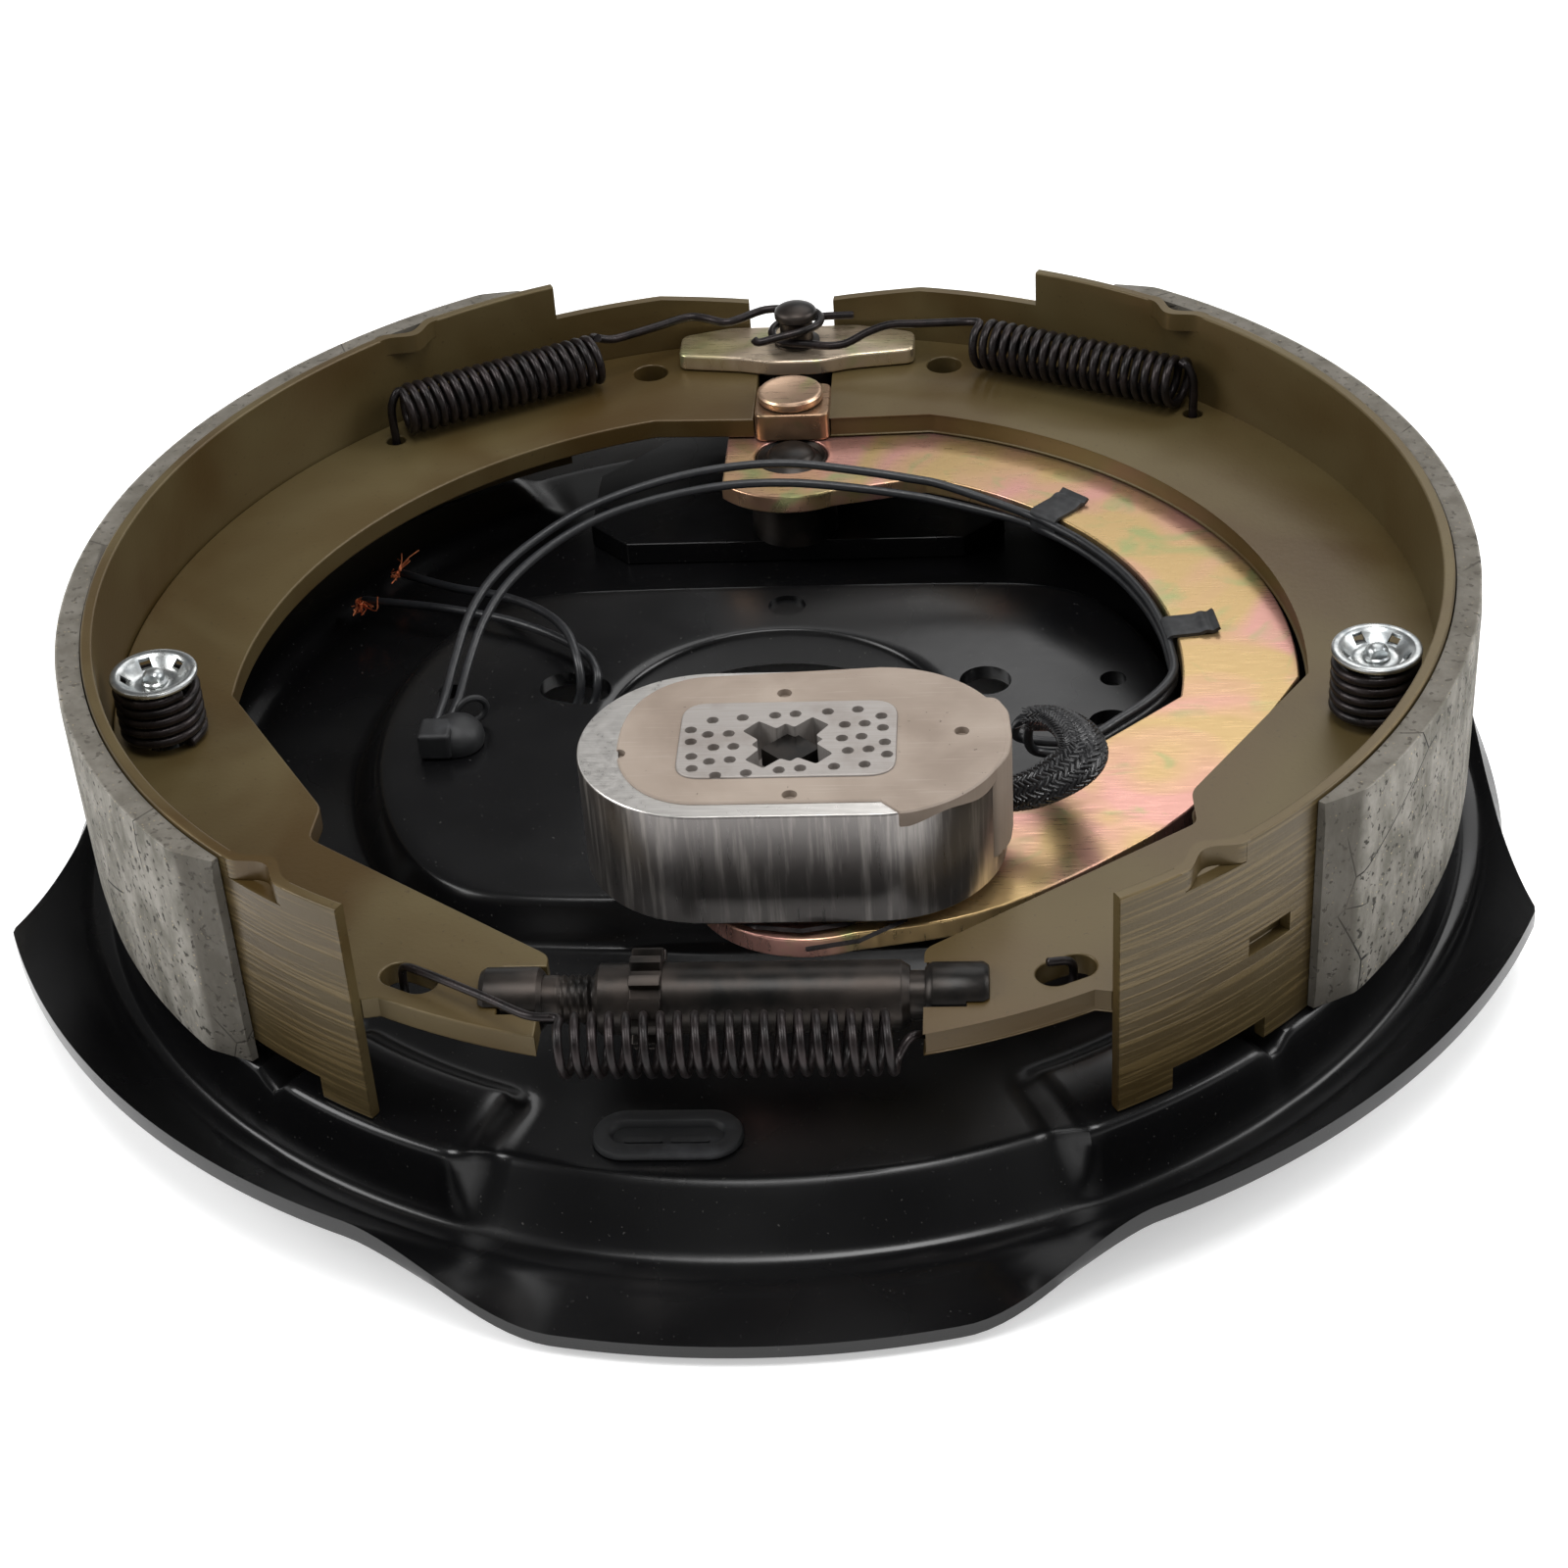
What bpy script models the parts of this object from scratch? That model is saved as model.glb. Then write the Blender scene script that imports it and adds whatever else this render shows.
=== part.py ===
"""Electric drum brake of a trailer wheel, lying on the back of its pressed plate.

Metres, +Z up. The wheel axis is the Z axis, the anchor pin lies at +Y and the
adjuster at -Y. The groove round the plate rests on the plane Z = 0.
"""
import math

import bmesh
import bpy
import numpy as np
from mathutils import Matrix, Vector

mm = 0.001
GAP = 0.3 * mm
WELD = 0.001 * mm

# The radius that the shoes and the plate's ledge, groove and rim follow
SHOE_TABLE_R = 143.8 * mm

# Backing plate: a pan in the middle, a ledge that carries the shoes, a groove and a rim
SHEET = 3.4 * mm
CENTRE_HOLE_R = 38.0 * mm
PAN_Z = 23.5 * mm
PAN_SIDE_R = 89.5 * mm
PAN_FAR_Y = 59.0 * mm
PAN_NEAR_Y = 65.0 * mm
PAN_CORNER_POWER = 14.0
PAN_WALL_RUN = 6.0 * mm
FLOOR_Z = 14.5 * mm
LEDGE_Z = 18.4 * mm
LEDGE_UNDER_WEB = 15.8 * mm
LEDGE_PAST_TABLE = 3.2 * mm
LEDGE_RISE_RUN = 6.0 * mm
GROOVE_WALL_RUN = 4.3 * mm
GROOVE_WIDTH = 4.7 * mm
RIM_WIDTH = 16.0 * mm
RIM_Z = 19.0 * mm
RIM_LOW_REACH = 2.6 * mm
RIM_LOW_Z = 4.8 * mm
SIDE_FLAT_INSET = 13.5 * mm
LEDGE_INNER_R = SHOE_TABLE_R - LEDGE_UNDER_WEB
LEDGE_OUTER_R = SHOE_TABLE_R + LEDGE_PAST_TABLE
GROOVE_INNER_R = LEDGE_OUTER_R + GROOVE_WALL_RUN
GROOVE_OUTER_R = GROOVE_INNER_R + GROOVE_WIDTH
RIM_R = GROOVE_OUTER_R + RIM_WIDTH
RIM_LOW_R = RIM_R + RIM_LOW_REACH
SIDE_FLAT_X = RIM_R - SIDE_FLAT_INSET
PLATE_STEPS = 60
FAR_GAP_DEG = (58.0, 62.0, 118.0, 122.0)
ADJUSTER_GAP_DEG = (-112.0, -109.0, -66.0, -63.0)
PINCH_DEG = (-129.5, -46.0)
PINCH_HALF_DEG = 1.6
LOW_RIM_DEG = (-115.0, -101.0, -76.0, -63.0)
STUD_CIRCLE_R = 49.5 * mm
STUD_HOLE_R = 5.9 * mm
STUD_HOLE_DEG = (18.0, -54.0, -126.0)
KEYHOLE_DEG = 162.0
KEYHOLE_LENGTH = 17.0 * mm
DIMPLE_R = 4.5 * mm
DIMPLE_DEPTH = 1.2 * mm
WIRE_HOLE = (75.0 * mm, -3.0 * mm)
WIRE_HOLE_R = 5.25 * mm
SMALL_HOLE = (76.0 * mm, 15.0 * mm)
SMALL_HOLE_R = 3.0 * mm
SLOT_CENTRE = (-14.3 * mm, -129.0 * mm)
SLOT_LENGTH = 26.0 * mm
SLOT_WIDTH = 10.0 * mm
PLUG_LIP = 1.6 * mm
PLUG_LIP_THICK = 1.5 * mm

# Brake shoes: a web and a table welded in a T, and a lining bonded to the table
SHOE_WIDTH = 50.8 * mm
SHOE_TABLE_T = 2.5 * mm
WEB_T = 5.0 * mm
WEB_DEPTH = 27.3 * mm
WEB_INNER_R = SHOE_TABLE_R - WEB_DEPTH
WEB_INNER_CENTRE_Y = -10.6 * mm
WEB_TAIL_INSET = 2.3 * mm
WEB_TAIL_R = SHOE_TABLE_R - WEB_TAIL_INSET
LINING_T = 5.4 * mm
LINING_EDGE = 0.8 * mm
LINING_CHAMFER_DEG = 3.4
LINING_END_T = 1.8 * mm
TABLE_DEG = (-60.7, 65.0)
RIGHT_HORN_DEG = 86.4
LEFT_HORN_DEG = 85.0
HORN_DEPTH = 33.0 * mm
RIGHT_LINING_DEG = (-41.6, 57.1)
LEFT_LINING_DEG = (-48.5, 62.0)
WEB_END_X = 9.6 * mm
WEB_END_Y = 100.0 * mm
WEB_TAIL_X = 36.0 * mm
WEB_NOTCH_X = 44.0 * mm
WEB_NOTCH_HALF = 7.0 * mm
WEB_SLOT = (62.0 * mm, -119.0 * mm)
WEB_SLOT_LENGTH = 12.0 * mm
WEB_SLOT_WIDTH = 7.0 * mm
WEB_ROUND_HOLE = (37.5 * mm, 126.6 * mm)
WEB_ROUND_HOLE_R = 4.35 * mm
HOLD_DOWN = (127.5 * mm, -35.3 * mm)
HOLD_DOWN_WEB_R = 5.5 * mm
TABLE_NOTCH_DEG = (-55.9, -46.6)
TABLE_NOTCH_DEPTH = 5.4 * mm
TABLE_WINDOW_DEG = (-48.7, -44.2)
TABLE_WINDOW_H = 4.6 * mm
NIB_DEG = (-52.2, 49.0)
NIB_HALF_DEG = 2.9
NIB_ROOT_DEG = 0.4
NIB_H = 4.6 * mm
NIB_BOW = 3.4 * mm
NIB_INSET = 0.05 * mm

# Anchor end: pin, guide plate, reinforcement and the lever's pivot stud
ANCHOR_Y = 133.0 * mm
ANCHOR_BASE_R = 12.0 * mm
ANCHOR_BODY_R = 11.0 * mm
ANCHOR_NECK_R = 4.2 * mm
ANCHOR_HEAD_R = 5.5 * mm
ANCHOR_SHANK_R = 7.0 * mm
ANCHOR_NECK_H = 13.0 * mm
GUIDE_T = 4.2 * mm
GUIDE_HALF_X = 30.0 * mm
REINFORCEMENT_T = 5.7 * mm
REINFORCEMENT_HALF_X = 52.0 * mm
REINFORCEMENT_Y = (85.0 * mm, 145.0 * mm)
PIVOT_Y = 91.5 * mm
PIVOT_BOSS_R = 10.5 * mm
PIVOT_DOME_R = 6.0 * mm
PIVOT_JOURNAL_R = 8.7 * mm
PIVOT_SHANK_R = 6.0 * mm
RIVET_OVER = 3.0 * mm

# Lever arm, its cam block and the rivet through both
ARM_T = 4.5 * mm
ARM_CENTRE_Y = -5.0 * mm
ARM_INNER_R = 90.0 * mm
ARM_WIDTH = 25.0 * mm
ARM_HEAD_R = 21.0 * mm
ARM_TIP = (12.0 * mm, -78.0 * mm)
ARM_TIP_R = 24.0 * mm
ARM_UNDER_WEB = 0.6 * mm
CAM_BLOCK_HALF_X = 9.3 * mm
CAM_BLOCK_Y = (98.0 * mm, 115.0 * mm)
CAM_BLOCK_T = 7.2 * mm
CAM_RIVET = (-0.5 * mm, 106.5 * mm)
CAM_RIVET_R = 4.0 * mm
CAM_RIVET_HEAD_R = 8.1 * mm
CAM_RIVET_HEAD_T = 2.5 * mm
CLIP_DEG = (46.0, 8.3)
CLIP_LENGTH = 8.0 * mm
CLIP_WALL = 1.2 * mm
CLIP_GRIP = 6.0 * mm

# Electromagnet
MAGNET = (9.5 * mm, -75.0 * mm)
MAGNET_LENGTH = 84.0 * mm
MAGNET_WIDTH = 50.3 * mm
MAGNET_HEIGHT = 26.4 * mm
MAGNET_LIFT = 2.6 * mm
SHELL_T = 1.2 * mm
SHELL_STEP = 0.8 * mm
CORE_X = (-12.4 * mm, 30.4 * mm)
CORE_Y = (-88.0 * mm, -62.0 * mm)
CORE_CORNER = 5.0 * mm
CORE_DEPTH = 18.0 * mm
STUD_R = 4.0 * mm
STUD_BORE_R = 4.6 * mm
STUD_BELOW_FACE = 2.4 * mm
RESIN_LIP_X = 52.8 * mm
RESIN_LIP_HALF_Y = 9.0 * mm
MAGNET_SPRING_WIRE = 1.2 * mm
MAGNET_SPRING_R = (27.0 * mm, 15.0 * mm)
SLEEVE_D = 7.0 * mm

# Adjuster: forked screw, star-wheel sleeve and forked end cap on one axis
ADJUSTER_Y = -123.0 * mm
FORK_R = 6.25 * mm
FORK_END_X = 47.8 * mm
FORK_NECK_X = 36.0 * mm
FORK_SLOT_X = 43.4 * mm
SLEEVE_R = 6.75 * mm
SLEEVE_X = (-25.6 * mm, 33.0 * mm)
SCREW_R = 4.75 * mm
STAR_X = (-19.0 * mm, -13.0 * mm)
STAR_R = 9.5 * mm
STAR_ROOT_R = 7.6 * mm
STAR_TEETH = 12

# Springs
RETURN_WIRE = 2.1 * mm
RETURN_COIL_D = 13.0 * mm
RETURN_TURNS = 20
RETURN_LIFT = 7.5 * mm
RIGHT_COIL = ((93.0 * mm, 100.0 * mm), (46.7 * mm, 123.4 * mm))
LEFT_COIL = ((-93.0 * mm, 97.0 * mm), (-49.3 * mm, 121.0 * mm))
RETURN_HOOK_OUT = 6.0 * mm
RETURN_HOOK_HOLE_R = 2.4 * mm
PIN_LOOP_R = 7.8 * mm
LOOP_OVER_GUIDE = 3.4 * mm
TENSION_WIRE = 1.7 * mm
TENSION_COIL_D = 12.5 * mm
TENSION_TURNS = 20
TENSION_HALF_X = 31.5 * mm
TENSION_Y = -140.5 * mm
TENSION_HOOK = (63.3 * mm, -118.3 * mm)
HOLD_WIRE = 2.3 * mm
HOLD_COIL_D = 18.5 * mm
HOLD_TURNS = 5
HOLD_PIN_R = 2.25 * mm
HOLD_HEAD_H = 3.0 * mm
HOLD_CUP_R = 9.3 * mm
HOLD_CUP_T = 1.2 * mm
HOLD_DISH_R = 4.8 * mm
HOLD_DISH_DEPTH = 2.8 * mm
HOLD_WINDOWS = 5
HOLD_WINDOW_W = 2.4 * mm
HOLD_WINDOW_DEG = 48.0

# Leads
LEAD_D = 2.1 * mm
STRAND_D = 1.5 * mm
LEAD_POINT_SPACING = 2.4 * LEAD_D
BLOCK_X = (-80.0 * mm, -67.0 * mm)
BLOCK_Y = (-11.0 * mm, -2.2 * mm)
BLOCK_H = 6.5 * mm

# Heights that follow from the pieces above
TABLE_Z = (LEDGE_Z + GAP, LEDGE_Z + GAP + SHOE_WIDTH)
WEB_MID_Z = (TABLE_Z[0] + TABLE_Z[1]) / 2
WEB_Z = (WEB_MID_Z - WEB_T / 2, WEB_MID_Z + WEB_T / 2)
ARM_Z = (WEB_Z[0] - ARM_UNDER_WEB - ARM_T, WEB_Z[0] - ARM_UNDER_WEB)
REINFORCEMENT_Z = (FLOOR_Z + GAP, FLOOR_Z + GAP + REINFORCEMENT_T)
GUIDE_Z = (WEB_Z[1] + GAP, WEB_Z[1] + GAP + GUIDE_T)
MAGNET_Z = (ARM_Z[1] + MAGNET_LIFT, ARM_Z[1] + MAGNET_LIFT + MAGNET_HEIGHT)
RETURN_Z = WEB_Z[1] + RETURN_LIFT
LOOP_Z = GUIDE_Z[1] + LOOP_OVER_GUIDE
TABLE_OUTER_R = SHOE_TABLE_R + SHOE_TABLE_T
FLOOR_BACK_Z = FLOOR_Z - SHEET

# Colour, roughness and metallic value of each finish
FINISHES = {
    "gloss_black_paint": ((0.012, 0.012, 0.013), 0.25, 0.0),
    "gold_lacquer": ((0.105, 0.075, 0.024), 0.4, 0.4),
    "lining_compound": ((0.16, 0.17, 0.15), 0.9, 0.0),
    "yellow_zinc": ((0.55, 0.42, 0.20), 0.35, 1.0),
    "bright_zinc": ((0.62, 0.63, 0.64), 0.3, 1.0),
    "black_oxide": ((0.02, 0.02, 0.022), 0.45, 1.0),
    "black_rubber": ((0.015, 0.015, 0.015), 0.7, 0.0),
    "tan_resin": ((0.36, 0.25, 0.13), 0.6, 0.0),
    "braid": ((0.012, 0.012, 0.013), 0.8, 0.0),
    "copper": ((0.70, 0.32, 0.16), 0.35, 1.0),
}


def clear_scene():
    """Start from an empty file."""
    for obj in list(bpy.data.objects):
        bpy.data.objects.remove(obj, do_unlink=True)


clear_scene()
parts = bpy.data.collections.new("electric_trailer_brake_assembly")
cutters = bpy.data.collections.new("cutters")
bpy.context.scene.collection.children.link(parts)
bpy.context.scene.collection.children.link(cutters)


# Building blocks

def add_object(name, data):
    """A new object in the collection of parts."""
    obj = bpy.data.objects.new(name, data)
    parts.objects.link(obj)
    return obj


def as_tool(obj):
    """Turn an object into a cutter or a shape that is joined to another."""
    parts.objects.unlink(obj)
    cutters.objects.link(obj)
    obj.hide_render = True
    obj.display_type = "WIRE"
    return obj


def boolean(target, tool, operation):
    """Cut a tool from a piece, or join it on."""
    modifier = target.modifiers.new(operation.lower() + "_" + tool.name, "BOOLEAN")
    modifier.operation = operation
    modifier.solver = "EXACT"
    modifier.object = as_tool(tool)


def cut(target, tool):
    boolean(target, tool, "DIFFERENCE")


def join(target, tool):
    boolean(target, tool, "UNION")


def arc(centre, radius, start_deg, end_deg, steps):
    """Points along a round stretch of an outline."""
    angles = np.radians(np.linspace(start_deg, end_deg, steps + 1))
    return [(centre[0] + radius * math.cos(a), centre[1] + radius * math.sin(a)) for a in angles]


def polar(radius, deg):
    return (radius * math.cos(math.radians(deg)), radius * math.sin(math.radians(deg)))


def slab(name, outline, z_range, *holes):
    """A flat outline with holes, filled and given its thickness."""
    curve = bpy.data.curves.new(name, "CURVE")
    curve.dimensions = "2D"
    curve.fill_mode = "BOTH"
    curve.extrude = (z_range[1] - z_range[0]) / 2
    for loop in (outline, *holes):
        spline = curve.splines.new("POLY")
        spline.points.add(len(loop) - 1)
        for point, (x, y) in zip(spline.points, loop):
            point.co = (x, y, 0.0, 1.0)
        spline.use_cyclic_u = True
    guide = add_object(name + "_outline", curve)
    guide.location.z = (z_range[0] + z_range[1]) / 2
    bpy.context.view_layer.update()
    evaluated = guide.evaluated_get(bpy.context.evaluated_depsgraph_get())
    mesh = bpy.data.meshes.new_from_object(evaluated)
    caps = bmesh.new()
    caps.from_mesh(mesh)
    bmesh.ops.remove_doubles(caps, verts=caps.verts, dist=WELD)
    bmesh.ops.recalc_face_normals(caps, faces=caps.faces)
    caps.to_mesh(mesh)
    caps.free()
    obj = add_object(name, mesh)
    obj.matrix_world = guide.matrix_world
    bpy.data.objects.remove(guide, do_unlink=True)
    return obj


def cylinder(name, radius, centre, z_range, segments=24):
    mesh = bpy.data.meshes.new(name)
    body = bmesh.new()
    depth = z_range[1] - z_range[0]
    bmesh.ops.create_cone(body, cap_ends=True, segments=segments, radius1=radius,
                          radius2=radius, depth=depth)
    body.to_mesh(mesh)
    body.free()
    obj = add_object(name, mesh)
    obj.location = (centre[0], centre[1], (z_range[0] + z_range[1]) / 2)
    return obj


def box(name, x_range, y_range, z_range):
    mesh = bpy.data.meshes.new(name)
    body = bmesh.new()
    bmesh.ops.create_cube(body, size=1.0)
    size = [high - low for low, high in (x_range, y_range, z_range)]
    bmesh.ops.scale(body, vec=size, verts=body.verts)
    body.to_mesh(mesh)
    body.free()
    obj = add_object(name, mesh)
    obj.location = [(low + high) / 2 for low, high in (x_range, y_range, z_range)]
    return obj


def turned(name, profile, centre=(0.0, 0.0, 0.0), segments=24, ring=False):
    """A profile of (radius, height) from top to bottom, turned about the axis."""
    mesh = bpy.data.meshes.new(name)
    edges = [(i, i + 1) for i in range(len(profile) - 1)]
    if ring:
        edges.append((len(profile) - 1, 0))
    mesh.from_pydata([(radius, 0.0, height) for radius, height in profile], edges, [])
    obj = add_object(name, mesh)
    obj.location = centre
    screw = obj.modifiers.new("turn", "SCREW")
    screw.steps = segments
    screw.render_steps = segments
    screw.use_merge_vertices = True
    screw.merge_threshold = WELD
    screw.use_smooth_shade = False
    return obj


def bevelled(obj, width, segments=2):
    """Round the edges of a piece."""
    modifier = obj.modifiers.new("round", "BEVEL")
    modifier.width = width
    modifier.segments = segments
    modifier.limit_method = "ANGLE"
    modifier.angle_limit = math.radians(40)
    return obj


def wire(name, points, diameter, resolution=2):
    """A round wire along points, with filled ends."""
    curve = bpy.data.curves.new(name, "CURVE")
    curve.dimensions = "3D"
    curve.bevel_depth = diameter / 2
    curve.bevel_resolution = resolution
    curve.use_fill_caps = True
    spline = curve.splines.new("POLY")
    spline.points.add(len(points) - 1)
    for point, place in zip(spline.points, points):
        point.co = (*place, 1.0)
    return add_object(name, curve)


def smooth_path(route, spacing):
    """Points every so far along a smooth curve through the route's own points."""
    route = np.array(route)
    ends = np.vstack([2 * route[0] - route[1], route, 2 * route[-1] - route[-2]])
    fine = []
    for before, start, end, after in zip(ends, ends[1:], ends[2:], ends[3:]):
        for t in np.linspace(0, 1, 16, endpoint=False):
            fine.append(0.5 * (2 * start + (end - before) * t
                               + (2 * before - 5 * start + 4 * end - after) * t ** 2
                               + (3 * start - before - 3 * end + after) * t ** 3))
    fine = np.array(fine + [route[-1]])
    travelled = np.concatenate([[0], np.cumsum(np.linalg.norm(np.diff(fine, axis=0), axis=1))])
    stations = np.linspace(0, travelled[-1], round(travelled[-1] / spacing) + 1)
    return np.stack([np.interp(stations, travelled, fine[:, k]) for k in range(3)], axis=1)


def coil_path(start, end, radius, turns, per_turn=7):
    """Points along a coil whose axis runs from start to end, beginning at its top."""
    start = np.array(start)
    axis = np.array(end) - start
    along = axis / np.linalg.norm(axis)
    up = np.array((0.0, 0.0, 1.0)) if abs(along[2]) < 0.9 else np.array((0.0, 1.0, 0.0))
    side = np.cross(along, up)
    t = np.linspace(0, 1, turns * per_turn + 1)[:, None]
    angle = 2 * math.pi * turns * t
    return start + axis * t + radius * (np.cos(angle) * up + np.sin(angle) * side)


def finish(obj, look, body=None):
    """Give a piece its own material, and hang a moving one on its joint's empty."""
    colour, roughness, metallic = FINISHES[look]
    material = bpy.data.materials.new(obj.name + "_" + look)
    material.use_nodes = True
    shader = material.node_tree.nodes["Principled BSDF"]
    shader.inputs["Base Color"].default_value = (*colour, 1.0)
    shader.inputs["Roughness"].default_value = roughness
    shader.inputs["Metallic"].default_value = metallic
    obj.data.materials.clear()
    obj.data.materials.append(material)
    if obj.type == "MESH" and len(obj.data.polygons):
        obj.data.shade_smooth()
        obj.data.set_sharp_from_angle(angle=math.radians(35))
    if body:
        obj.parent = body
        obj.matrix_parent_inverse = Matrix.Translation(-body.location)
    return obj


def joint_empty(name, place, parent=None):
    """An empty on a joint's axis, which carries the pieces that move about it."""
    empty = bpy.data.objects.new(name, None)
    parts.objects.link(empty)
    empty.location = place
    if parent:
        empty.parent = parent
        empty.matrix_parent_inverse = Matrix.Translation(-parent.location)
    return empty


def stadium(centre, length, width, along_deg=0.0, steps=8):
    """The outline of a slot with round ends."""
    reach = (length - width) / 2
    turn = math.radians(along_deg)
    points = []
    for side in (1, -1):
        end = (centre[0] + side * reach * math.cos(turn), centre[1] + side * reach * math.sin(turn))
        first = along_deg - 90 * side
        points += arc(end, width / 2, first, first + 180, steps)
    return points


arm_axis = joint_empty("arm_axis", Vector((0.0, PIVOT_Y, ARM_Z[0])))
magnet_axis = joint_empty("magnet_axis", Vector((*MAGNET, ARM_Z[1])), arm_axis)
right_shoe_axis = joint_empty("right_shoe_axis", Vector((WEB_NOTCH_X, ADJUSTER_Y, WEB_MID_Z)))
left_shoe_axis = joint_empty("left_shoe_axis", Vector((0.0, ANCHOR_Y, WEB_MID_Z)))
star_axis = joint_empty("star_axis", Vector((0.0, ADJUSTER_Y, WEB_MID_Z)))
screw_axis = joint_empty("screw_axis", Vector((-FORK_END_X, ADJUSTER_Y, WEB_MID_Z)))


# Backing plate

def ease(value, low, high):
    """Rise smoothly from 0 to 1 between low and high."""
    t = np.clip((value - low) / (high - low), 0, 1)
    return t * t * (3 - 2 * t)


def window(value, edges):
    """1 between the inner two of four rising values, and 0 outside the outer two."""
    return ease(value, edges[0], edges[1]) * (1 - ease(value, edges[2], edges[3]))


def pan_radius(deg):
    """How far the pan's edge is from the wheel axis: a circle cut by two soft chords."""
    s = np.sin(np.radians(deg))
    near_far = np.where(s > 0, PAN_FAR_Y, PAN_NEAR_Y)
    chord = near_far / np.maximum(np.abs(s), 0.001)
    return (PAN_SIDE_R ** -PAN_CORNER_POWER + chord ** -PAN_CORNER_POWER) ** (-1 / PAN_CORNER_POWER)


def plate_surface():
    """Rings of the plate's upper face, from the centre hole to the rim."""
    extra = [deg + step for deg in PINCH_DEG for step in (-PINCH_HALF_DEG, 0.0, PINCH_HALF_DEG)]
    extra += [*FAR_GAP_DEG, *ADJUSTER_GAP_DEG]
    deg = np.array(sorted(set(np.linspace(-180, 180, PLATE_STEPS, endpoint=False)) | set(extra)))
    keep = np.diff(deg, append=deg[0] + 360) > 0.8
    deg = deg[keep]
    pan = pan_radius(deg)
    pinch = sum(1 - ease(np.abs(deg - at), 0, PINCH_HALF_DEG) for at in PINCH_DEG)
    ledge = 1 - np.maximum.reduce([window(deg, FAR_GAP_DEG), window(deg, ADJUSTER_GAP_DEG), pinch])
    shelf_z = FLOOR_Z + (LEDGE_Z - FLOOR_Z) * ledge
    fall = 7 * mm * window(deg, ADJUSTER_GAP_DEG)
    low = window(deg, LOW_RIM_DEG)
    rim_r = np.minimum(RIM_R + (RIM_LOW_R - RIM_R) * low,
                       SIDE_FLAT_X / np.maximum(np.abs(np.cos(np.radians(deg))), 0.001))
    rim_z = RIM_Z + (RIM_LOW_Z - RIM_Z) * low
    level = np.ones_like(deg)

    def rim_height(radius):
        return SHEET + (rim_z - SHEET) * np.clip((radius - GROOVE_OUTER_R) / (RIM_R - GROOVE_OUTER_R), 0, 1)

    rings = [
        (CENTRE_HOLE_R * level, (PAN_Z - 3.0 * mm) * level),
        ((CENTRE_HOLE_R + 1.0 * mm) * level, (PAN_Z - 0.9 * mm) * level),
        ((CENTRE_HOLE_R + 3.2 * mm) * level, PAN_Z * level),
        (pan - 1.0 * mm, PAN_Z * level),
        (pan + 0.6 * mm, (PAN_Z - 0.8 * mm) * level),
        (pan + PAN_WALL_RUN, FLOOR_Z * level),
        ((LEDGE_INNER_R - LEDGE_RISE_RUN) * level, FLOOR_Z * level),
        (LEDGE_INNER_R * level, shelf_z),
        (LEDGE_OUTER_R - fall, shelf_z),
        (LEDGE_OUTER_R + 1.8 * mm - fall * 0.6, shelf_z - 0.8 * mm),
        (GROOVE_INNER_R * level, SHEET * level),
        (GROOVE_OUTER_R * level, SHEET * level),
    ]
    for share in (0.35, 0.7, 1.0):
        radius = GROOVE_OUTER_R + (rim_r - GROOVE_OUTER_R) * share
        rings.append((radius, rim_height(radius)))
    return deg, rings


def backing_plate():
    """The pressed plate: rings joined into a sheet, thickened, then pierced."""
    deg, rings = plate_surface()
    angle = np.radians(deg)
    points = [np.stack([r * np.cos(angle), r * np.sin(angle), z], axis=1) for r, z in rings]
    points = np.concatenate(points)
    around = len(deg)
    faces = []
    for ring in range(len(rings) - 1):
        for i in range(around):
            j = (i + 1) % around
            first, second = ring * around, (ring + 1) * around
            faces.append((first + i, second + i, second + j, first + j))
    mesh = bpy.data.meshes.new("backing_plate")
    mesh.from_pydata(points.tolist(), [], faces)
    plate = add_object("backing_plate", mesh)
    sheet = plate.modifiers.new("sheet", "SOLIDIFY")
    sheet.thickness = SHEET
    sheet.offset = -1.0
    sheet.use_even_offset = True
    through = (-5 * mm, 40 * mm)
    for deg_at in STUD_HOLE_DEG:
        place = polar(STUD_CIRCLE_R, deg_at)
        cut(plate, cylinder("stud_hole", STUD_HOLE_R, place, through, 20))
    key = stadium(polar(STUD_CIRCLE_R, KEYHOLE_DEG), KEYHOLE_LENGTH, 2 * STUD_HOLE_R, KEYHOLE_DEG)
    cut(plate, slab("keyhole", key, through))
    dimple = polar(STUD_CIRCLE_R, 90.0)
    cut(plate, cylinder("dimple", DIMPLE_R, dimple, (PAN_Z - DIMPLE_DEPTH, through[1]), 16))
    for side in (-1, 1):
        cut(plate, cylinder("wire_hole", WIRE_HOLE_R, (side * WIRE_HOLE[0], WIRE_HOLE[1]), through, 16))
        cut(plate, cylinder("small_hole", SMALL_HOLE_R, (side * SMALL_HOLE[0], SMALL_HOLE[1]), through, 12))
        hold = (side * HOLD_DOWN[0], HOLD_DOWN[1])
        cut(plate, cylinder("hold_hole", HOLD_PIN_R + GAP, hold, through, 12))
    slot = stadium(SLOT_CENTRE, SLOT_LENGTH, SLOT_WIDTH)
    cut(plate, slab("adjuster_slot", slot, through))
    cut(plate, cylinder("anchor_hole", ANCHOR_SHANK_R + GAP, (0, ANCHOR_Y), through))
    cut(plate, cylinder("pivot_hole", PIVOT_SHANK_R + GAP, (0, PIVOT_Y), through))
    return finish(plate, "gloss_black_paint")


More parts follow.
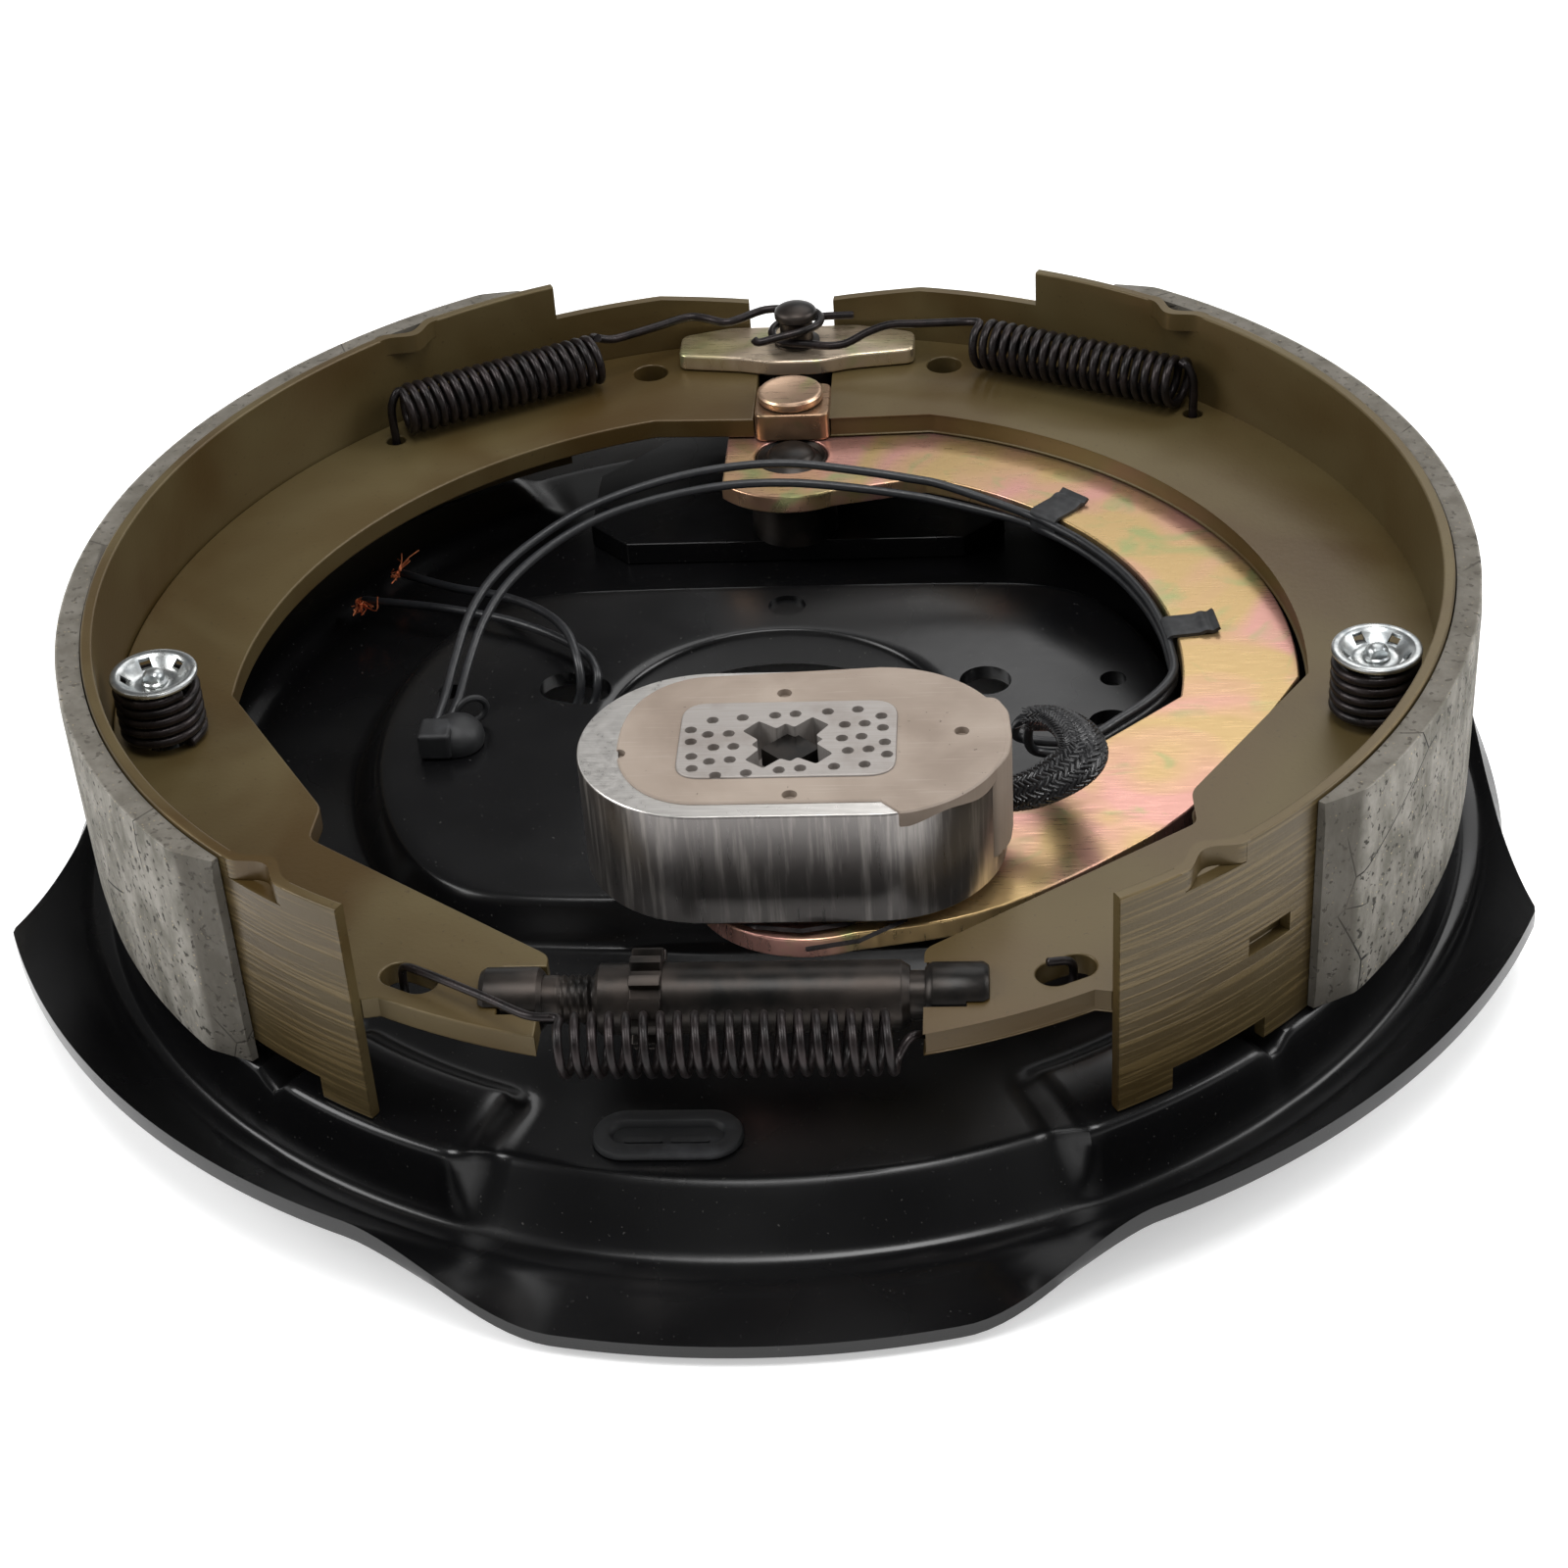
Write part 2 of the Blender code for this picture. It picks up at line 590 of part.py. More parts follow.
def slot_plug():
    """Rubber plug of the adjuster slot: a lip on the floor and a body in the slot."""
    lip = stadium(SLOT_CENTRE, SLOT_LENGTH + 2 * PLUG_LIP, SLOT_WIDTH + 2 * PLUG_LIP)
    plug = slab("slot_plug", lip, (FLOOR_Z + GAP, FLOOR_Z + GAP + PLUG_LIP_THICK))
    body = stadium(SLOT_CENTRE, SLOT_LENGTH - 2 * GAP, SLOT_WIDTH - 2 * GAP)
    join(plug, slab("plug_body", body, (FLOOR_BACK_Z - 2 * mm, FLOOR_Z + 2 * GAP)))
    recess = stadium(SLOT_CENTRE, SLOT_LENGTH - 6 * mm, SLOT_WIDTH - 6 * mm)
    cut(plug, slab("plug_recess", recess, (FLOOR_Z, FLOOR_Z + 10 * mm)))
    return finish(plug, "black_rubber")


# Anchor end

def anchor_reinforcement():
    half, (near, far) = REINFORCEMENT_HALF_X, REINFORCEMENT_Y
    side = [(half - 10 * mm, near), (half, near + 10 * mm), (half, far - 25 * mm), (half - 22 * mm, far)]
    outline = side + [(-x, y) for x, y in reversed(side)]
    holes = [arc((0, ANCHOR_Y), ANCHOR_SHANK_R + GAP, 360, 15, 23),
             arc((0, PIVOT_Y), PIVOT_SHANK_R + GAP, 360, 15, 23)]
    plate = slab("anchor_reinforcement", outline, REINFORCEMENT_Z, *holes)
    return finish(bevelled(plate, 0.6 * mm, 1), "gloss_black_paint")


def anchor_pin():
    """Stepped pin: riveted end, base, body between the webs, neck and domed head."""
    seat = REINFORCEMENT_Z[1] + GAP
    shoulder = WEB_Z[1]
    top = shoulder + ANCHOR_NECK_H
    profile = [
        (0, top + 2 * mm), (ANCHOR_HEAD_R * 0.6, top + 1.6 * mm), (ANCHOR_HEAD_R, top),
        (ANCHOR_HEAD_R, top - 1 * mm), (ANCHOR_NECK_R, top - 2 * mm), (ANCHOR_NECK_R, shoulder),
        (ANCHOR_BODY_R, shoulder), (ANCHOR_BODY_R, WEB_Z[0] - 2 * GAP), (ANCHOR_BASE_R, WEB_Z[0] - 2 * GAP),
        (ANCHOR_BASE_R, seat), (ANCHOR_SHANK_R, seat), (ANCHOR_SHANK_R, FLOOR_BACK_Z - GAP),
        (ANCHOR_SHANK_R + 2 * mm, FLOOR_BACK_Z - GAP), (ANCHOR_SHANK_R + 2 * mm, FLOOR_BACK_Z - 1.5 * mm),
        (ANCHOR_SHANK_R, FLOOR_BACK_Z - RIVET_OVER), (0, FLOOR_BACK_Z - RIVET_OVER),
    ]
    return finish(turned("anchor_pin", profile, (0, ANCHOR_Y, 0)), "black_oxide")


def guide_plate():
    """Plate over the webs' ends, held under the pin's neck."""
    half = GUIDE_HALF_X
    near, far = ANCHOR_Y - 6 * mm, ANCHOR_Y + 4 * mm
    outline = [(-half, near), (-10 * mm, near - 5 * mm), (10 * mm, near - 5 * mm), (half, near),
               (half, far), (15 * mm, far + 5 * mm), (-18 * mm, far + 5 * mm), (-half, far + 1 * mm)]
    hole = arc((0, ANCHOR_Y), ANCHOR_NECK_R + GAP, 360, 15, 23)
    plate = slab("guide_plate", outline, GUIDE_Z, hole)
    return finish(bevelled(plate, 0.6 * mm, 1), "yellow_zinc")


def pivot_stud():
    """Spacer boss under the lever and the journal that it turns on."""
    seat = REINFORCEMENT_Z[1] + GAP
    top = ARM_Z[1]
    profile = [
        (0, top + 2.4 * mm), (PIVOT_DOME_R - 2 * mm, top + 1.9 * mm), (PIVOT_DOME_R, top),
        (PIVOT_JOURNAL_R, top - 0.6 * mm), (PIVOT_JOURNAL_R, ARM_Z[0] - GAP),
        (PIVOT_BOSS_R, ARM_Z[0] - GAP), (PIVOT_BOSS_R, seat),
        (PIVOT_SHANK_R, seat), (PIVOT_SHANK_R, FLOOR_BACK_Z - GAP),
        (PIVOT_SHANK_R + 2 * mm, FLOOR_BACK_Z - GAP), (PIVOT_SHANK_R + 2 * mm, FLOOR_BACK_Z - 1.5 * mm),
        (PIVOT_SHANK_R, FLOOR_BACK_Z - RIVET_OVER), (0, FLOOR_BACK_Z - RIVET_OVER),
    ]
    return finish(turned("pivot_stud", profile, (0, PIVOT_Y, 0)), "black_oxide")


# Brake shoes

def flip(points, side):
    """Mirror an outline for the left shoe."""
    return points if side > 0 else [(-x, y) for x, y in reversed(points)]


def web_outline(horn_deg):
    """Right web: straight end, table arc, tail with the adjuster notch, inner arc."""
    table_end = TABLE_DEG[0]
    horn = arc((0, 0), SHOE_TABLE_R - GAP, horn_deg, table_end, 36)
    tail_deg = -math.degrees(math.acos(WEB_TAIL_X / WEB_TAIL_R))
    tail = arc((0, 0), WEB_TAIL_R, table_end - 1, tail_deg, 4)
    notch = [(WEB_TAIL_X, ADJUSTER_Y - WEB_NOTCH_HALF), (WEB_NOTCH_X, ADJUSTER_Y - WEB_NOTCH_HALF),
             (WEB_NOTCH_X, ADJUSTER_Y + WEB_NOTCH_HALF), (WEB_TAIL_X, ADJUSTER_Y + WEB_NOTCH_HALF)]
    waist = [(WEB_TAIL_X, -112.5 * mm), (89.5 * mm, -73.3 * mm), (89.0 * mm, -62.6 * mm)]
    inner = arc((0, WEB_INNER_CENTRE_Y), WEB_INNER_R, -4.6, 73.0, 20)
    end = [(WEB_END_X, WEB_END_Y)]
    return [(WEB_END_X, horn[0][1])] + horn + tail + notch + waist + inner + end


def hook_hole(coil):
    """Where a return spring's hook goes through its web."""
    start, end = np.array(coil[0]), np.array(coil[1])
    return tuple(start + (start - end) / np.linalg.norm(start - end) * RETURN_HOOK_OUT)


def sector(inner_r, outer_r, first, last, steps):
    """Outline of a piece of a ring about the wheel axis."""
    return arc((0, 0), outer_r, first, last, steps) + arc((0, 0), inner_r, last, first, steps)


def shoe_web(name, side, horn_deg, coil):
    """Flat web with the anchor's notch and its slot, round hole, hold-down hole and spring hole."""
    web = slab(name + "_web", flip(web_outline(horn_deg), side), WEB_Z)
    through = (WEB_Z[0] - 2 * mm, WEB_Z[1] + 2 * mm)
    cut(web, cylinder(name + "_pin_notch", ANCHOR_BODY_R + GAP, (0, ANCHOR_Y), through, 40))
    slot_deg = math.degrees(math.atan2(WEB_SLOT[0], -WEB_SLOT[1]))
    slot = stadium(WEB_SLOT, WEB_SLOT_LENGTH, WEB_SLOT_WIDTH, slot_deg)
    cut(web, slab(name + "_web_slot", flip(slot, side), through))
    round_hole = (side * WEB_ROUND_HOLE[0], WEB_ROUND_HOLE[1])
    cut(web, cylinder(name + "_web_hole", WEB_ROUND_HOLE_R, round_hole, through, 16))
    hold = (side * HOLD_DOWN[0], HOLD_DOWN[1])
    cut(web, cylinder(name + "_hold_hole", HOLD_DOWN_WEB_R, hold, through, 16))
    cut(web, cylinder(name + "_hook_hole", RETURN_HOOK_HOLE_R, hook_hole(coil), through, 12))
    return web


def nib_outline(deg):
    """A strip of the table bowed inward: the bow falls off with the squared cosine to its roots."""
    reach = NIB_HALF_DEG + NIB_ROOT_DEG
    turns = np.linspace(-reach, reach, 13)
    bows = NIB_BOW * np.cos(np.clip(turns / NIB_HALF_DEG, -1, 1) * math.pi / 2) ** 2
    outer = [polar(TABLE_OUTER_R - NIB_INSET - bow, deg + turn) for turn, bow in zip(turns, bows)]
    inner = [polar(SHOE_TABLE_R + NIB_INSET - bow, deg + turn) for turn, bow in zip(turns, bows)]
    return outer + inner[::-1]


def shoe_table(name, side, horn_deg):
    """Rolled table with a narrow horn, a notch below, lanced nibs and, on the right, a window."""
    low_deg, high_deg = TABLE_DEG
    whole = sector(SHOE_TABLE_R, TABLE_OUTER_R, low_deg, horn_deg, 36)
    table = slab(name + "_table", flip(whole, side), TABLE_Z)
    cut_r = (SHOE_TABLE_R - 5 * mm, TABLE_OUTER_R + 5 * mm)
    above, below = TABLE_Z[1] + 5 * mm, TABLE_Z[0] - 5 * mm
    past = flip(sector(*cut_r, high_deg, horn_deg + 5, 6), side)
    cut(table, slab(name + "_horn_low", past, (below, WEB_MID_Z - HORN_DEPTH / 2)))
    cut(table, slab(name + "_horn_high", past, (WEB_MID_Z + HORN_DEPTH / 2, above)))
    notch = flip(sector(*cut_r, *TABLE_NOTCH_DEG, 3), side)
    cut(table, slab(name + "_low_notch", notch, (below, TABLE_Z[0] + TABLE_NOTCH_DEPTH)))
    if side > 0:
        window_z = (WEB_MID_Z - TABLE_WINDOW_H / 2, WEB_MID_Z + TABLE_WINDOW_H / 2)
        cut(table, slab(name + "_window", sector(*cut_r, *TABLE_WINDOW_DEG, 3), window_z))
    slit = TABLE_Z[1] - NIB_H
    for index, deg in enumerate(NIB_DEG):
        opening = flip(sector(*cut_r, deg - NIB_HALF_DEG, deg + NIB_HALF_DEG, 4), side)
        cut(table, slab(f"{name}_slit_{index}", opening, (slit, above)))
        strip_z = (slit + 3 * NIB_INSET, TABLE_Z[1] - NIB_INSET)
        join(table, slab(f"{name}_nib_{index}", flip(nib_outline(deg), side), strip_z))
    return table


def shoe_lining(name, side, lining_deg):
    """Friction block on the table, chamfered at both ends."""
    first, last = lining_deg
    inner_r = TABLE_OUTER_R + GAP
    end_r = inner_r + LINING_END_T
    block = arc((0, 0), inner_r + LINING_T, first + LINING_CHAMFER_DEG, last - LINING_CHAMFER_DEG, 30)
    block += [polar(end_r, last)] + arc((0, 0), inner_r, last, first, 30) + [polar(end_r, first)]
    return slab(name + "_lining", flip(block, side), (TABLE_Z[0] + LINING_EDGE, TABLE_Z[1] - LINING_EDGE))


def shoe(name, side, horn_deg, lining_deg, coil, body):
    """A web, a table and a lining. The left shoe is a mirror image of the right one."""
    finish(shoe_web(name, side, horn_deg, coil), "gold_lacquer", body)
    finish(shoe_table(name, side, horn_deg), "gold_lacquer", body)
    finish(shoe_lining(name, side, lining_deg), "lining_compound", body)


# Lever arm

def arm_outline():
    """A C-shaped lever: head round the pivot, round back and a tip under the magnet."""
    centre = (0, ARM_CENTRE_Y)
    outer_r = ARM_INNER_R + ARM_WIDTH
    head = [(12 * mm, 118 * mm), (-9 * mm, 118 * mm), (-16.3 * mm, 106 * mm), (-16.3 * mm, 104.7 * mm)]
    round_head = arc((0, PIVOT_Y), ARM_HEAD_R, 219, 300, 10)
    inner = arc(centre, ARM_INNER_R, 68.5, -9.0, 20)
    waist = [(68.5 * mm, -38.8 * mm), (54.0 * mm, -51.0 * mm), (36.0 * mm, -57.0 * mm)]
    tip = arc(ARM_TIP, ARM_TIP_R, 60, 293, 20)
    back = [(45.9 * mm, -95.2 * mm), (65.2 * mm, -82.4 * mm), (88.7 * mm, -62.2 * mm)]
    outer = arc(centre, outer_r, -3.7, 80, 20)
    return head + round_head + inner + waist + tip + back + outer


def lever_arm():
    holes = [arc((0, PIVOT_Y), PIVOT_JOURNAL_R + GAP, 360, 15, 23),
             arc(CAM_RIVET, CAM_RIVET_R + GAP, 360, 20, 17),
             arc(MAGNET, STUD_R + GAP, 360, 20, 17)]
    arm = slab("lever_arm", arm_outline(), ARM_Z, *holes)
    return finish(arm, "yellow_zinc", arm_axis)


def cam_block():
    """Block between the webs' ends, which spreads the shoes when the lever swings."""
    near, far = CAM_BLOCK_Y
    half = CAM_BLOCK_HALF_X
    outline = [(-half, near), (half, near), (half, far - 3 * mm), (half - 3 * mm, far),
               (-half + 3 * mm, far), (-half, far - 3 * mm)]
    bottom = ARM_Z[1] + GAP
    hole = arc(CAM_RIVET, CAM_RIVET_R + GAP, 360, 20, 17)
    block = slab("cam_block", outline, (bottom, bottom + CAM_BLOCK_T), hole)
    return finish(block, "yellow_zinc", arm_axis)


def cam_rivet():
    top = ARM_Z[1] + 2 * GAP + CAM_BLOCK_T
    profile = [
        (0, top + CAM_RIVET_HEAD_T), (CAM_RIVET_HEAD_R - 1 * mm, top + CAM_RIVET_HEAD_T),
        (CAM_RIVET_HEAD_R, top + CAM_RIVET_HEAD_T - 1 * mm), (CAM_RIVET_HEAD_R, top), (CAM_RIVET_R, top),
        (CAM_RIVET_R, ARM_Z[0]), (0, ARM_Z[0]),
    ]
    return finish(turned("cam_rivet", profile, (*CAM_RIVET, 0)), "yellow_zinc", arm_axis)


def wire_clip(name, deg):
    """A C-shaped clip gripping the lever's inner edge and both leads beside it."""
    low, high = ARM_Z[0] - GAP, ARM_Z[1] + GAP
    inside = LEAD_D + 1.2 * mm
    section = [(-CLIP_GRIP, low), (-CLIP_GRIP, low - CLIP_WALL), (inside + CLIP_WALL, low - CLIP_WALL),
               (inside + CLIP_WALL, high + CLIP_WALL), (-CLIP_GRIP, high + CLIP_WALL), (-CLIP_GRIP, high),
               (inside, high), (inside, low)]
    clip = slab(name, section, (-CLIP_LENGTH / 2, CLIP_LENGTH / 2))
    edge = polar(ARM_INNER_R, deg)
    inward = Vector((*polar(-1, deg), 0))
    up = Vector((0, 0, 1))
    along = inward.cross(up)
    frame = Matrix((inward, up, along)).transposed().to_4x4()
    clip.data.transform(Matrix.Translation((edge[0], edge[1] + ARM_CENTRE_Y, 0)) @ frame)
    return finish(clip, "black_oxide", arm_axis)


# Electromagnet

def magnet_stud():
    """Stud riveted to the lever's tip, which the magnet floats on."""
    low = ARM_Z[0] - GAP
    top = MAGNET_Z[1] - STUD_BELOW_FACE
    profile = [(0, top), (STUD_R - 0.8 * mm, top), (STUD_R, top - 0.8 * mm), (STUD_R, low),
               (STUD_R + 2 * mm, low), (STUD_R + 2 * mm, low - 2 * mm), (0, low - 2 * mm)]
    return finish(turned("magnet_stud", profile, (*MAGNET, 0)), "black_oxide", arm_axis)


def magnet_shell():
    """Pressed cup round the magnet, open where the leads come out."""
    outline = stadium(MAGNET, MAGNET_LENGTH, MAGNET_WIDTH, 0.0, 16)
    shell = slab("magnet_shell", outline, (MAGNET_Z[0], MAGNET_Z[1] - SHELL_STEP))
    hollow = stadium(MAGNET, MAGNET_LENGTH - 2 * SHELL_T, MAGNET_WIDTH - 2 * SHELL_T, 0.0, 16)
    cut(shell, slab("shell_hollow", hollow, (MAGNET_Z[0] + SHELL_T, MAGNET_Z[1] + 5 * mm)))
    cut(shell, cylinder("shell_bore", STUD_BORE_R, MAGNET, (0, 100 * mm)))
    gate = (MAGNET[1] - RESIN_LIP_HALF_Y - GAP, MAGNET[1] + RESIN_LIP_HALF_Y + 5 * mm + GAP)
    cut(shell, box("shell_gate", (40 * mm, 70 * mm), gate, (MAGNET_Z[0] + SHELL_T + 1 * mm, 100 * mm)))
    return finish(shell, "bright_zinc", magnet_axis)


def magnet_resin():
    """Potting compound that holds the coil, with the lip that the leads come out of."""
    inset = SHELL_T + GAP
    outline = stadium(MAGNET, MAGNET_LENGTH - 2 * inset, MAGNET_WIDTH - 2 * inset, 0.0, 16)
    resin = slab("magnet_resin", outline, (MAGNET_Z[0] + inset, MAGNET_Z[1] - 0.4 * mm))
    lip_y = (MAGNET[1] - RESIN_LIP_HALF_Y, MAGNET[1] + RESIN_LIP_HALF_Y + 5 * mm)
    back_x, corner = RESIN_LIP_X - 14 * mm, 3 * mm
    lip = [(back_x, lip_y[0]), (RESIN_LIP_X - 2 * mm, lip_y[0]), (RESIN_LIP_X, lip_y[0] + corner),
           (RESIN_LIP_X, lip_y[1] - corner), (RESIN_LIP_X - corner, lip_y[1]), (back_x, lip_y[1])]
    join(resin, slab("resin_lip", lip, (MAGNET_Z[0] + SHELL_T + 1.4 * mm, MAGNET_Z[1] - 2 * mm)))
    pocket = core_outline(GAP)
    cut(resin, slab("core_pocket", pocket, (MAGNET_Z[1] - CORE_DEPTH - GAP, MAGNET_Z[1] + 5 * mm)))
    cut(resin, cylinder("resin_bore", STUD_BORE_R, MAGNET, (0, 100 * mm)))
    return finish(resin, "tan_resin", magnet_axis)


def core_outline(grow):
    """Rectangle with chamfered corners, grown by a clearance."""
    x0, x1 = CORE_X[0] - grow, CORE_X[1] + grow
    y0, y1 = CORE_Y[0] - grow, CORE_Y[1] + grow
    c = CORE_CORNER
    return [(x0 + c, y0), (x1 - c, y0), (x1, y0 + c), (x1, y1 - c),
            (x1 - c, y1), (x0 + c, y1), (x0, y1 - c), (x0, y0 + c)]


def magnet_core():
    """Iron core with a cross-shaped mouth round the stud."""
    core = slab("magnet_core", core_outline(0), (MAGNET_Z[1] - CORE_DEPTH, MAGNET_Z[1]))
    cut(core, cylinder("core_bore", STUD_BORE_R, MAGNET, (0, 100 * mm)))
    long, wide = 6.6 * mm, 2.6 * mm
    mouth = (MAGNET_Z[1] - 3 * mm, MAGNET_Z[1] + 5 * mm)
    x, y = MAGNET
    cross = [(x - long, y - wide), (x - wide, y - wide), (x - wide, y - long), (x + wide, y - long),
             (x + wide, y - wide), (x + long, y - wide), (x + long, y + wide), (x + wide, y + wide),
             (x + wide, y + long), (x - wide, y + long), (x - wide, y + wide), (x - long, y + wide)]
    cut(core, slab("core_cross", cross, mouth))
    return finish(core, "bright_zinc", magnet_axis)


def magnet_spring():
    """Flat conical spring between the lever's tip and the magnet."""
    turns, per_turn = 3, 16
    t = np.linspace(0, 1, turns * per_turn + 1)
    radius = MAGNET_SPRING_R[0] + (MAGNET_SPRING_R[1] - MAGNET_SPRING_R[0]) * t
    angle = 2 * math.pi * turns * t - math.pi / 2
    low = ARM_Z[1] + GAP + MAGNET_SPRING_WIRE / 2
    rise = MAGNET_LIFT - 2 * GAP - MAGNET_SPRING_WIRE
    x = MAGNET[0] + 3 * mm * (1 - t) + radius * np.cos(angle)
    y = MAGNET[1] - 4 * mm * (1 - t) + radius * np.sin(angle)
    points = np.stack([x, y, low + rise * t], axis=1)
    return finish(wire("magnet_spring", points, MAGNET_SPRING_WIRE, 0), "black_oxide", arm_axis)


# Adjuster

def fork(name, side):
    """A round end with a slot for the web, and a plain shank towards the sleeve."""
    tip, neck = FORK_END_X, FORK_NECK_X
    if side < 0:
        inner, taper = [(SCREW_R, -neck), (SCREW_R, -5 * mm), (SCREW_R - 1 * mm, -4 * mm)], []
    else:
        inner = [(SCREW_R, SLEEVE_X[1] + GAP), (SCREW_R, 1 * mm), (SCREW_R - 1 * mm, 0)]
        taper = [(FORK_R - 1 * mm, SLEEVE_X[1] + GAP)]
    shank_end = inner[-1][1]
    if side > 0:
        profile = [(0, tip), (FORK_R - 0.8 * mm, tip), (FORK_R, tip - 0.8 * mm), (FORK_R, neck)]
        profile += taper + inner + [(0, shank_end)]
    else:
        profile = [(0, shank_end)] + inner[::-1]
        profile += [(FORK_R, -neck), (FORK_R, -tip + 0.8 * mm), (FORK_R - 0.8 * mm, -tip), (0, -tip)]
    piece = turned(name, profile, (0, ADJUSTER_Y, WEB_MID_Z), 20)
    piece.rotation_euler = (0, math.pi / 2, 0)
    slot_x = (FORK_SLOT_X, tip + 5 * mm) if side > 0 else (-tip - 5 * mm, -FORK_SLOT_X)
    slot_z = (WEB_Z[0] - GAP, WEB_Z[1] + GAP)
    cut(piece, box(name + "_slot", slot_x, (ADJUSTER_Y - 10 * mm, ADJUSTER_Y + 10 * mm), slot_z))
    return piece


def star_sleeve():
    """Threaded sleeve with its star wheel."""
    left, right = SLEEVE_X
    bore = SCREW_R + GAP
    profile = [(bore, right), (SLEEVE_R - 0.6 * mm, right), (SLEEVE_R, right - 0.6 * mm),
               (SLEEVE_R, left + 0.6 * mm), (SLEEVE_R - 0.6 * mm, left), (bore, left)]
    sleeve = turned("star_sleeve", profile, (0, ADJUSTER_Y, WEB_MID_Z), 24, ring=True)
    sleeve.rotation_euler = (0, math.pi / 2, 0)
    pitch = 360 / STAR_TEETH
    teeth = []
    for i in range(STAR_TEETH):
        for radius, share in ((STAR_R, 0.0), (STAR_R, 0.4), (STAR_ROOT_R, 0.55), (STAR_ROOT_R, 0.85)):
            teeth.append(polar(radius, (i + share) * pitch))
    star = slab("star_wheel", teeth, STAR_X, arc((0, 0), SLEEVE_R - 1 * mm, 360, 15, 23))
    star.location = (0, ADJUSTER_Y, WEB_MID_Z)
    star.rotation_euler = (0, math.pi / 2, 0)
    star.data.transform(Matrix.Translation((0, 0, (STAR_X[0] + STAR_X[1]) / 2)))
    join(sleeve, star)
    return finish(sleeve, "black_oxide", star_axis)


# Springs and hold-downs

def return_spring(name, coil, loop_z, side, body):
    """Close coil with a hook down through the web and a loop round the anchor pin."""
    start, end = (*coil[0], RETURN_Z), (*coil[1], RETURN_Z)
    radius = (RETURN_COIL_D - RETURN_WIRE) / 2
    turns = coil_path(start, end, radius, RETURN_TURNS)
    hole = np.array(hook_hole(coil))
    between = (np.array(coil[0]) + hole) / 2
    hook = [(*hole, WEB_Z[0] - 1.2 * mm), (*hole, WEB_Z[1] + 1 * mm), (*hole, RETURN_Z + 1 * mm),
            (*between, RETURN_Z + radius - 0.6 * mm)]
    first, last = (-100, -300) if side > 0 else (-80, 120)
    loop = [(*point, loop_z) for point in arc((0, ANCHOR_Y), PIN_LOOP_R, first, last, 12)]
    out = np.array(end) + (np.array(loop[0]) - np.array(end)) * 0.1
    out[2] = RETURN_Z + radius - 0.8 * mm
    points = [*hook, *turns.tolist(), out.tolist(), *loop]
    return finish(wire(name, points, RETURN_WIRE, 0), "black_oxide", body)


def tension_spring():
    """Spring below the adjuster that pulls the webs' tails together."""
    radius = (TENSION_COIL_D - TENSION_WIRE) / 2
    mid = WEB_MID_Z + 3.4 * mm
    ends = [(side * TENSION_HALF_X, TENSION_Y, mid) for side in (-1, 1)]
    turns = coil_path(*ends, radius, TENSION_TURNS)
    x, y = TENSION_HOOK
    over = WEB_Z[1] + TENSION_WIRE / 2 + 2 * mm
    hook = [(x, y, WEB_Z[0] - 1.2 * mm), (x, y, WEB_Z[1]), (x - 1.2 * mm, y - 0.9 * mm, over),
            (x - 5 * mm, y - 3.5 * mm, over + 1 * mm),
            (TENSION_HALF_X + 4 * mm, TENSION_Y + 2 * mm, mid + 4.4 * mm)]
    left = [(-px, py, pz) for px, py, pz in hook]
    points = left + turns.tolist() + hook[::-1]
    return finish(wire("adjuster_spring", points, TENSION_WIRE, 0), "black_oxide")


def hold_down_cup(name, centre, seat, inside_r):
    """Dished cup: a rim on the coil, a sloping wall with windows and a sunken floor with a hole."""
    rim = seat + HOLD_CUP_T
    dish = rim - HOLD_DISH_DEPTH
    bore = HOLD_PIN_R + GAP
    wall_top = inside_r + HOLD_CUP_T / 2
    profile = [(bore, dish), (HOLD_DISH_R, dish), (wall_top, rim), (HOLD_CUP_R, rim), (HOLD_CUP_R, seat),
               (inside_r, seat), (HOLD_DISH_R + HOLD_CUP_T / 3, dish - HOLD_CUP_T), (bore, dish - HOLD_CUP_T)]
    cup = turned(name, profile, (*centre, 0), 30, ring=True)
    near, far, half = HOLD_DISH_R - 0.6 * mm, wall_top - 0.3 * mm, HOLD_WINDOW_W / 2
    for index in range(HOLD_WINDOWS):
        turn = math.radians(HOLD_WINDOW_DEG + index * 360 / HOLD_WINDOWS)
        out, across = np.array([math.cos(turn), math.sin(turn)]), np.array([-math.sin(turn), math.cos(turn)])
        corners = [(near, -half), (far, -half), (far, half), (near, half)]
        outline = [tuple(np.array(centre) + r * out + w * across) for r, w in corners]
        cut(cup, slab(f"{name}_window_{index}", outline, (dish + 0.3 * mm, rim - 0.4 * mm)))
    return cup


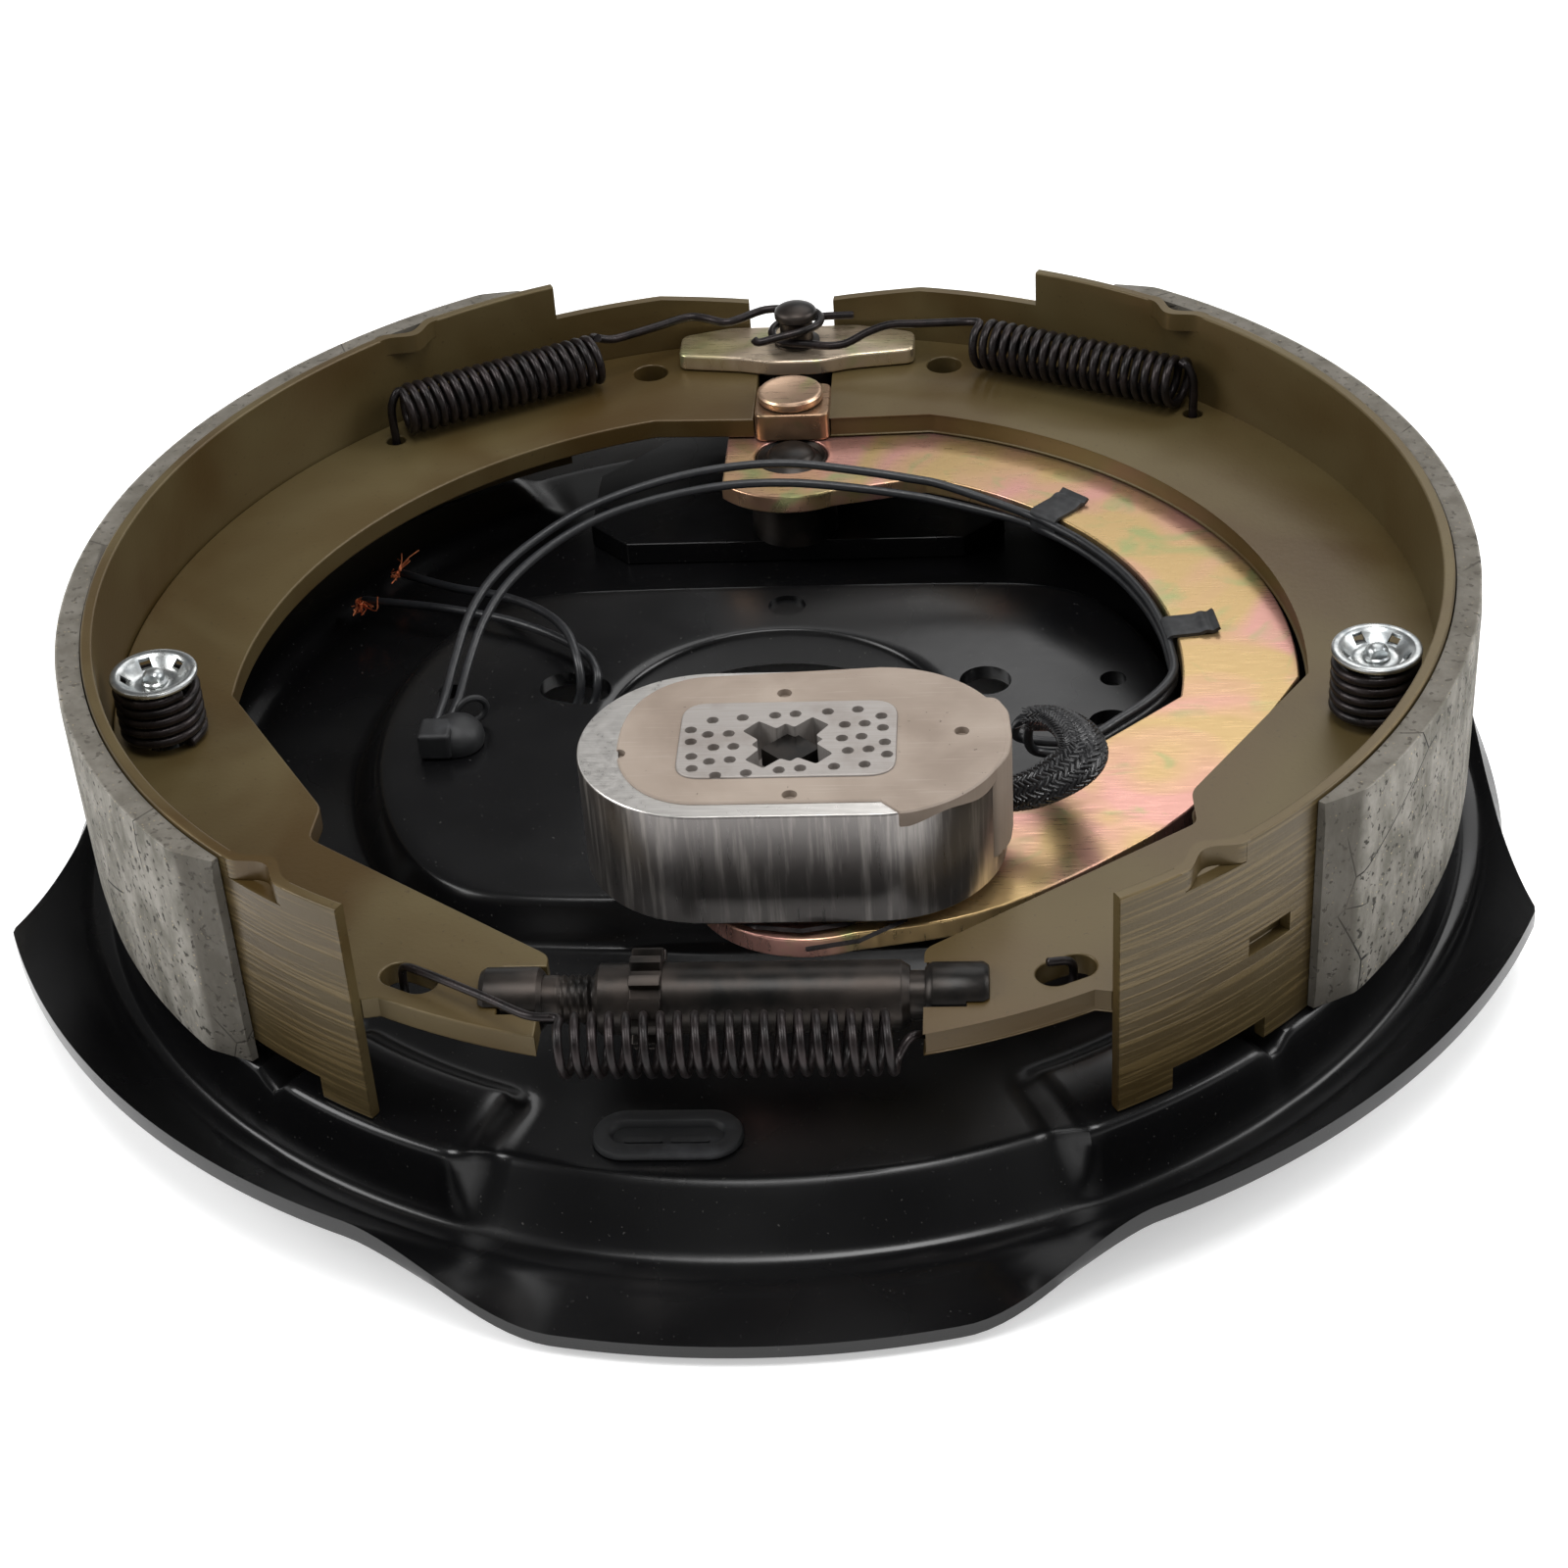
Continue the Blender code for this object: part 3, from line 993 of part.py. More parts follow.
def hold_down(name, side):
    """Pin with a head at each end, black coil on the web, and the cup on the coil."""
    x, y = side * HOLD_DOWN[0], HOLD_DOWN[1]
    low = WEB_Z[1] + GAP + HOLD_WIRE / 2
    pitch = HOLD_WIRE + 0.15 * mm
    high = low + HOLD_TURNS * pitch
    coil_r = (HOLD_COIL_D - HOLD_WIRE) / 2
    coil = coil_path((x, y, low), (x, y, high), coil_r, HOLD_TURNS, 10)
    finish(wire(name + "_spring", coil, HOLD_WIRE, 0), "black_oxide")
    seat = high + HOLD_WIRE / 2 + GAP
    finish(hold_down_cup(name + "_cup", (x, y), seat, coil_r - HOLD_WIRE / 2 - GAP), "bright_zinc")
    head, foot = HOLD_PIN_R + 0.8 * mm, HOLD_PIN_R + 1.2 * mm
    top = seat + HOLD_CUP_T - HOLD_DISH_DEPTH + GAP
    bottom = LEDGE_Z - SHEET - GAP
    pin = [(0, top + HOLD_HEAD_H), (head * 0.5, top + HOLD_HEAD_H * 0.93), (head * 0.86, top + HOLD_HEAD_H * 0.6),
           (head, top + HOLD_HEAD_H * 0.2), (head, top), (HOLD_PIN_R, top),
           (HOLD_PIN_R, bottom), (foot, bottom), (foot, bottom - 1.6 * mm), (0, bottom - 1.6 * mm)]
    finish(turned(name + "_pin", pin, (x, y, 0), 16), "bright_zinc")


# Leads, their sleeve and the block that holds them on the plate

def lead_block():
    """Moulded block over the wire hole, with a stem that snaps into the hole."""
    bottom = PAN_Z + GAP
    block = box("lead_block", BLOCK_X, BLOCK_Y, (bottom, bottom + BLOCK_H))
    stem_at = (-WIRE_HOLE[0], WIRE_HOLE[1] - 0.3 * mm)
    stem_z = (PAN_Z - SHEET - 1.5 * mm, bottom + 1 * mm)
    stem = cylinder("block_stem", WIRE_HOLE_R - 0.7 * mm, stem_at, stem_z, 16)
    join(block, stem)
    return finish(block, "black_rubber")


def leads():
    """Two leads from the magnet's sleeve, along the lever, over the pivot to the block."""
    rows = (ARM_Z[0] + 0.9 * mm, ARM_Z[0] + 3.4 * mm)
    edge_r = ARM_INNER_R - 0.9 * mm - LEAD_D / 2
    arm_ends = [(38.4, 67.4, 40.3), (38.4, 70.2, 43.2)]
    starts = [(58.8, -34.2, 36.2), (54.7, -31.4, 37.7)]
    pivot_routes = [
        [(37.4, 67.5, 40.5), (29.8, 68.6, 41.8), (15.8, 69.9, 43.6), (0.5, 70.2, 45.2),
         (-14.7, 67.4, 46.4), (-30.7, 61.0, 46.8), (-44.0, 53.6, 46.0), (-55.0, 44.9, 43.5),
         (-63.2, 34.7, 40.5), (-68.0, 25.1, 36.5), (-70.8, 15.2, 31.6), (-72.2, 5.0, 28.0),
         (-72.4, -1.9, 27.0)],
        [(37.4, 70.4, 43.7), (29.9, 71.6, 44.7), (15.9, 73.0, 46.7), (0.7, 73.7, 48.5),
         (-14.4, 70.8, 49.4), (-30.3, 64.4, 49.5), (-46.1, 56.0, 47.8), (-58.2, 46.8, 44.5),
         (-66.5, 36.6, 41.5), (-71.4, 26.8, 37.5), (-73.9, 15.8, 32.5), (-75.2, 5.7, 28.8),
         (-75.3, -1.9, 27.0)],
    ]
    for index, letter in enumerate("ab"):
        row = rows[index]
        beside = [(*polar(edge_r, deg), row) for deg in (-2, 4, 10, 18, 27, 36, 44, 50)]
        beside = [(x, y + ARM_CENTRE_Y, z) for x, y, z in beside]
        start = [tuple(v * mm for v in starts[index]), (66.6 * mm, -33.8 * mm, row),
                 (76.4 * mm, -25.2 * mm, row), (84.0 * mm, -16.4 * mm, row)]
        route = start + beside + [tuple(v * mm for v in arm_ends[index])]
        held = wire("arm_lead_" + letter, smooth_path(route, LEAD_POINT_SPACING), LEAD_D)
        finish(held, "black_rubber", arm_axis)
        over = [tuple(v * mm for v in point) for point in pivot_routes[index]]
        finish(wire("plate_lead_" + letter, smooth_path(over, LEAD_POINT_SPACING), LEAD_D), "black_rubber")


def lead_tails():
    """Free ends of the leads: behind the pan, up through the keyhole and out to bare strands."""
    routes = [
        [(-75.6, -4.6, 15.2), (-73.5, -1.0, 13.0), (-64.0, 7.0, 12.6), (-53.0, 13.0, 14.0),
         (-47.2, 15.4, 19.0), (-45.9, 16.6, 24.0), (-46.8, 20.6, 28.4), (-50.0, 29.2, 30.2),
         (-57.4, 39.6, 29.8), (-68.6, 50.4, 27.4), (-82.6, 61.2, 23.6), (-96.5, 72.4, 21.0)],
        [(-73.0, -4.6, 15.2), (-70.0, -2.0, 12.6), (-61.0, 3.5, 12.4), (-50.0, 11.0, 13.4),
         (-43.6, 15.6, 18.6), (-42.2, 17.6, 23.4), (-42.6, 20.2, 25.4), (-45.6, 26.0, 26.2),
         (-53.2, 33.2, 26.3), (-63.0, 39.6, 26.4), (-72.0, 43.6, 26.4), (-86.0, 51.4, 24.2),
         (-104.3, 60.3, 21.0)],
    ]
    strands = [[(-96.9, 72.8, 20.9), (-99.6, 76.2, 20.4), (-101.2, 79.4, 20.2)],
               [(-104.8, 60.5, 20.9), (-106.8, 60.6, 20.6), (-108.2, 57.4, 20.4), (-107.8, 51.0, 19.8)]]
    for index, letter in enumerate("ab"):
        route = [tuple(v * mm for v in point) for point in routes[index]]
        finish(wire("tail_lead_" + letter, smooth_path(route, LEAD_POINT_SPACING), LEAD_D), "black_rubber")
        bare = [tuple(v * mm for v in point) for point in strands[index]]
        finish(wire("tail_strands_" + letter, smooth_path(bare, LEAD_D), STRAND_D), "copper")


def braided_sleeve():
    """Sleeve over both leads, from the resin's lip in an arch down beside the lever."""
    route = [(54.6, -67.2, 50.0), (57.2, -67.9, 50.6), (61.4, -69.9, 53.2), (66.0, -68.6, 55.9),
             (68.3, -60.0, 57.3), (65.8, -50.7, 56.5), (62.0, -42.9, 53.5), (58.8, -37.5, 49.5),
             (57.0, -34.8, 45.6), (56.8, -33.8, 42.6)]
    points = smooth_path([tuple(v * mm for v in point) for point in route], SLEEVE_D * 0.7)
    return finish(wire("braided_sleeve", points, SLEEVE_D), "braid", magnet_axis)


backing_plate()
slot_plug()
anchor_reinforcement()
anchor_pin()
guide_plate()
pivot_stud()
shoe("right", 1, RIGHT_HORN_DEG, RIGHT_LINING_DEG, RIGHT_COIL, right_shoe_axis)
shoe("left", -1, LEFT_HORN_DEG, LEFT_LINING_DEG, LEFT_COIL, left_shoe_axis)
lever_arm()
cam_block()
cam_rivet()
for clip_name, clip_deg in zip(("upper_clip", "lower_clip"), CLIP_DEG):
    wire_clip(clip_name, clip_deg)
magnet_stud()
magnet_shell()
magnet_resin()
magnet_core()
magnet_spring()
finish(fork("adjuster_screw", -1), "black_oxide", screw_axis)
finish(fork("adjuster_end_cap", 1), "black_oxide")
star_sleeve()
return_spring("right_return_spring", RIGHT_COIL, LOOP_Z, 1, right_shoe_axis)
return_spring("left_return_spring", LEFT_COIL, LOOP_Z + RETURN_WIRE + GAP, -1, left_shoe_axis)
tension_spring()
hold_down("right_hold_down", 1)
hold_down("left_hold_down", -1)
lead_block()
leads()
lead_tails()
braided_sleeve()
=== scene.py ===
"""Looks of an electric trailer brake: its finishes, wires and fine forms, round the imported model."""
import math

import bmesh
import bpy
import numpy as np
from mathutils import Matrix, Vector


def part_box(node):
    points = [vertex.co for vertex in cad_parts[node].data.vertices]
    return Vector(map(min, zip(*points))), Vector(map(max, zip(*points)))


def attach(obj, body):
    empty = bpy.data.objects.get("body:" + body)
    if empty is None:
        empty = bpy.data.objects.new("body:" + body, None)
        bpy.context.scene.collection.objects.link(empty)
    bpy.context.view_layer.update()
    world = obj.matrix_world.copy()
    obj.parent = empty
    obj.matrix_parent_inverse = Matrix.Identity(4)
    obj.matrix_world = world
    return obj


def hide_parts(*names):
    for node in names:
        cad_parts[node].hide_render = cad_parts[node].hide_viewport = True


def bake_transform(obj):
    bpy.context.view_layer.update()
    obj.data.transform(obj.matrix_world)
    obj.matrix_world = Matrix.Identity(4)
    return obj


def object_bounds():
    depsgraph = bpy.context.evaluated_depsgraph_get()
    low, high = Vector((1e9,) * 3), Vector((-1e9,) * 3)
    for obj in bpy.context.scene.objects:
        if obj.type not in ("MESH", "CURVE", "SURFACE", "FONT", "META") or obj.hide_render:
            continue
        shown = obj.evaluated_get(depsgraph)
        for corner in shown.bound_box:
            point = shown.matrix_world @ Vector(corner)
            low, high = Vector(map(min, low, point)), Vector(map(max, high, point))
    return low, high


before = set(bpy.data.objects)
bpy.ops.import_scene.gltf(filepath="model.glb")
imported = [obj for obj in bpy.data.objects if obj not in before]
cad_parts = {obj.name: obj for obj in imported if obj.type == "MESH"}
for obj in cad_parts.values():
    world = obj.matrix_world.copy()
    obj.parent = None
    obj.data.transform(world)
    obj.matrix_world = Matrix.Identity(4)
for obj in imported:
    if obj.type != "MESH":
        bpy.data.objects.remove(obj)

cad_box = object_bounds()
mm = 0.001


# The studio: a white table top with the brake lying on it and four soft boxes, to its left and
# right, above it and behind it. The walls are white near the table and the ceiling is dark, so
# gloss paint stays black where it faces up and shows soft light along its bends.

def linear(colour):
    """sRGB hex to linear: each channel c becomes ((c + 0.055) / 1.055) ** 2.4, or c / 12.92 near black."""
    c = np.array([int(colour[k:k + 2], 16) for k in (1, 3, 5)]) / 255
    lit = np.where(c <= 0.04045, c / 12.92, ((c + 0.055) / 1.055) ** 2.4)
    return (*lit.tolist(), 1.0)


def add(tree, kind, inputs=None, **settings):
    """Add a shader node with its settings; each input is a value or another node's output."""
    made = tree.nodes.new("ShaderNode" + kind)
    for key, value in settings.items():
        setattr(made, key, value)
    for key, value in (inputs or {}).items():
        if isinstance(value, bpy.types.NodeSocket):
            tree.links.new(value, made.inputs[key])
        else:
            made.inputs[key].default_value = value
    return made


camera_data = bpy.data.cameras.new("camera")
camera_data.lens = 68.83
camera_data.sensor_width = 36.0
camera = bpy.data.objects.new("camera", camera_data)
bpy.context.scene.collection.objects.link(camera)
camera_right, camera_up = (0.99705, 0.05108, -0.05726), (0.01744, 0.57581, 0.81740)
camera_back, camera_at = (0.07473, -0.81599, 0.57322), (0.05193, -0.55768, 0.3981)
camera.matrix_world = Matrix((camera_right, camera_up, camera_back)).transposed().to_4x4()
camera.matrix_world.translation = camera_at
bpy.context.scene.camera = camera
bpy.context.scene.view_settings.view_transform = "Standard"

AMBIENT = 0.42
CEILING_IN_GLOSS = 0.10
world = bpy.data.worlds.new("studio")
bpy.context.scene.world = world
world.use_nodes = True
sky = world.node_tree
sky.nodes.clear()
path_kind = add(sky, "LightPath").outputs
direction = add(sky, "TexCoord").outputs["Generated"]
height = add(sky, "SeparateXYZ", {0: direction}).outputs["Z"]
gloss = add(sky, "MapRange", {"Value": height, "From Min": 0.12, "From Max": 0.42,
                              "To Min": 1.0, "To Max": CEILING_IN_GLOSS}).outputs[0]
seen = add(sky, "Math", {0: path_kind["Is Camera Ray"], 1: path_kind["Is Transmission Ray"]},
           operation="MAXIMUM").outputs[0]
open_light = add(sky, "Mix", {0: seen, 2: AMBIENT, 3: 1.0}, data_type="FLOAT").outputs[0]
strength = add(sky, "Mix", {0: path_kind["Is Glossy Ray"], 2: open_light, 3: gloss}, data_type="FLOAT").outputs[0]
backdrop = add(sky, "Background", {"Color": linear("#ffffff"), "Strength": strength})
add(sky, "OutputWorld", {"Surface": backdrop.outputs[0]})


def soft_box(name, place, size, watts):
    """A square lamp that faces the middle of the brake."""
    lamp = bpy.data.lights.new(name, "AREA")
    lamp.size = size
    lamp.energy = watts
    obj = bpy.data.objects.new(name, lamp)
    bpy.context.scene.collection.objects.link(obj)
    aim = Vector(place) - Vector((0.0, 0.0, 0.03))
    obj.matrix_world = Matrix.Translation(place) @ aim.to_track_quat("Z", "Y").to_matrix().to_4x4()


soft_box("left_box", (-1.25, -0.25, 0.95), 0.8, 13.0)
soft_box("right_box", (1.3, 0.1, 0.9), 0.8, 11.0)
soft_box("top_box", (0.1, -0.35, 1.5), 0.7, 13.0)
soft_box("back_box", (0.28, 0.85, 1.05), 0.85, 5.0)


def material(name, colour, roughness, metallic=0.0):
    """A new material, and the tree, shader and object coordinates that its pattern starts from."""
    made = bpy.data.materials.new(name)
    made.use_nodes = True
    tree = made.node_tree
    shader = tree.nodes["Principled BSDF"]
    shader.inputs["Base Color"].default_value = linear(colour)
    shader.inputs["Roughness"].default_value = roughness
    shader.inputs["Metallic"].default_value = metallic
    return made, tree, shader, add(tree, "TexCoord").outputs["Object"]


def per(size):
    """The scale that gives a pattern features of that size in millimetres."""
    return 1000.0 / size


SHARP_DEG = 35.0
MERGE_WITHIN = 2e-6


def settle(mesh, sharp=SHARP_DEG):
    """Merge points that coincide, turn all faces outwards and shade smooth all but sharp edges."""
    body = bmesh.new()
    body.from_mesh(mesh)
    bmesh.ops.remove_doubles(body, verts=body.verts, dist=MERGE_WITHIN)
    bmesh.ops.recalc_face_normals(body, faces=body.faces)
    body.to_mesh(mesh)
    body.free()
    mesh.shade_smooth()
    mesh.set_sharp_from_angle(angle=math.radians(sharp))
    return mesh


def skin(grid, wrap_rows=False, wrap_columns=True, caps=()):
    """A mesh over a grid of points: each point joins the next in its row and its column, and a capped row
    is filled with one flat face."""
    rows, columns = grid.shape[:2]
    i, j = np.meshgrid(np.arange(rows if wrap_rows else rows - 1),
                       np.arange(columns if wrap_columns else columns - 1), indexing="ij")
    down, across = (i + 1) % rows, (j + 1) % columns
    quads = np.stack([i * columns + j, i * columns + across, down * columns + across, down * columns + j], -1)
    faces = quads.reshape(-1, 4).tolist()
    faces += [[(row % rows) * columns + k for k in range(columns)] for row in caps]
    mesh = bpy.data.meshes.new("skin")
    mesh.from_pydata(grid.reshape(-1, 3).tolist(), [], faces)
    return settle(mesh)


def piece(name, looks, *meshes):
    """One object out of closed meshes, with its material."""
    joined = bmesh.new()
    for mesh in meshes:
        joined.from_mesh(mesh)
    whole = bpy.data.meshes.new(name)
    joined.to_mesh(whole)
    joined.free()
    whole.materials.append(looks)
    whole.shade_smooth()
    whole.set_sharp_from_angle(angle=math.radians(SHARP_DEG))
    obj = bpy.data.objects.new(name, whole)
    bpy.context.scene.collection.objects.link(obj)
    return obj


# Matt white laminate: the lamps alone leave it pale grey, so what the camera and gloss see is lifted to
# white, from a ring just inside the plate's rim outwards.
FLOOR_HALF, FLOOR_POINTS = 4.0, 9
FLOOR_DROP = 0.3 * mm
LIFT_FROM, LIFT_TO, LIFT = 0.13, 0.15, 0.42
floor_looks, floor_tree, floor_shader, floor_place = material("matt_white_table_top", "#e6e6e6", 0.9)
floor_rays = add(floor_tree, "LightPath").outputs
floor_seen = add(floor_tree, "Math", {0: floor_rays["Is Camera Ray"], 1: floor_rays["Is Glossy Ray"]},
                 operation="MAXIMUM").outputs[0]
floor_seen = add(floor_tree, "Math", {0: floor_seen, 1: floor_rays["Is Transmission Ray"]},
                 operation="MAXIMUM").outputs[0]
floor_flat = add(floor_tree, "VectorMath", {0: floor_place, 1: (1.0, 1.0, 0.0)}, operation="MULTIPLY").outputs[0]
floor_from = add(floor_tree, "VectorMath", {0: floor_flat}, operation="LENGTH").outputs[1]
floor_open = add(floor_tree, "MapRange", {"Value": floor_from, "From Min": LIFT_FROM, "From Max": LIFT_TO,
                                          "To Max": LIFT}).outputs[0]
floor_lift = add(floor_tree, "Math", {0: floor_seen, 1: floor_open}, operation="MULTIPLY").outputs[0]
floor_grain = add(floor_tree, "TexNoise", {"Vector": floor_place, "Scale": per(0.8)}).outputs[0]
floor_bump = add(floor_tree, "Bump", {"Height": floor_grain, "Distance": 0.02 * mm, "Strength": 0.3})
floor_tree.links.new(floor_bump.outputs[0], floor_shader.inputs["Normal"])
floor_tree.links.new(floor_lift, floor_shader.inputs["Emission Strength"])
floor_shader.inputs["Emission Color"].default_value = linear("#ffffff")
floor_steps = np.linspace(-FLOOR_HALF, FLOOR_HALF, FLOOR_POINTS)
floor_x, floor_y = np.meshgrid(floor_steps, floor_steps)
floor_z = np.full_like(floor_x, cad_box[0][2] - FLOOR_DROP)
floor = piece("table_top", floor_looks, skin(np.stack([floor_x, floor_y, floor_z], -1), wrap_columns=False))


# The backing plate: one round of 3.4 mm sheet, pressed in one stroke into a raised pan, a floor,
# a ledge for the shoes, a groove and an upturned rim, then pierced and stoved in gloss black.

PLATE_SHEET = 3.4 * mm
PAN_TOP, FLOOR_TOP, LEDGE_TOP = 23.5 * mm, 14.5 * mm, 18.4 * mm
CENTRE_HOLE = 38.0 * mm
PAN_SIDE, PAN_FAR, PAN_NEAR = 89.5 * mm, 59.0 * mm, 65.0 * mm
LEDGE_INNER, LEDGE_OUTER = 128.0 * mm, 147.0 * mm
GROOVE_INNER, GROOVE_OUTER = 151.3 * mm, 156.0 * mm
RIM_OUTER, RIM_TOP, RIM_LOW_OUTER, RIM_LOW_TOP = 172.0 * mm, 19.0 * mm, 174.6 * mm, 4.8 * mm
SIDE_FLAT = 158.5 * mm
STUD_CIRCLE = 49.5 * mm
ANCHOR_Y, PIVOT_Y = 133.0 * mm, 91.5 * mm
WIRE_HOLE = (75.0 * mm, -3.0 * mm)
HOLD_X, HOLD_Y = 127.5 * mm, -35.3 * mm
SLOT_AT, SLOT_SIZE = (-14.3 * mm, -129.0 * mm), (26.0 * mm, 10.0 * mm)
BORE_FLANGE = 9.0 * mm
PAN_CORNER = 14.0
ANCHOR_DIP, ADJUSTER_DIP = (58.0, 62.0, 118.0, 122.0), (-112.0, -109.0, -66.0, -63.0)
LOW_RIM = (-115.0, -101.0, -76.0, -63.0)
PINCHES, PINCH_HALF = (-129.5, -46.0), 1.8
DIP_SLOPE = 7 * mm


def ease(value, low, high):
    """Smoothly from 0 to 1 between low and high: t * t * (3 - 2 * t)."""
    t = np.clip((value - low) / (high - low), 0, 1)
    return t * t * (3 - 2 * t)


def between(value, edges):
    """1 between the inner two of four rising values, easing to 0 at the outer two."""
    return ease(value, edges[0], edges[1]) * (1 - ease(value, edges[2], edges[3]))


def ring(centre, radius, count=48, start=0.0, end=360.0):
    """Points round a circle, or along an arc where both ends are given."""
    angle = np.radians(np.linspace(start, end, count, endpoint=end - start != 360.0))
    return np.stack([centre[0] + radius * np.cos(angle), centre[1] + radius * np.sin(angle)], -1)


def slot_outline(centre, length, width, along=0.0, count=20):
    """A slot with round ends: two half circles on the ends of a line that runs along that angle."""
    reach = (length - width) / 2 * np.array([math.cos(math.radians(along)), math.sin(math.radians(along))])
    first = ring(np.array(centre) + reach, width / 2, count, along - 90, along + 90)
    return np.concatenate([first, ring(np.array(centre) - reach, width / 2, count, along + 90, along + 270)])


def prism(outline, low, high):
    """An outline carried straight up from one height to another and closed with flat ends."""
    outline = np.asarray(outline)
    level = np.ones((len(outline), 1))
    rows = [np.hstack([outline, low * level]), np.hstack([outline, high * level])]
    return skin(np.stack(rows), caps=(0, 1))


def stack(outlines, heights, caps=(0, -1), wrap_rows=False):
    """A closed surface through outlines of equal count, each at its own height."""
    rows = [np.hstack([line, np.broadcast_to(np.reshape(height, (-1, 1)), (len(line), 1))])
            for line, height in zip(outlines, heights)]
    return skin(np.array(rows), caps=caps, wrap_rows=wrap_rows)


def carve(obj, *tools, operation="DIFFERENCE"):
    """Cut tools from a piece, or join them on, and keep the result as the piece's mesh."""
    cutter = piece(obj.name + "_cutter", obj.data.materials[0], *tools)
    change = obj.modifiers.new("carve", "BOOLEAN")
    change.operation = operation
    change.solver = "EXACT"
    change.use_self = operation == "UNION"
    change.object = cutter
    bpy.context.view_layer.update()
    shaped = bpy.data.meshes.new_from_object(obj.evaluated_get(bpy.context.evaluated_depsgraph_get()))
    obj.modifiers.clear()
    obj.data = shaped
    bpy.data.objects.remove(cutter, do_unlink=True)
    shaped.shade_smooth()
    shaped.set_sharp_from_angle(angle=math.radians(SHARP_DEG))
    return obj


def plate_rings(deg):
    """Radius and height of the press's bend lines, at each angle: the pan is a circle cut by two chords,
    (circle ** -n + chord ** -n) ** (-1 / n), and the ledge drops to the floor at the anchor, at the
    adjuster and at two narrow pinches. The rim is cut straight at both sides and low at the adjuster."""
    s = np.sin(np.radians(deg))
    chord = np.where(s > 0, PAN_FAR, PAN_NEAR) / np.maximum(np.abs(s), 0.001)
    pan = (PAN_SIDE ** -PAN_CORNER + chord ** -PAN_CORNER) ** (-1 / PAN_CORNER)
    pinch = sum(1 - ease(np.abs(deg - at), 0, PINCH_HALF) for at in PINCHES)
    at_adjuster = between(deg, ADJUSTER_DIP)
    dropped = np.maximum.reduce([between(deg, ANCHOR_DIP), at_adjuster, pinch])
    shelf = LEDGE_TOP - (LEDGE_TOP - FLOOR_TOP) * dropped
    fall = DIP_SLOPE * at_adjuster
    low = between(deg, LOW_RIM)
    rim = np.minimum(RIM_OUTER + (RIM_LOW_OUTER - RIM_OUTER) * low,
                     SIDE_FLAT / np.maximum(np.abs(np.cos(np.radians(deg))), 0.001))
    top = RIM_TOP + (RIM_LOW_TOP - RIM_TOP) * low
    slope = (rim - GROOVE_OUTER) / (RIM_OUTER - GROOVE_OUTER)
    edge = PLATE_SHEET + (top - PLATE_SHEET) * np.clip(slope, 0, 1)
    flat = np.ones_like(deg)
    lines = [(CENTRE_HOLE * flat, (PAN_TOP - BORE_FLANGE) * flat), (CENTRE_HOLE + 0.6 * mm * flat, PAN_TOP * flat),
             (pan, PAN_TOP * flat), (pan + 6.0 * mm, FLOOR_TOP * flat),
             ((LEDGE_INNER - 5.0 * mm) * flat, FLOOR_TOP * flat), (LEDGE_INNER * flat, shelf),
             (LEDGE_OUTER + 1.0 * mm - fall, shelf), (GROOVE_INNER * flat, PLATE_SHEET * flat),
             (GROOVE_OUTER * flat, PLATE_SHEET * flat), (rim, edge)]
    return np.array([line[0] for line in lines]), np.array([line[1] for line in lines])


UNDER_BENDS = 9
THINNED, THIN_FROM, THIN_TO = 0.6 * mm, 150 * mm, 158 * mm
UNDER_STEP, UNDER_PROUD, UNDER_REACH = 4e-6, 0.1 * mm, 160.6 * mm
CREASE, CREASE_FROM_GROOVE, CREASE_HALF = 0.55 * mm, 2.6 * mm, 0.8 * mm


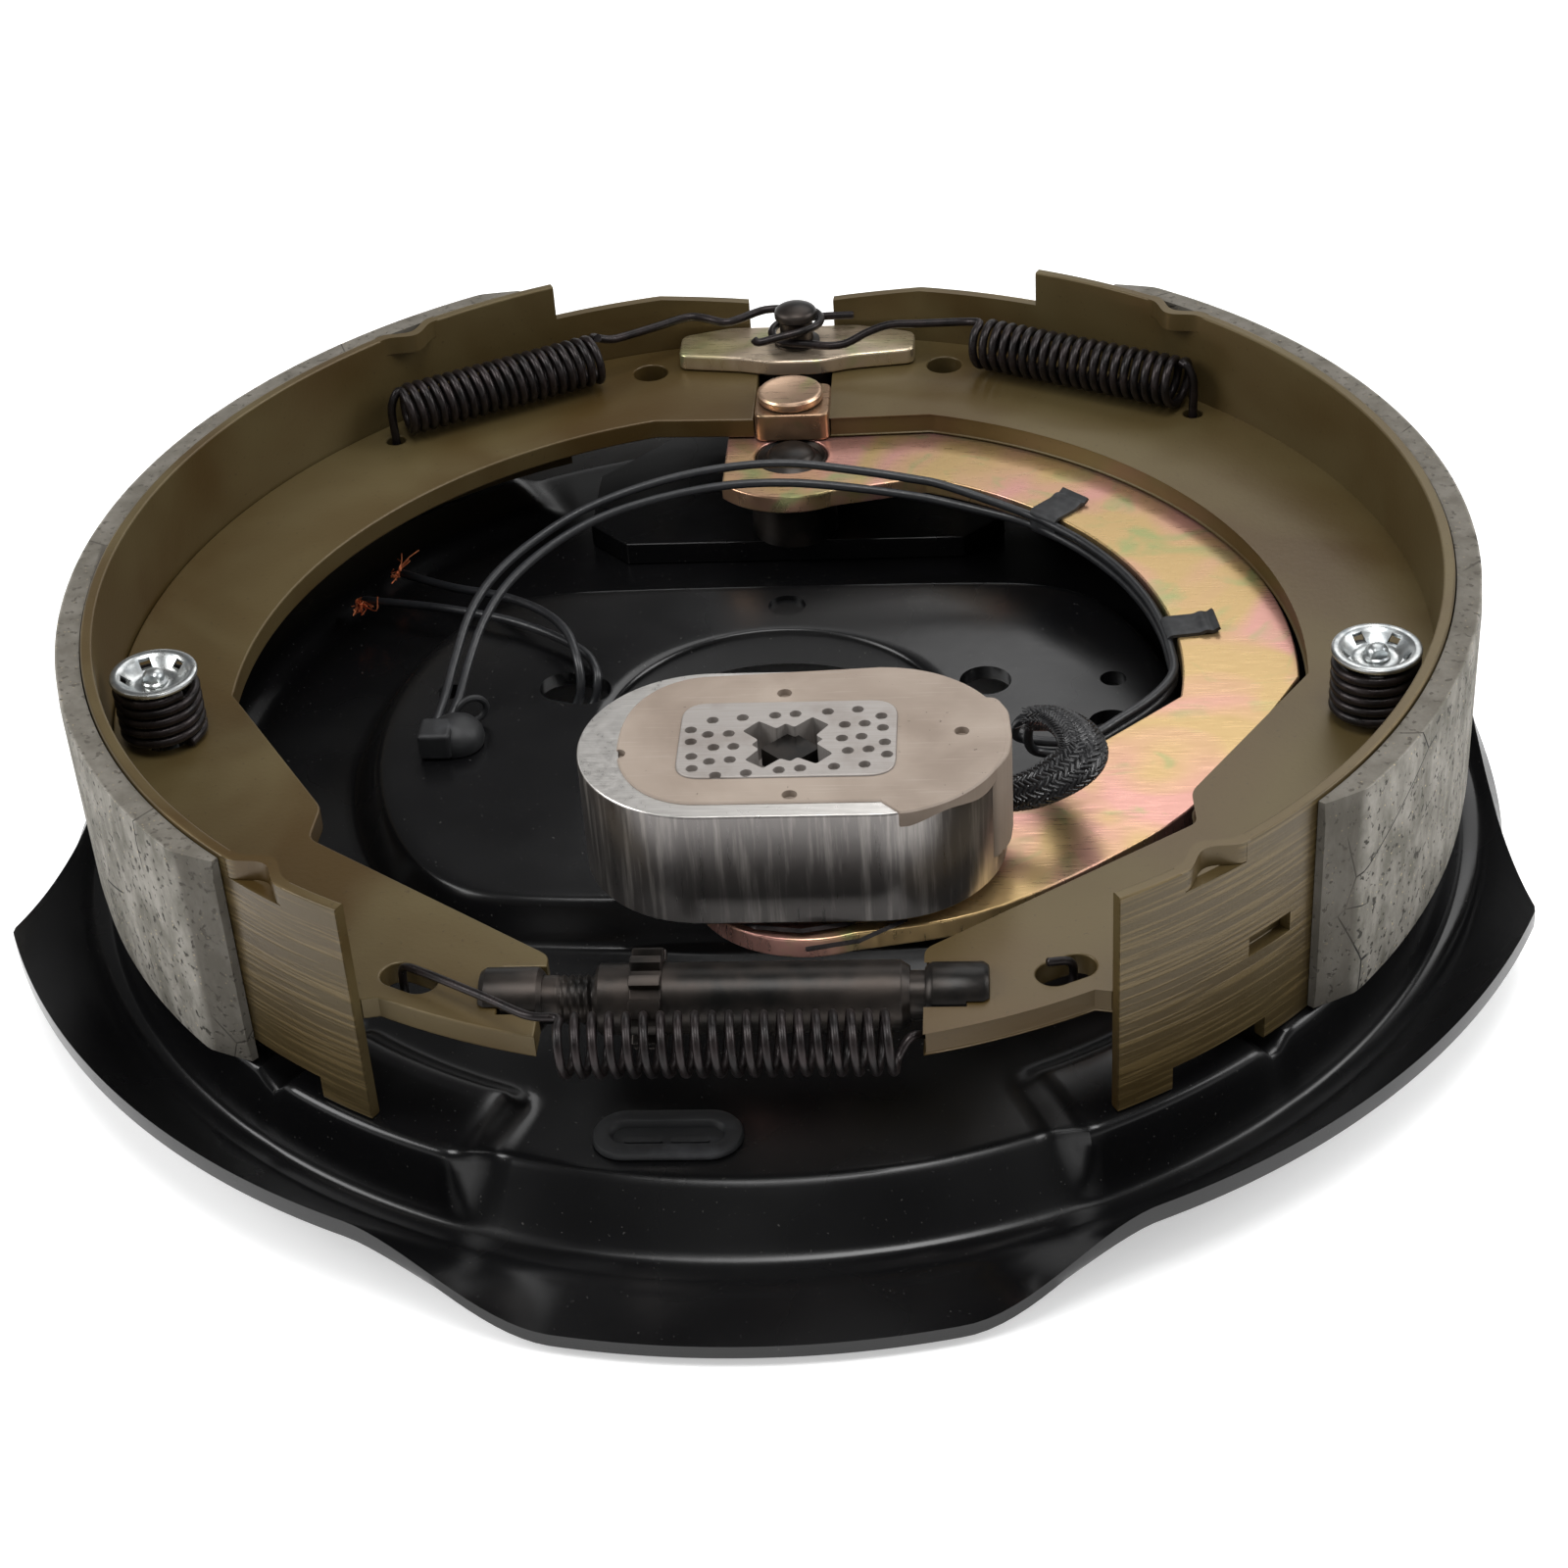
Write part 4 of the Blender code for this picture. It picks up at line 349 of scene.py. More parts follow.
def pressed_sheet(around=420, stations=700, kept=96, bend=7.0):
    """The plate's upper face: the bend lines joined by straight walls, then each point averaged with its
    neighbours under a bell curve, which rounds every bend. Most of the stations kept are near bends. The
    lower face has wider bends and lies the sheet's thickness away, square to the profile, with the sheet
    drawn a little thinner at the rim. It never turns back, and ends beside the rim's edge."""
    deg = np.linspace(-180, 180, around, endpoint=False)
    radii, heights = plate_rings(deg)
    lengths = np.hypot(np.diff(radii, axis=0), np.diff(heights, axis=0)).mean(1)
    knots = np.concatenate([[0], np.cumsum(lengths)]) / lengths.sum()
    t = np.linspace(0, 1, stations)
    numbers = np.arange(len(knots))
    share = np.maximum(0, 1 - np.abs(np.interp(t, knots, numbers)[:, None] - numbers))
    offset = np.arange(-24, 25)
    bell = np.exp(-(offset / bend) ** 2)
    spread = np.zeros((stations, stations))
    for k, weight in zip(offset, bell / bell.sum()):
        reach = np.arange(stations) + k
        inside = (reach >= 0) & (reach < stations)
        np.add.at(spread, (np.arange(stations)[inside], reach[inside]), weight)
    spread /= spread.sum(1, keepdims=True)
    spread[0], spread[-1] = np.eye(stations)[0], np.eye(stations)[-1]
    r, z = spread @ share @ radii, spread @ share @ heights
    turn = np.abs(np.diff(z.mean(1), 2, prepend=z[0].mean(), append=z[-1].mean()))
    worth = np.cumsum(1.0 + 90.0 * np.clip(turn / turn.max(), 0, 0.4))
    even = np.interp(np.linspace(worth[0], worth[-1], kept), worth, np.arange(stations))
    rows = np.unique(even.round().astype(int))
    soft = np.linalg.matrix_power(spread, UNDER_BENDS) @ share
    under_r, under_z = soft @ radii, soft @ heights
    run, rise = np.gradient(under_r, axis=0), np.gradient(under_z, axis=0)
    drawn = (PLATE_SHEET - THINNED * ease(under_r, THIN_FROM, THIN_TO)) / np.hypot(run, rise)
    under_r, under_z = under_r + drawn * rise, under_z - drawn * run
    rows_under = rows[::2]
    r, z, under_r, under_z = r[rows], z[rows], under_r[rows_under], under_z[rows_under]
    under_r = np.maximum.accumulate(under_r + UNDER_STEP * np.arange(len(rows_under))[:, None])
    under_r = np.minimum(under_r, np.maximum(r[-1] + UNDER_PROUD, UNDER_REACH))
    crease = CREASE * np.exp(-((r - GROOVE_OUTER - CREASE_FROM_GROOVE) / CREASE_HALF) ** 2)
    z = z + crease * (0.75 + 0.25 * np.sin(np.radians(deg) * 23) * np.sin(np.radians(deg) * 7))
    r, z = np.vstack([r, under_r[::-1]]), np.vstack([z, under_z[::-1]])
    angle = np.radians(deg)
    return np.stack([r * np.cos(angle), r * np.sin(angle), z], -1)


def black_stoving_paint():
    """Black stoving enamel, dipped and baked over pressed steel: deep gloss, faint orange peel and dust."""
    made, tree, shader, place = material("black_stoving_enamel", "#0a0a0b", 0.2)
    cloud = add(tree, "TexNoise", {"Vector": place, "Scale": per(45), "Detail": 3.0}).outputs[0]
    rough = add(tree, "MapRange", {"Value": cloud, "From Min": 0.3, "From Max": 0.7, "To Min": 0.15, "To Max": 0.33})
    tree.links.new(rough.outputs[0], shader.inputs["Roughness"])
    specks = add(tree, "TexNoise", {"Vector": place, "Scale": per(0.7), "Detail": 1.0}).outputs[0]
    dusty = add(tree, "MapRange", {"Value": specks, "From Min": 0.74, "From Max": 0.8}).outputs[0]
    colour = add(tree, "Mix", {0: dusty, 6: linear("#0a0a0b"), 7: linear("#3c3b39")}, data_type="RGBA").outputs[2]
    tree.links.new(colour, shader.inputs["Base Color"])
    peel = add(tree, "TexNoise", {"Vector": place, "Scale": per(3.2), "Detail": 2.0}).outputs[0]
    bump = add(tree, "Bump", {"Height": peel, "Distance": 0.05 * mm, "Strength": 0.35})
    tree.links.new(bump.outputs[0], shader.inputs["Normal"])
    shader.inputs["Specular IOR Level"].default_value = 0.42
    return made


enamel = black_stoving_paint()
plate = piece("pressed_backing_plate", enamel, skin(pressed_sheet(), wrap_rows=True))


def polar(radius, deg):
    """The point at that radius and angle."""
    return np.array([radius * math.cos(math.radians(deg)), radius * math.sin(math.radians(deg))])


BOLT_HOLE_R, BOLTS_DEG = 5.9 * mm, (18.0, -54.0, -126.0)
TAIL_SLOT, TAIL_SLOT_DEG = (17 * mm, 11.8 * mm), 162.0
SINK_R, SINK_DEPTH, SINK_DEG = 4.5 * mm, 1.2 * mm, 90.0
WIRE_HOLE_R, NAIL_HOLE_R, ANCHOR_HOLE_R, PIVOT_HOLE_R = 5.25 * mm, 2.55 * mm, 7.3 * mm, 6.3 * mm
DRAIN_AT, DRAIN_R = (76.0 * mm, 15.0 * mm), 3.0 * mm
through = (-5 * mm, 40 * mm)
openings = [prism(ring(polar(STUD_CIRCLE, deg), BOLT_HOLE_R), *through) for deg in BOLTS_DEG]
openings.append(prism(slot_outline(polar(STUD_CIRCLE, TAIL_SLOT_DEG), *TAIL_SLOT, TAIL_SLOT_DEG), *through))
openings.append(prism(ring(polar(STUD_CIRCLE, SINK_DEG), SINK_R), PAN_TOP - SINK_DEPTH, through[1]))
for side in (-1, 1):
    openings.append(prism(ring((side * WIRE_HOLE[0], WIRE_HOLE[1]), WIRE_HOLE_R), *through))
    openings.append(prism(ring((side * DRAIN_AT[0], DRAIN_AT[1]), DRAIN_R), *through))
    openings.append(prism(ring((side * HOLD_X, HOLD_Y), NAIL_HOLE_R, 24), *through))
openings.append(prism(slot_outline(SLOT_AT, *SLOT_SIZE), *through))
openings.append(prism(ring((0, ANCHOR_Y), ANCHOR_HOLE_R), *through))
openings.append(prism(ring((0, PIVOT_Y), PIVOT_HOLE_R), *through))
carve(plate, *openings)
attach(plate, "plate")
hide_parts("backing_plate")


# The plug of the adjuster slot: black rubber, pushed in from below, with a raised lip round a
# sunken middle.

PLUG_LIP = 1.6 * mm


def stadium_rows(centre, reach, rows, count=40):
    """Rows of points round a slot outline: each row has its own end radius and height, and all share the
    straight length between the two end centres."""
    rows = np.array(rows)
    half = np.linspace(-90, 90, count)
    angle = np.radians(np.concatenate([half, half + 180]))
    side = np.where(np.arange(2 * count) < count, reach, -reach)
    x = centre[0] + side + rows[:, :1] * np.cos(angle)
    y = centre[1] + rows[:, :1] * np.sin(angle)
    return np.stack([x, y, np.broadcast_to(rows[:, 1:2], x.shape)], -1)


def moulded_rubber():
    """Moulded black rubber: matt, with a fine grain and a few grey scuffs."""
    made, tree, shader, place = material("moulded_black_rubber", "#141517", 0.55)
    scuff = add(tree, "TexNoise", {"Vector": place, "Scale": per(6), "Detail": 4.0}).outputs[0]
    worn = add(tree, "MapRange", {"Value": scuff, "From Min": 0.55, "From Max": 0.75}).outputs[0]
    colour = add(tree, "Mix", {0: worn, 6: linear("#121315"), 7: linear("#2b2c2f")}, data_type="RGBA").outputs[2]
    tree.links.new(colour, shader.inputs["Base Color"])
    grain = add(tree, "TexNoise", {"Vector": place, "Scale": per(0.9), "Detail": 2.0}).outputs[0]
    bump = add(tree, "Bump", {"Height": grain, "Distance": 0.06 * mm, "Strength": 0.5})
    tree.links.new(bump.outputs[0], shader.inputs["Normal"])
    return made


def place_piece(obj, slot, body, *nodes):
    """Ride on a body and stand for the CAD nodes. The slot is not used."""
    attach(obj, body)
    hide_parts(*nodes)
    return obj


rubber = moulded_rubber()
plug_low, plug_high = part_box("slot_plug")
lip_r = SLOT_SIZE[1] / 2 + PLUG_LIP
plug_reach = (SLOT_SIZE[0] - SLOT_SIZE[1]) / 2
lip_low = FLOOR_TOP + 0.3 * mm
plug_rows = [(0, plug_low[2]), (4.0 * mm, plug_low[2]), (4.7 * mm, plug_low[2] + 0.8 * mm), (4.7 * mm, lip_low),
             (lip_r, lip_low), (lip_r, plug_high[2] - 0.7 * mm), (lip_r - 0.3 * mm, plug_high[2] - 0.2 * mm),
             (lip_r - 0.9 * mm, plug_high[2]), (3.6 * mm, plug_high[2]), (3.1 * mm, plug_high[2] - 0.3 * mm),
             (2.6 * mm, lip_low + 0.1 * mm), (0, lip_low + 0.1 * mm)]
plug_body = skin(stadium_rows(SLOT_AT, plug_reach, plug_rows))
rib_x = SLOT_AT[0] - 4.5 * mm
plug_tabs = [prism(slot_outline((rib_x + step, SLOT_AT[1] - 2.4 * mm), 7.5 * mm, 1.4 * mm), lip_low, plug_high[2])
             for step in (0, 9 * mm)]
place_piece(piece("adjuster_slot_plug", rubber, plug_body, *plug_tabs), "rubber", "plate", "slot_plug")


# The anchor end: a doubler under the floor's edge, a turned and hardened anchor pin with a mushroom
# head, the plate that keeps the webs down and the stud that the lever turns on.

def rounded(points, radius, steps=4, closed=False):
    """Replace each corner by a curve from one leg to the other: (1-t)^2 start + 2t(1-t) corner + t^2 end."""
    points = np.asarray(points, float)
    before, after = np.roll(points, 1, 0), np.roll(points, -1, 0)
    back, on = before - points, after - points
    back_len, on_len = np.linalg.norm(back, axis=1, keepdims=True), np.linalg.norm(on, axis=1, keepdims=True)
    reach = np.minimum(radius, np.minimum(back_len, on_len) * 0.5)
    start, end = points + back / back_len * reach, points + on / on_len * reach
    t = np.linspace(0, 1, steps + 1)[:, None, None]
    soft = (1 - t) ** 2 * start + 2 * t * (1 - t) * points + t ** 2 * end
    soft = soft.transpose(1, 0, 2)
    if closed:
        return soft.reshape(-1, points.shape[1])
    return np.concatenate([points[:1], soft[1:-1].reshape(-1, points.shape[1]), points[-1:]])


def turned(profile, centre, segments=72, wrap=False):
    """A profile of (radius, height) turned about an upright axis: x = r cos a, y = r sin a."""
    profile = np.asarray(profile, float)
    angle = np.linspace(0, 2 * math.pi, segments, endpoint=False)
    x, y = profile[:, :1] * np.cos(angle), profile[:, :1] * np.sin(angle)
    grid = np.stack([x, y, np.broadcast_to(profile[:, 1:2], x.shape)], -1)
    return skin(grid + np.array(centre), wrap_rows=wrap)


def blank(outline, low, high, edge, *holes):
    """A blank stamped from sheet: the outline and its holes filled flat, with every edge rounded over."""
    curve = bpy.data.curves.new("blank", "CURVE")
    curve.dimensions = "2D"
    curve.fill_mode = "BOTH"
    curve.extrude = (high - low) / 2 - edge
    curve.bevel_depth = edge
    curve.bevel_resolution = 2
    curve.offset = -edge
    for loop in (outline, *holes):
        loop = np.asarray(loop, float)
        spline = curve.splines.new("POLY")
        spline.points.add(len(loop) - 1)
        rows = np.hstack([loop, np.zeros((len(loop), 1)), np.ones((len(loop), 1))])
        spline.points.foreach_set("co", rows.ravel())
        spline.use_cyclic_u = True
    guide = bpy.data.objects.new("blank", curve)
    bpy.context.scene.collection.objects.link(guide)
    bpy.context.view_layer.update()
    mesh = bpy.data.meshes.new_from_object(guide.evaluated_get(bpy.context.evaluated_depsgraph_get()))
    bpy.data.objects.remove(guide, do_unlink=True)
    mesh.transform(Matrix.Translation((0, 0, (low + high) / 2)))
    mesh.materials.clear()
    return settle(mesh)


def level_faces(obj):
    """Let the large flat faces set the shading of the rounded edges beside them."""
    weigh = obj.modifiers.new("level_faces", "WEIGHTED_NORMAL")
    weigh.mode = "FACE_AREA"
    weigh.keep_sharp = True
    return obj


def black_oxide_steel():
    """Hardened steel blacked in an oil bath: near black, brown where the light grazes it, lightly streaked."""
    made, tree, shader, place = material("black_oxided_steel", "#2c2927", 0.36, 0.85)
    cloud = add(tree, "TexNoise", {"Vector": place, "Scale": per(9), "Detail": 4.0}).outputs[0]
    tint = add(tree, "MapRange", {"Value": cloud, "From Min": 0.35, "From Max": 0.65}).outputs[0]
    colour = add(tree, "Mix", {0: tint, 6: linear("#242322"), 7: linear("#3d3733")}, data_type="RGBA").outputs[2]
    tree.links.new(colour, shader.inputs["Base Color"])
    rough = add(tree, "MapRange", {"Value": cloud, "From Min": 0.3, "From Max": 0.7, "To Min": 0.3, "To Max": 0.46})
    tree.links.new(rough.outputs[0], shader.inputs["Roughness"])
    grain = add(tree, "TexNoise", {"Vector": place, "Scale": per(0.8), "Detail": 2.0}).outputs[0]
    bump = add(tree, "Bump", {"Height": grain, "Distance": 0.03 * mm, "Strength": 0.4})
    tree.links.new(bump.outputs[0], shader.inputs["Normal"])
    return made


def yellow_passivate(name, gold, pink, green):
    """Zinc plate dipped in yellow chromate: a metal whose thin film drifts between gold, pink and green."""
    made, tree, shader, place = material(name, gold, 0.3, 0.85)
    drift = add(tree, "TexNoise", {"Vector": place, "Scale": per(34), "Detail": 2.0, "Distortion": 0.8}).outputs[0]
    to_pink = add(tree, "MapRange", {"Value": drift, "From Min": 0.42, "From Max": 0.58}).outputs[0]
    colour = add(tree, "Mix", {0: to_pink, 6: linear(gold), 7: linear(pink)}, data_type="RGBA").outputs[2]
    second = add(tree, "TexNoise", {"Vector": place, "Scale": per(17), "Detail": 3.0, "Distortion": 1.4}).outputs[0]
    to_green = add(tree, "MapRange", {"Value": second, "From Min": 0.55, "From Max": 0.72, "To Max": 0.75}).outputs[0]
    colour = add(tree, "Mix", {0: to_green, 6: colour, 7: linear(green)}, data_type="RGBA").outputs[2]
    tree.links.new(colour, shader.inputs["Base Color"])
    streak = add(tree, "Mapping", {"Vector": place, "Scale": (per(6), per(0.5), per(6))}).outputs[0]
    brush = add(tree, "TexNoise", {"Vector": streak, "Scale": 1.0, "Detail": 3.0}).outputs[0]
    rough = add(tree, "MapRange", {"Value": brush, "From Min": 0.3, "From Max": 0.7, "To Min": 0.24, "To Max": 0.4})
    tree.links.new(rough.outputs[0], shader.inputs["Roughness"])
    bump = add(tree, "Bump", {"Height": brush, "Distance": 0.02 * mm, "Strength": 0.35})
    tree.links.new(bump.outputs[0], shader.inputs["Normal"])
    return made


oxide = black_oxide_steel()
pale_passivate = yellow_passivate("pale_yellow_passivated_zinc", "#c4b98c", "#c8b6a0", "#aeb183")
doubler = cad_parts["anchor_reinforcement"]
doubler.data.materials.clear()
doubler.data.materials.append(enamel)

web_low, web_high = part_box("right_web")[0][2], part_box("right_web")[1][2]
web_mid = (web_low + web_high) / 2
arm_low, arm_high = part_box("lever_arm")[0][2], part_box("lever_arm")[1][2]
guide_low, guide_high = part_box("guide_plate")[0][2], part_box("guide_plate")[1][2]
pin_low, pin_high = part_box("anchor_pin")[0][2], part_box("anchor_pin")[1][2]
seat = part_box("anchor_reinforcement")[1][2] + 0.3 * mm
neck, body_r, base_r, shank = 4.2 * mm, 11.0 * mm, 12.0 * mm, 7.0 * mm
dome = [(5.4 * mm * math.cos(math.radians(a)), pin_high - 2.2 * mm * (1 - math.sin(math.radians(a))))
        for a in (90, 75, 60, 45, 30, 15, 0)]
pin_profile = dome + [(5.4 * mm, pin_high - 3.3 * mm), (5.0 * mm, pin_high - 3.8 * mm), (neck, pin_high - 4.2 * mm),
                      (neck, guide_high + 1.0 * mm), (neck + 1.6 * mm, guide_high + 0.6 * mm),
                      (neck + 1.6 * mm, guide_high + 0.1 * mm), (neck, guide_high + 0.1 * mm),
                      (neck, web_high), (body_r - 0.5 * mm, web_high), (body_r, web_high - 0.5 * mm),
                      (body_r, web_low - 0.6 * mm), (base_r, web_low - 0.6 * mm), (base_r, seat), (shank, seat),
                      (shank, pin_low + 2.7 * mm), (shank + 2 * mm, pin_low + 2.7 * mm),
                      (shank + 1.6 * mm, pin_low + 0.8 * mm), (shank - 1 * mm, pin_low), (0, pin_low)]
place_piece(piece("anchor_pin_turned", oxide, turned(pin_profile, (0, ANCHOR_Y, 0))), "dark_steel", "plate",
            "anchor_pin")

half = 30 * mm
guide_points = [(-half, 127), (-14 * mm, 124.6), (-6 * mm, 122), (6 * mm, 122), (14 * mm, 124.8), (half, 127),
                (half, 137), (15 * mm, 142), (-18 * mm, 142), (-half, 138)]
guide_outline = rounded([(x, y * mm) for x, y in guide_points], 2.2 * mm, 4, closed=True)
guide = piece("shoe_guide_plate", pale_passivate,
              blank(guide_outline, guide_low, guide_high, 0.7 * mm, ring((0, ANCHOR_Y), neck + 0.3 * mm)))
place_piece(level_faces(guide), "yellow_zinc", "plate", "guide_plate")

stud_low, stud_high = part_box("pivot_stud")[0][2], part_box("pivot_stud")[1][2]
stud_dome = [(6.0 * mm * math.cos(math.radians(a)), stud_high - 2.4 * mm * (1 - math.sin(math.radians(a))))
             for a in (90, 72, 54, 36, 18, 0)]
stud_profile = stud_dome + [(6.6 * mm, arm_high - 0.3 * mm), (7.4 * mm, arm_high - 0.9 * mm),
                            (8.3 * mm, arm_high - 0.2 * mm), (8.7 * mm, arm_high - 0.5 * mm),
                            (8.7 * mm, arm_low - 0.3 * mm),
                            (10.5 * mm, arm_low - 0.3 * mm), (10.5 * mm, seat), (6.0 * mm, seat),
                            (6.0 * mm, stud_low + 2.7 * mm), (8.0 * mm, stud_low + 2.7 * mm),
                            (7.6 * mm, stud_low + 0.8 * mm), (5.0 * mm, stud_low), (0, stud_low)]
place_piece(piece("lever_pivot_stud", oxide, turned(stud_profile, (0, PIVOT_Y, 0))), "dark_steel", "plate",
            "pivot_stud")


# The shoes: a web blanked from 5 mm sheet stands in a rolled table, projection-welded in a T, and
# both are dipped in brown-gold lacquer. The lining is a moulded friction block glued to the table.

TABLE_INNER, TABLE_OUTER, LINING_OUTER = 143.8 * mm, 146.3 * mm, 152.0 * mm
TABLE_END_DEG = -60.7
NIB_DEG, NIB_HALF_DEG, NIB_HEIGHT = (-52.2, 49.0), 2.9, 4.6 * mm
HORN_FROM_DEG, HORN_HALF, HORN_FALL_DEG, HORN_FALL = 65.0, 16.5 * mm, 9.0, 3.8 * mm
TAIL_CUT_DEG, TAIL_CUT_HEIGHT = (-55.9, -46.6), 5.4 * mm
WEB_SLOT_DEG, WEB_SLOT_HALF = (-48.7, -44.2), 2.3 * mm
LINING_CHAMFER, LINING_CHAMFER_DEG = 3.6 * mm, 3.6


def shoe_lacquer():
    """Brown-gold lacquer over rolled steel: satin, olive in the light and amber where it pooled. The table's
    outer face keeps the rolling mill's lines, about 1 mm apart."""
    made, tree, shader, place = material("brown_gold_lacquer_on_steel", "#514326", 0.4, 0.3)
    pool = add(tree, "TexNoise", {"Vector": place, "Scale": per(55), "Detail": 3.0, "Distortion": 0.6}).outputs[0]
    pooled = add(tree, "MapRange", {"Value": pool, "From Min": 0.36, "From Max": 0.66}).outputs[0]
    colour = add(tree, "Mix", {0: pooled, 6: linear("#584c2f"), 7: linear("#49381b")}, data_type="RGBA").outputs[2]
    flat = add(tree, "VectorMath", {0: place, 1: (1.0, 1.0, 0.0)}, operation="MULTIPLY").outputs[0]
    radius = add(tree, "VectorMath", {0: flat}, operation="LENGTH").outputs[1]
    outer = add(tree, "MapRange", {"Value": radius, "From Min": TABLE_OUTER - 0.7 * mm,
                                   "From Max": TABLE_OUTER - 0.2 * mm}).outputs[0]
    stretch = add(tree, "Mapping", {"Vector": place, "Scale": (per(30), per(30), per(0.9))}).outputs[0]
    lines = add(tree, "TexNoise", {"Vector": stretch, "Scale": 1.0, "Detail": 2.0}).outputs[0]
    sharp = add(tree, "MapRange", {"Value": lines, "From Min": 0.47, "From Max": 0.62}).outputs[0]
    mill = add(tree, "Math", {0: sharp, 1: outer}, operation="MULTIPLY").outputs[0]
    rolled = add(tree, "Math", {0: outer, 1: 0.7}, operation="MULTIPLY").outputs[0]
    colour = add(tree, "Mix", {0: rolled, 6: colour, 7: linear("#463a22")}, data_type="RGBA").outputs[2]
    fade = add(tree, "Math", {0: mill, 1: 0.35}, operation="MULTIPLY").outputs[0]
    colour = add(tree, "Mix", {0: fade, 6: colour, 7: linear("#85714a")}, data_type="RGBA").outputs[2]
    speck = add(tree, "TexNoise", {"Vector": place, "Scale": per(1.1), "Detail": 3.0}).outputs[0]
    dark = add(tree, "MapRange", {"Value": speck, "From Min": 0.66, "From Max": 0.74, "To Max": 0.5}).outputs[0]
    colour = add(tree, "Mix", {0: dark, 6: colour, 7: linear("#35291a")}, data_type="RGBA").outputs[2]
    tree.links.new(colour, shader.inputs["Base Color"])
    rough = add(tree, "MapRange", {"Value": pool, "From Min": 0.3, "From Max": 0.7, "To Min": 0.46, "To Max": 0.32})
    tree.links.new(rough.outputs[0], shader.inputs["Roughness"])
    raised = add(tree, "Math", {0: mill, 1: speck}, operation="ADD").outputs[0]
    bump = add(tree, "Bump", {"Height": raised, "Distance": 0.06 * mm, "Strength": 0.5})
    tree.links.new(bump.outputs[0], shader.inputs["Normal"])
    return made


def friction_block():
    """Moulded brake lining, ground to radius: grey-brown, dusty, with dark resin, pale fibre and brass chips."""
    made, tree, shader, place = material("moulded_friction_lining", "#7d7a70", 0.88)
    ground = add(tree, "Mapping", {"Vector": place, "Scale": (per(7), per(7), per(14))}).outputs[0]
    cloud = add(tree, "TexNoise", {"Vector": ground, "Scale": 1.0, "Detail": 5.0, "Roughness": 0.65}).outputs[0]
    blend = add(tree, "MapRange", {"Value": cloud, "From Min": 0.38, "From Max": 0.64}).outputs[0]
    colour = add(tree, "Mix", {0: blend, 6: linear("#66635a"), 7: linear("#96928a")}, data_type="RGBA").outputs[2]
    chip = add(tree, "TexVoronoi", {"Vector": place, "Scale": per(1.3)}).outputs["Distance"]
    pale = add(tree, "MapRange", {"Value": chip, "From Min": 0.2, "From Max": 0.1}).outputs[0]
    pick = add(tree, "TexNoise", {"Vector": place, "Scale": per(2.2), "Detail": 0.0}).outputs[0]
    picked = add(tree, "MapRange", {"Value": pick, "From Min": 0.5, "From Max": 0.56}).outputs[0]
    pale = add(tree, "Math", {0: pale, 1: picked}, operation="MULTIPLY").outputs[0]
    colour = add(tree, "Mix", {0: pale, 6: colour, 7: linear("#b8a987")}, data_type="RGBA").outputs[2]
    dark_at = add(tree, "TexNoise", {"Vector": place, "Scale": per(1.6), "Detail": 2.0}).outputs[0]
    pit = add(tree, "MapRange", {"Value": dark_at, "From Min": 0.6, "From Max": 0.68}).outputs[0]
    colour = add(tree, "Mix", {0: pit, 6: colour, 7: linear("#3b3832")}, data_type="RGBA").outputs[2]
    cell = add(tree, "TexVoronoi", {"Vector": place, "Scale": per(38), "Randomness": 1.0},
               feature="DISTANCE_TO_EDGE").outputs["Distance"]
    hair = add(tree, "MapRange", {"Value": cell, "From Min": 0.006, "From Max": 0.002}).outputs[0]
    where = add(tree, "TexNoise", {"Vector": place, "Scale": per(26), "Detail": 0.0}).outputs[0]
    some = add(tree, "MapRange", {"Value": where, "From Min": 0.56, "From Max": 0.6}).outputs[0]
    crack = add(tree, "Math", {0: hair, 1: some}, operation="MULTIPLY").outputs[0]
    colour = add(tree, "Mix", {0: crack, 6: colour, 7: linear("#1d1b19")}, data_type="RGBA").outputs[2]
    flat = add(tree, "VectorMath", {0: place, 1: (1.0, 1.0, 0.0)}, operation="MULTIPLY").outputs[0]
    radius = add(tree, "VectorMath", {0: flat}, operation="LENGTH").outputs[1]
    worn = add(tree, "MapRange", {"Value": radius, "From Min": LINING_OUTER - 0.9 * mm,
                                  "From Max": LINING_OUTER - 0.3 * mm, "To Min": 0.75, "To Max": 0.0}).outputs[0]
    colour = add(tree, "Mix", {0: worn, 6: colour, 7: linear("#4a453d")}, data_type="RGBA").outputs[2]
    tree.links.new(colour, shader.inputs["Base Color"])
    depth = add(tree, "Math", {0: cloud, 1: pit}, operation="SUBTRACT").outputs[0]
    depth = add(tree, "Math", {0: depth, 1: crack}, operation="SUBTRACT").outputs[0]
    bump = add(tree, "Bump", {"Height": depth, "Distance": 0.25 * mm, "Strength": 0.7})
    tree.links.new(bump.outputs[0], shader.inputs["Normal"])
    return made


def sector(inner, outer, start, end, count=8):
    """The outline of a piece of a ring between two radii and two angles."""
    return np.concatenate([ring((0, 0), outer, count, start, end), ring((0, 0), inner, count, end, start)])


def carried_ring(section, degrees):
    """A section of (radius, height) points carried round the wheel axis: x = r cos a, y = r sin a."""
    angle = np.radians(degrees)[:, None]
    radius, height = section[:, 0], np.broadcast_to(section[:, 1], (len(degrees), len(section)))
    return skin(np.stack([radius * np.cos(angle), radius * np.sin(angle), height], -1), caps=(0, -1))


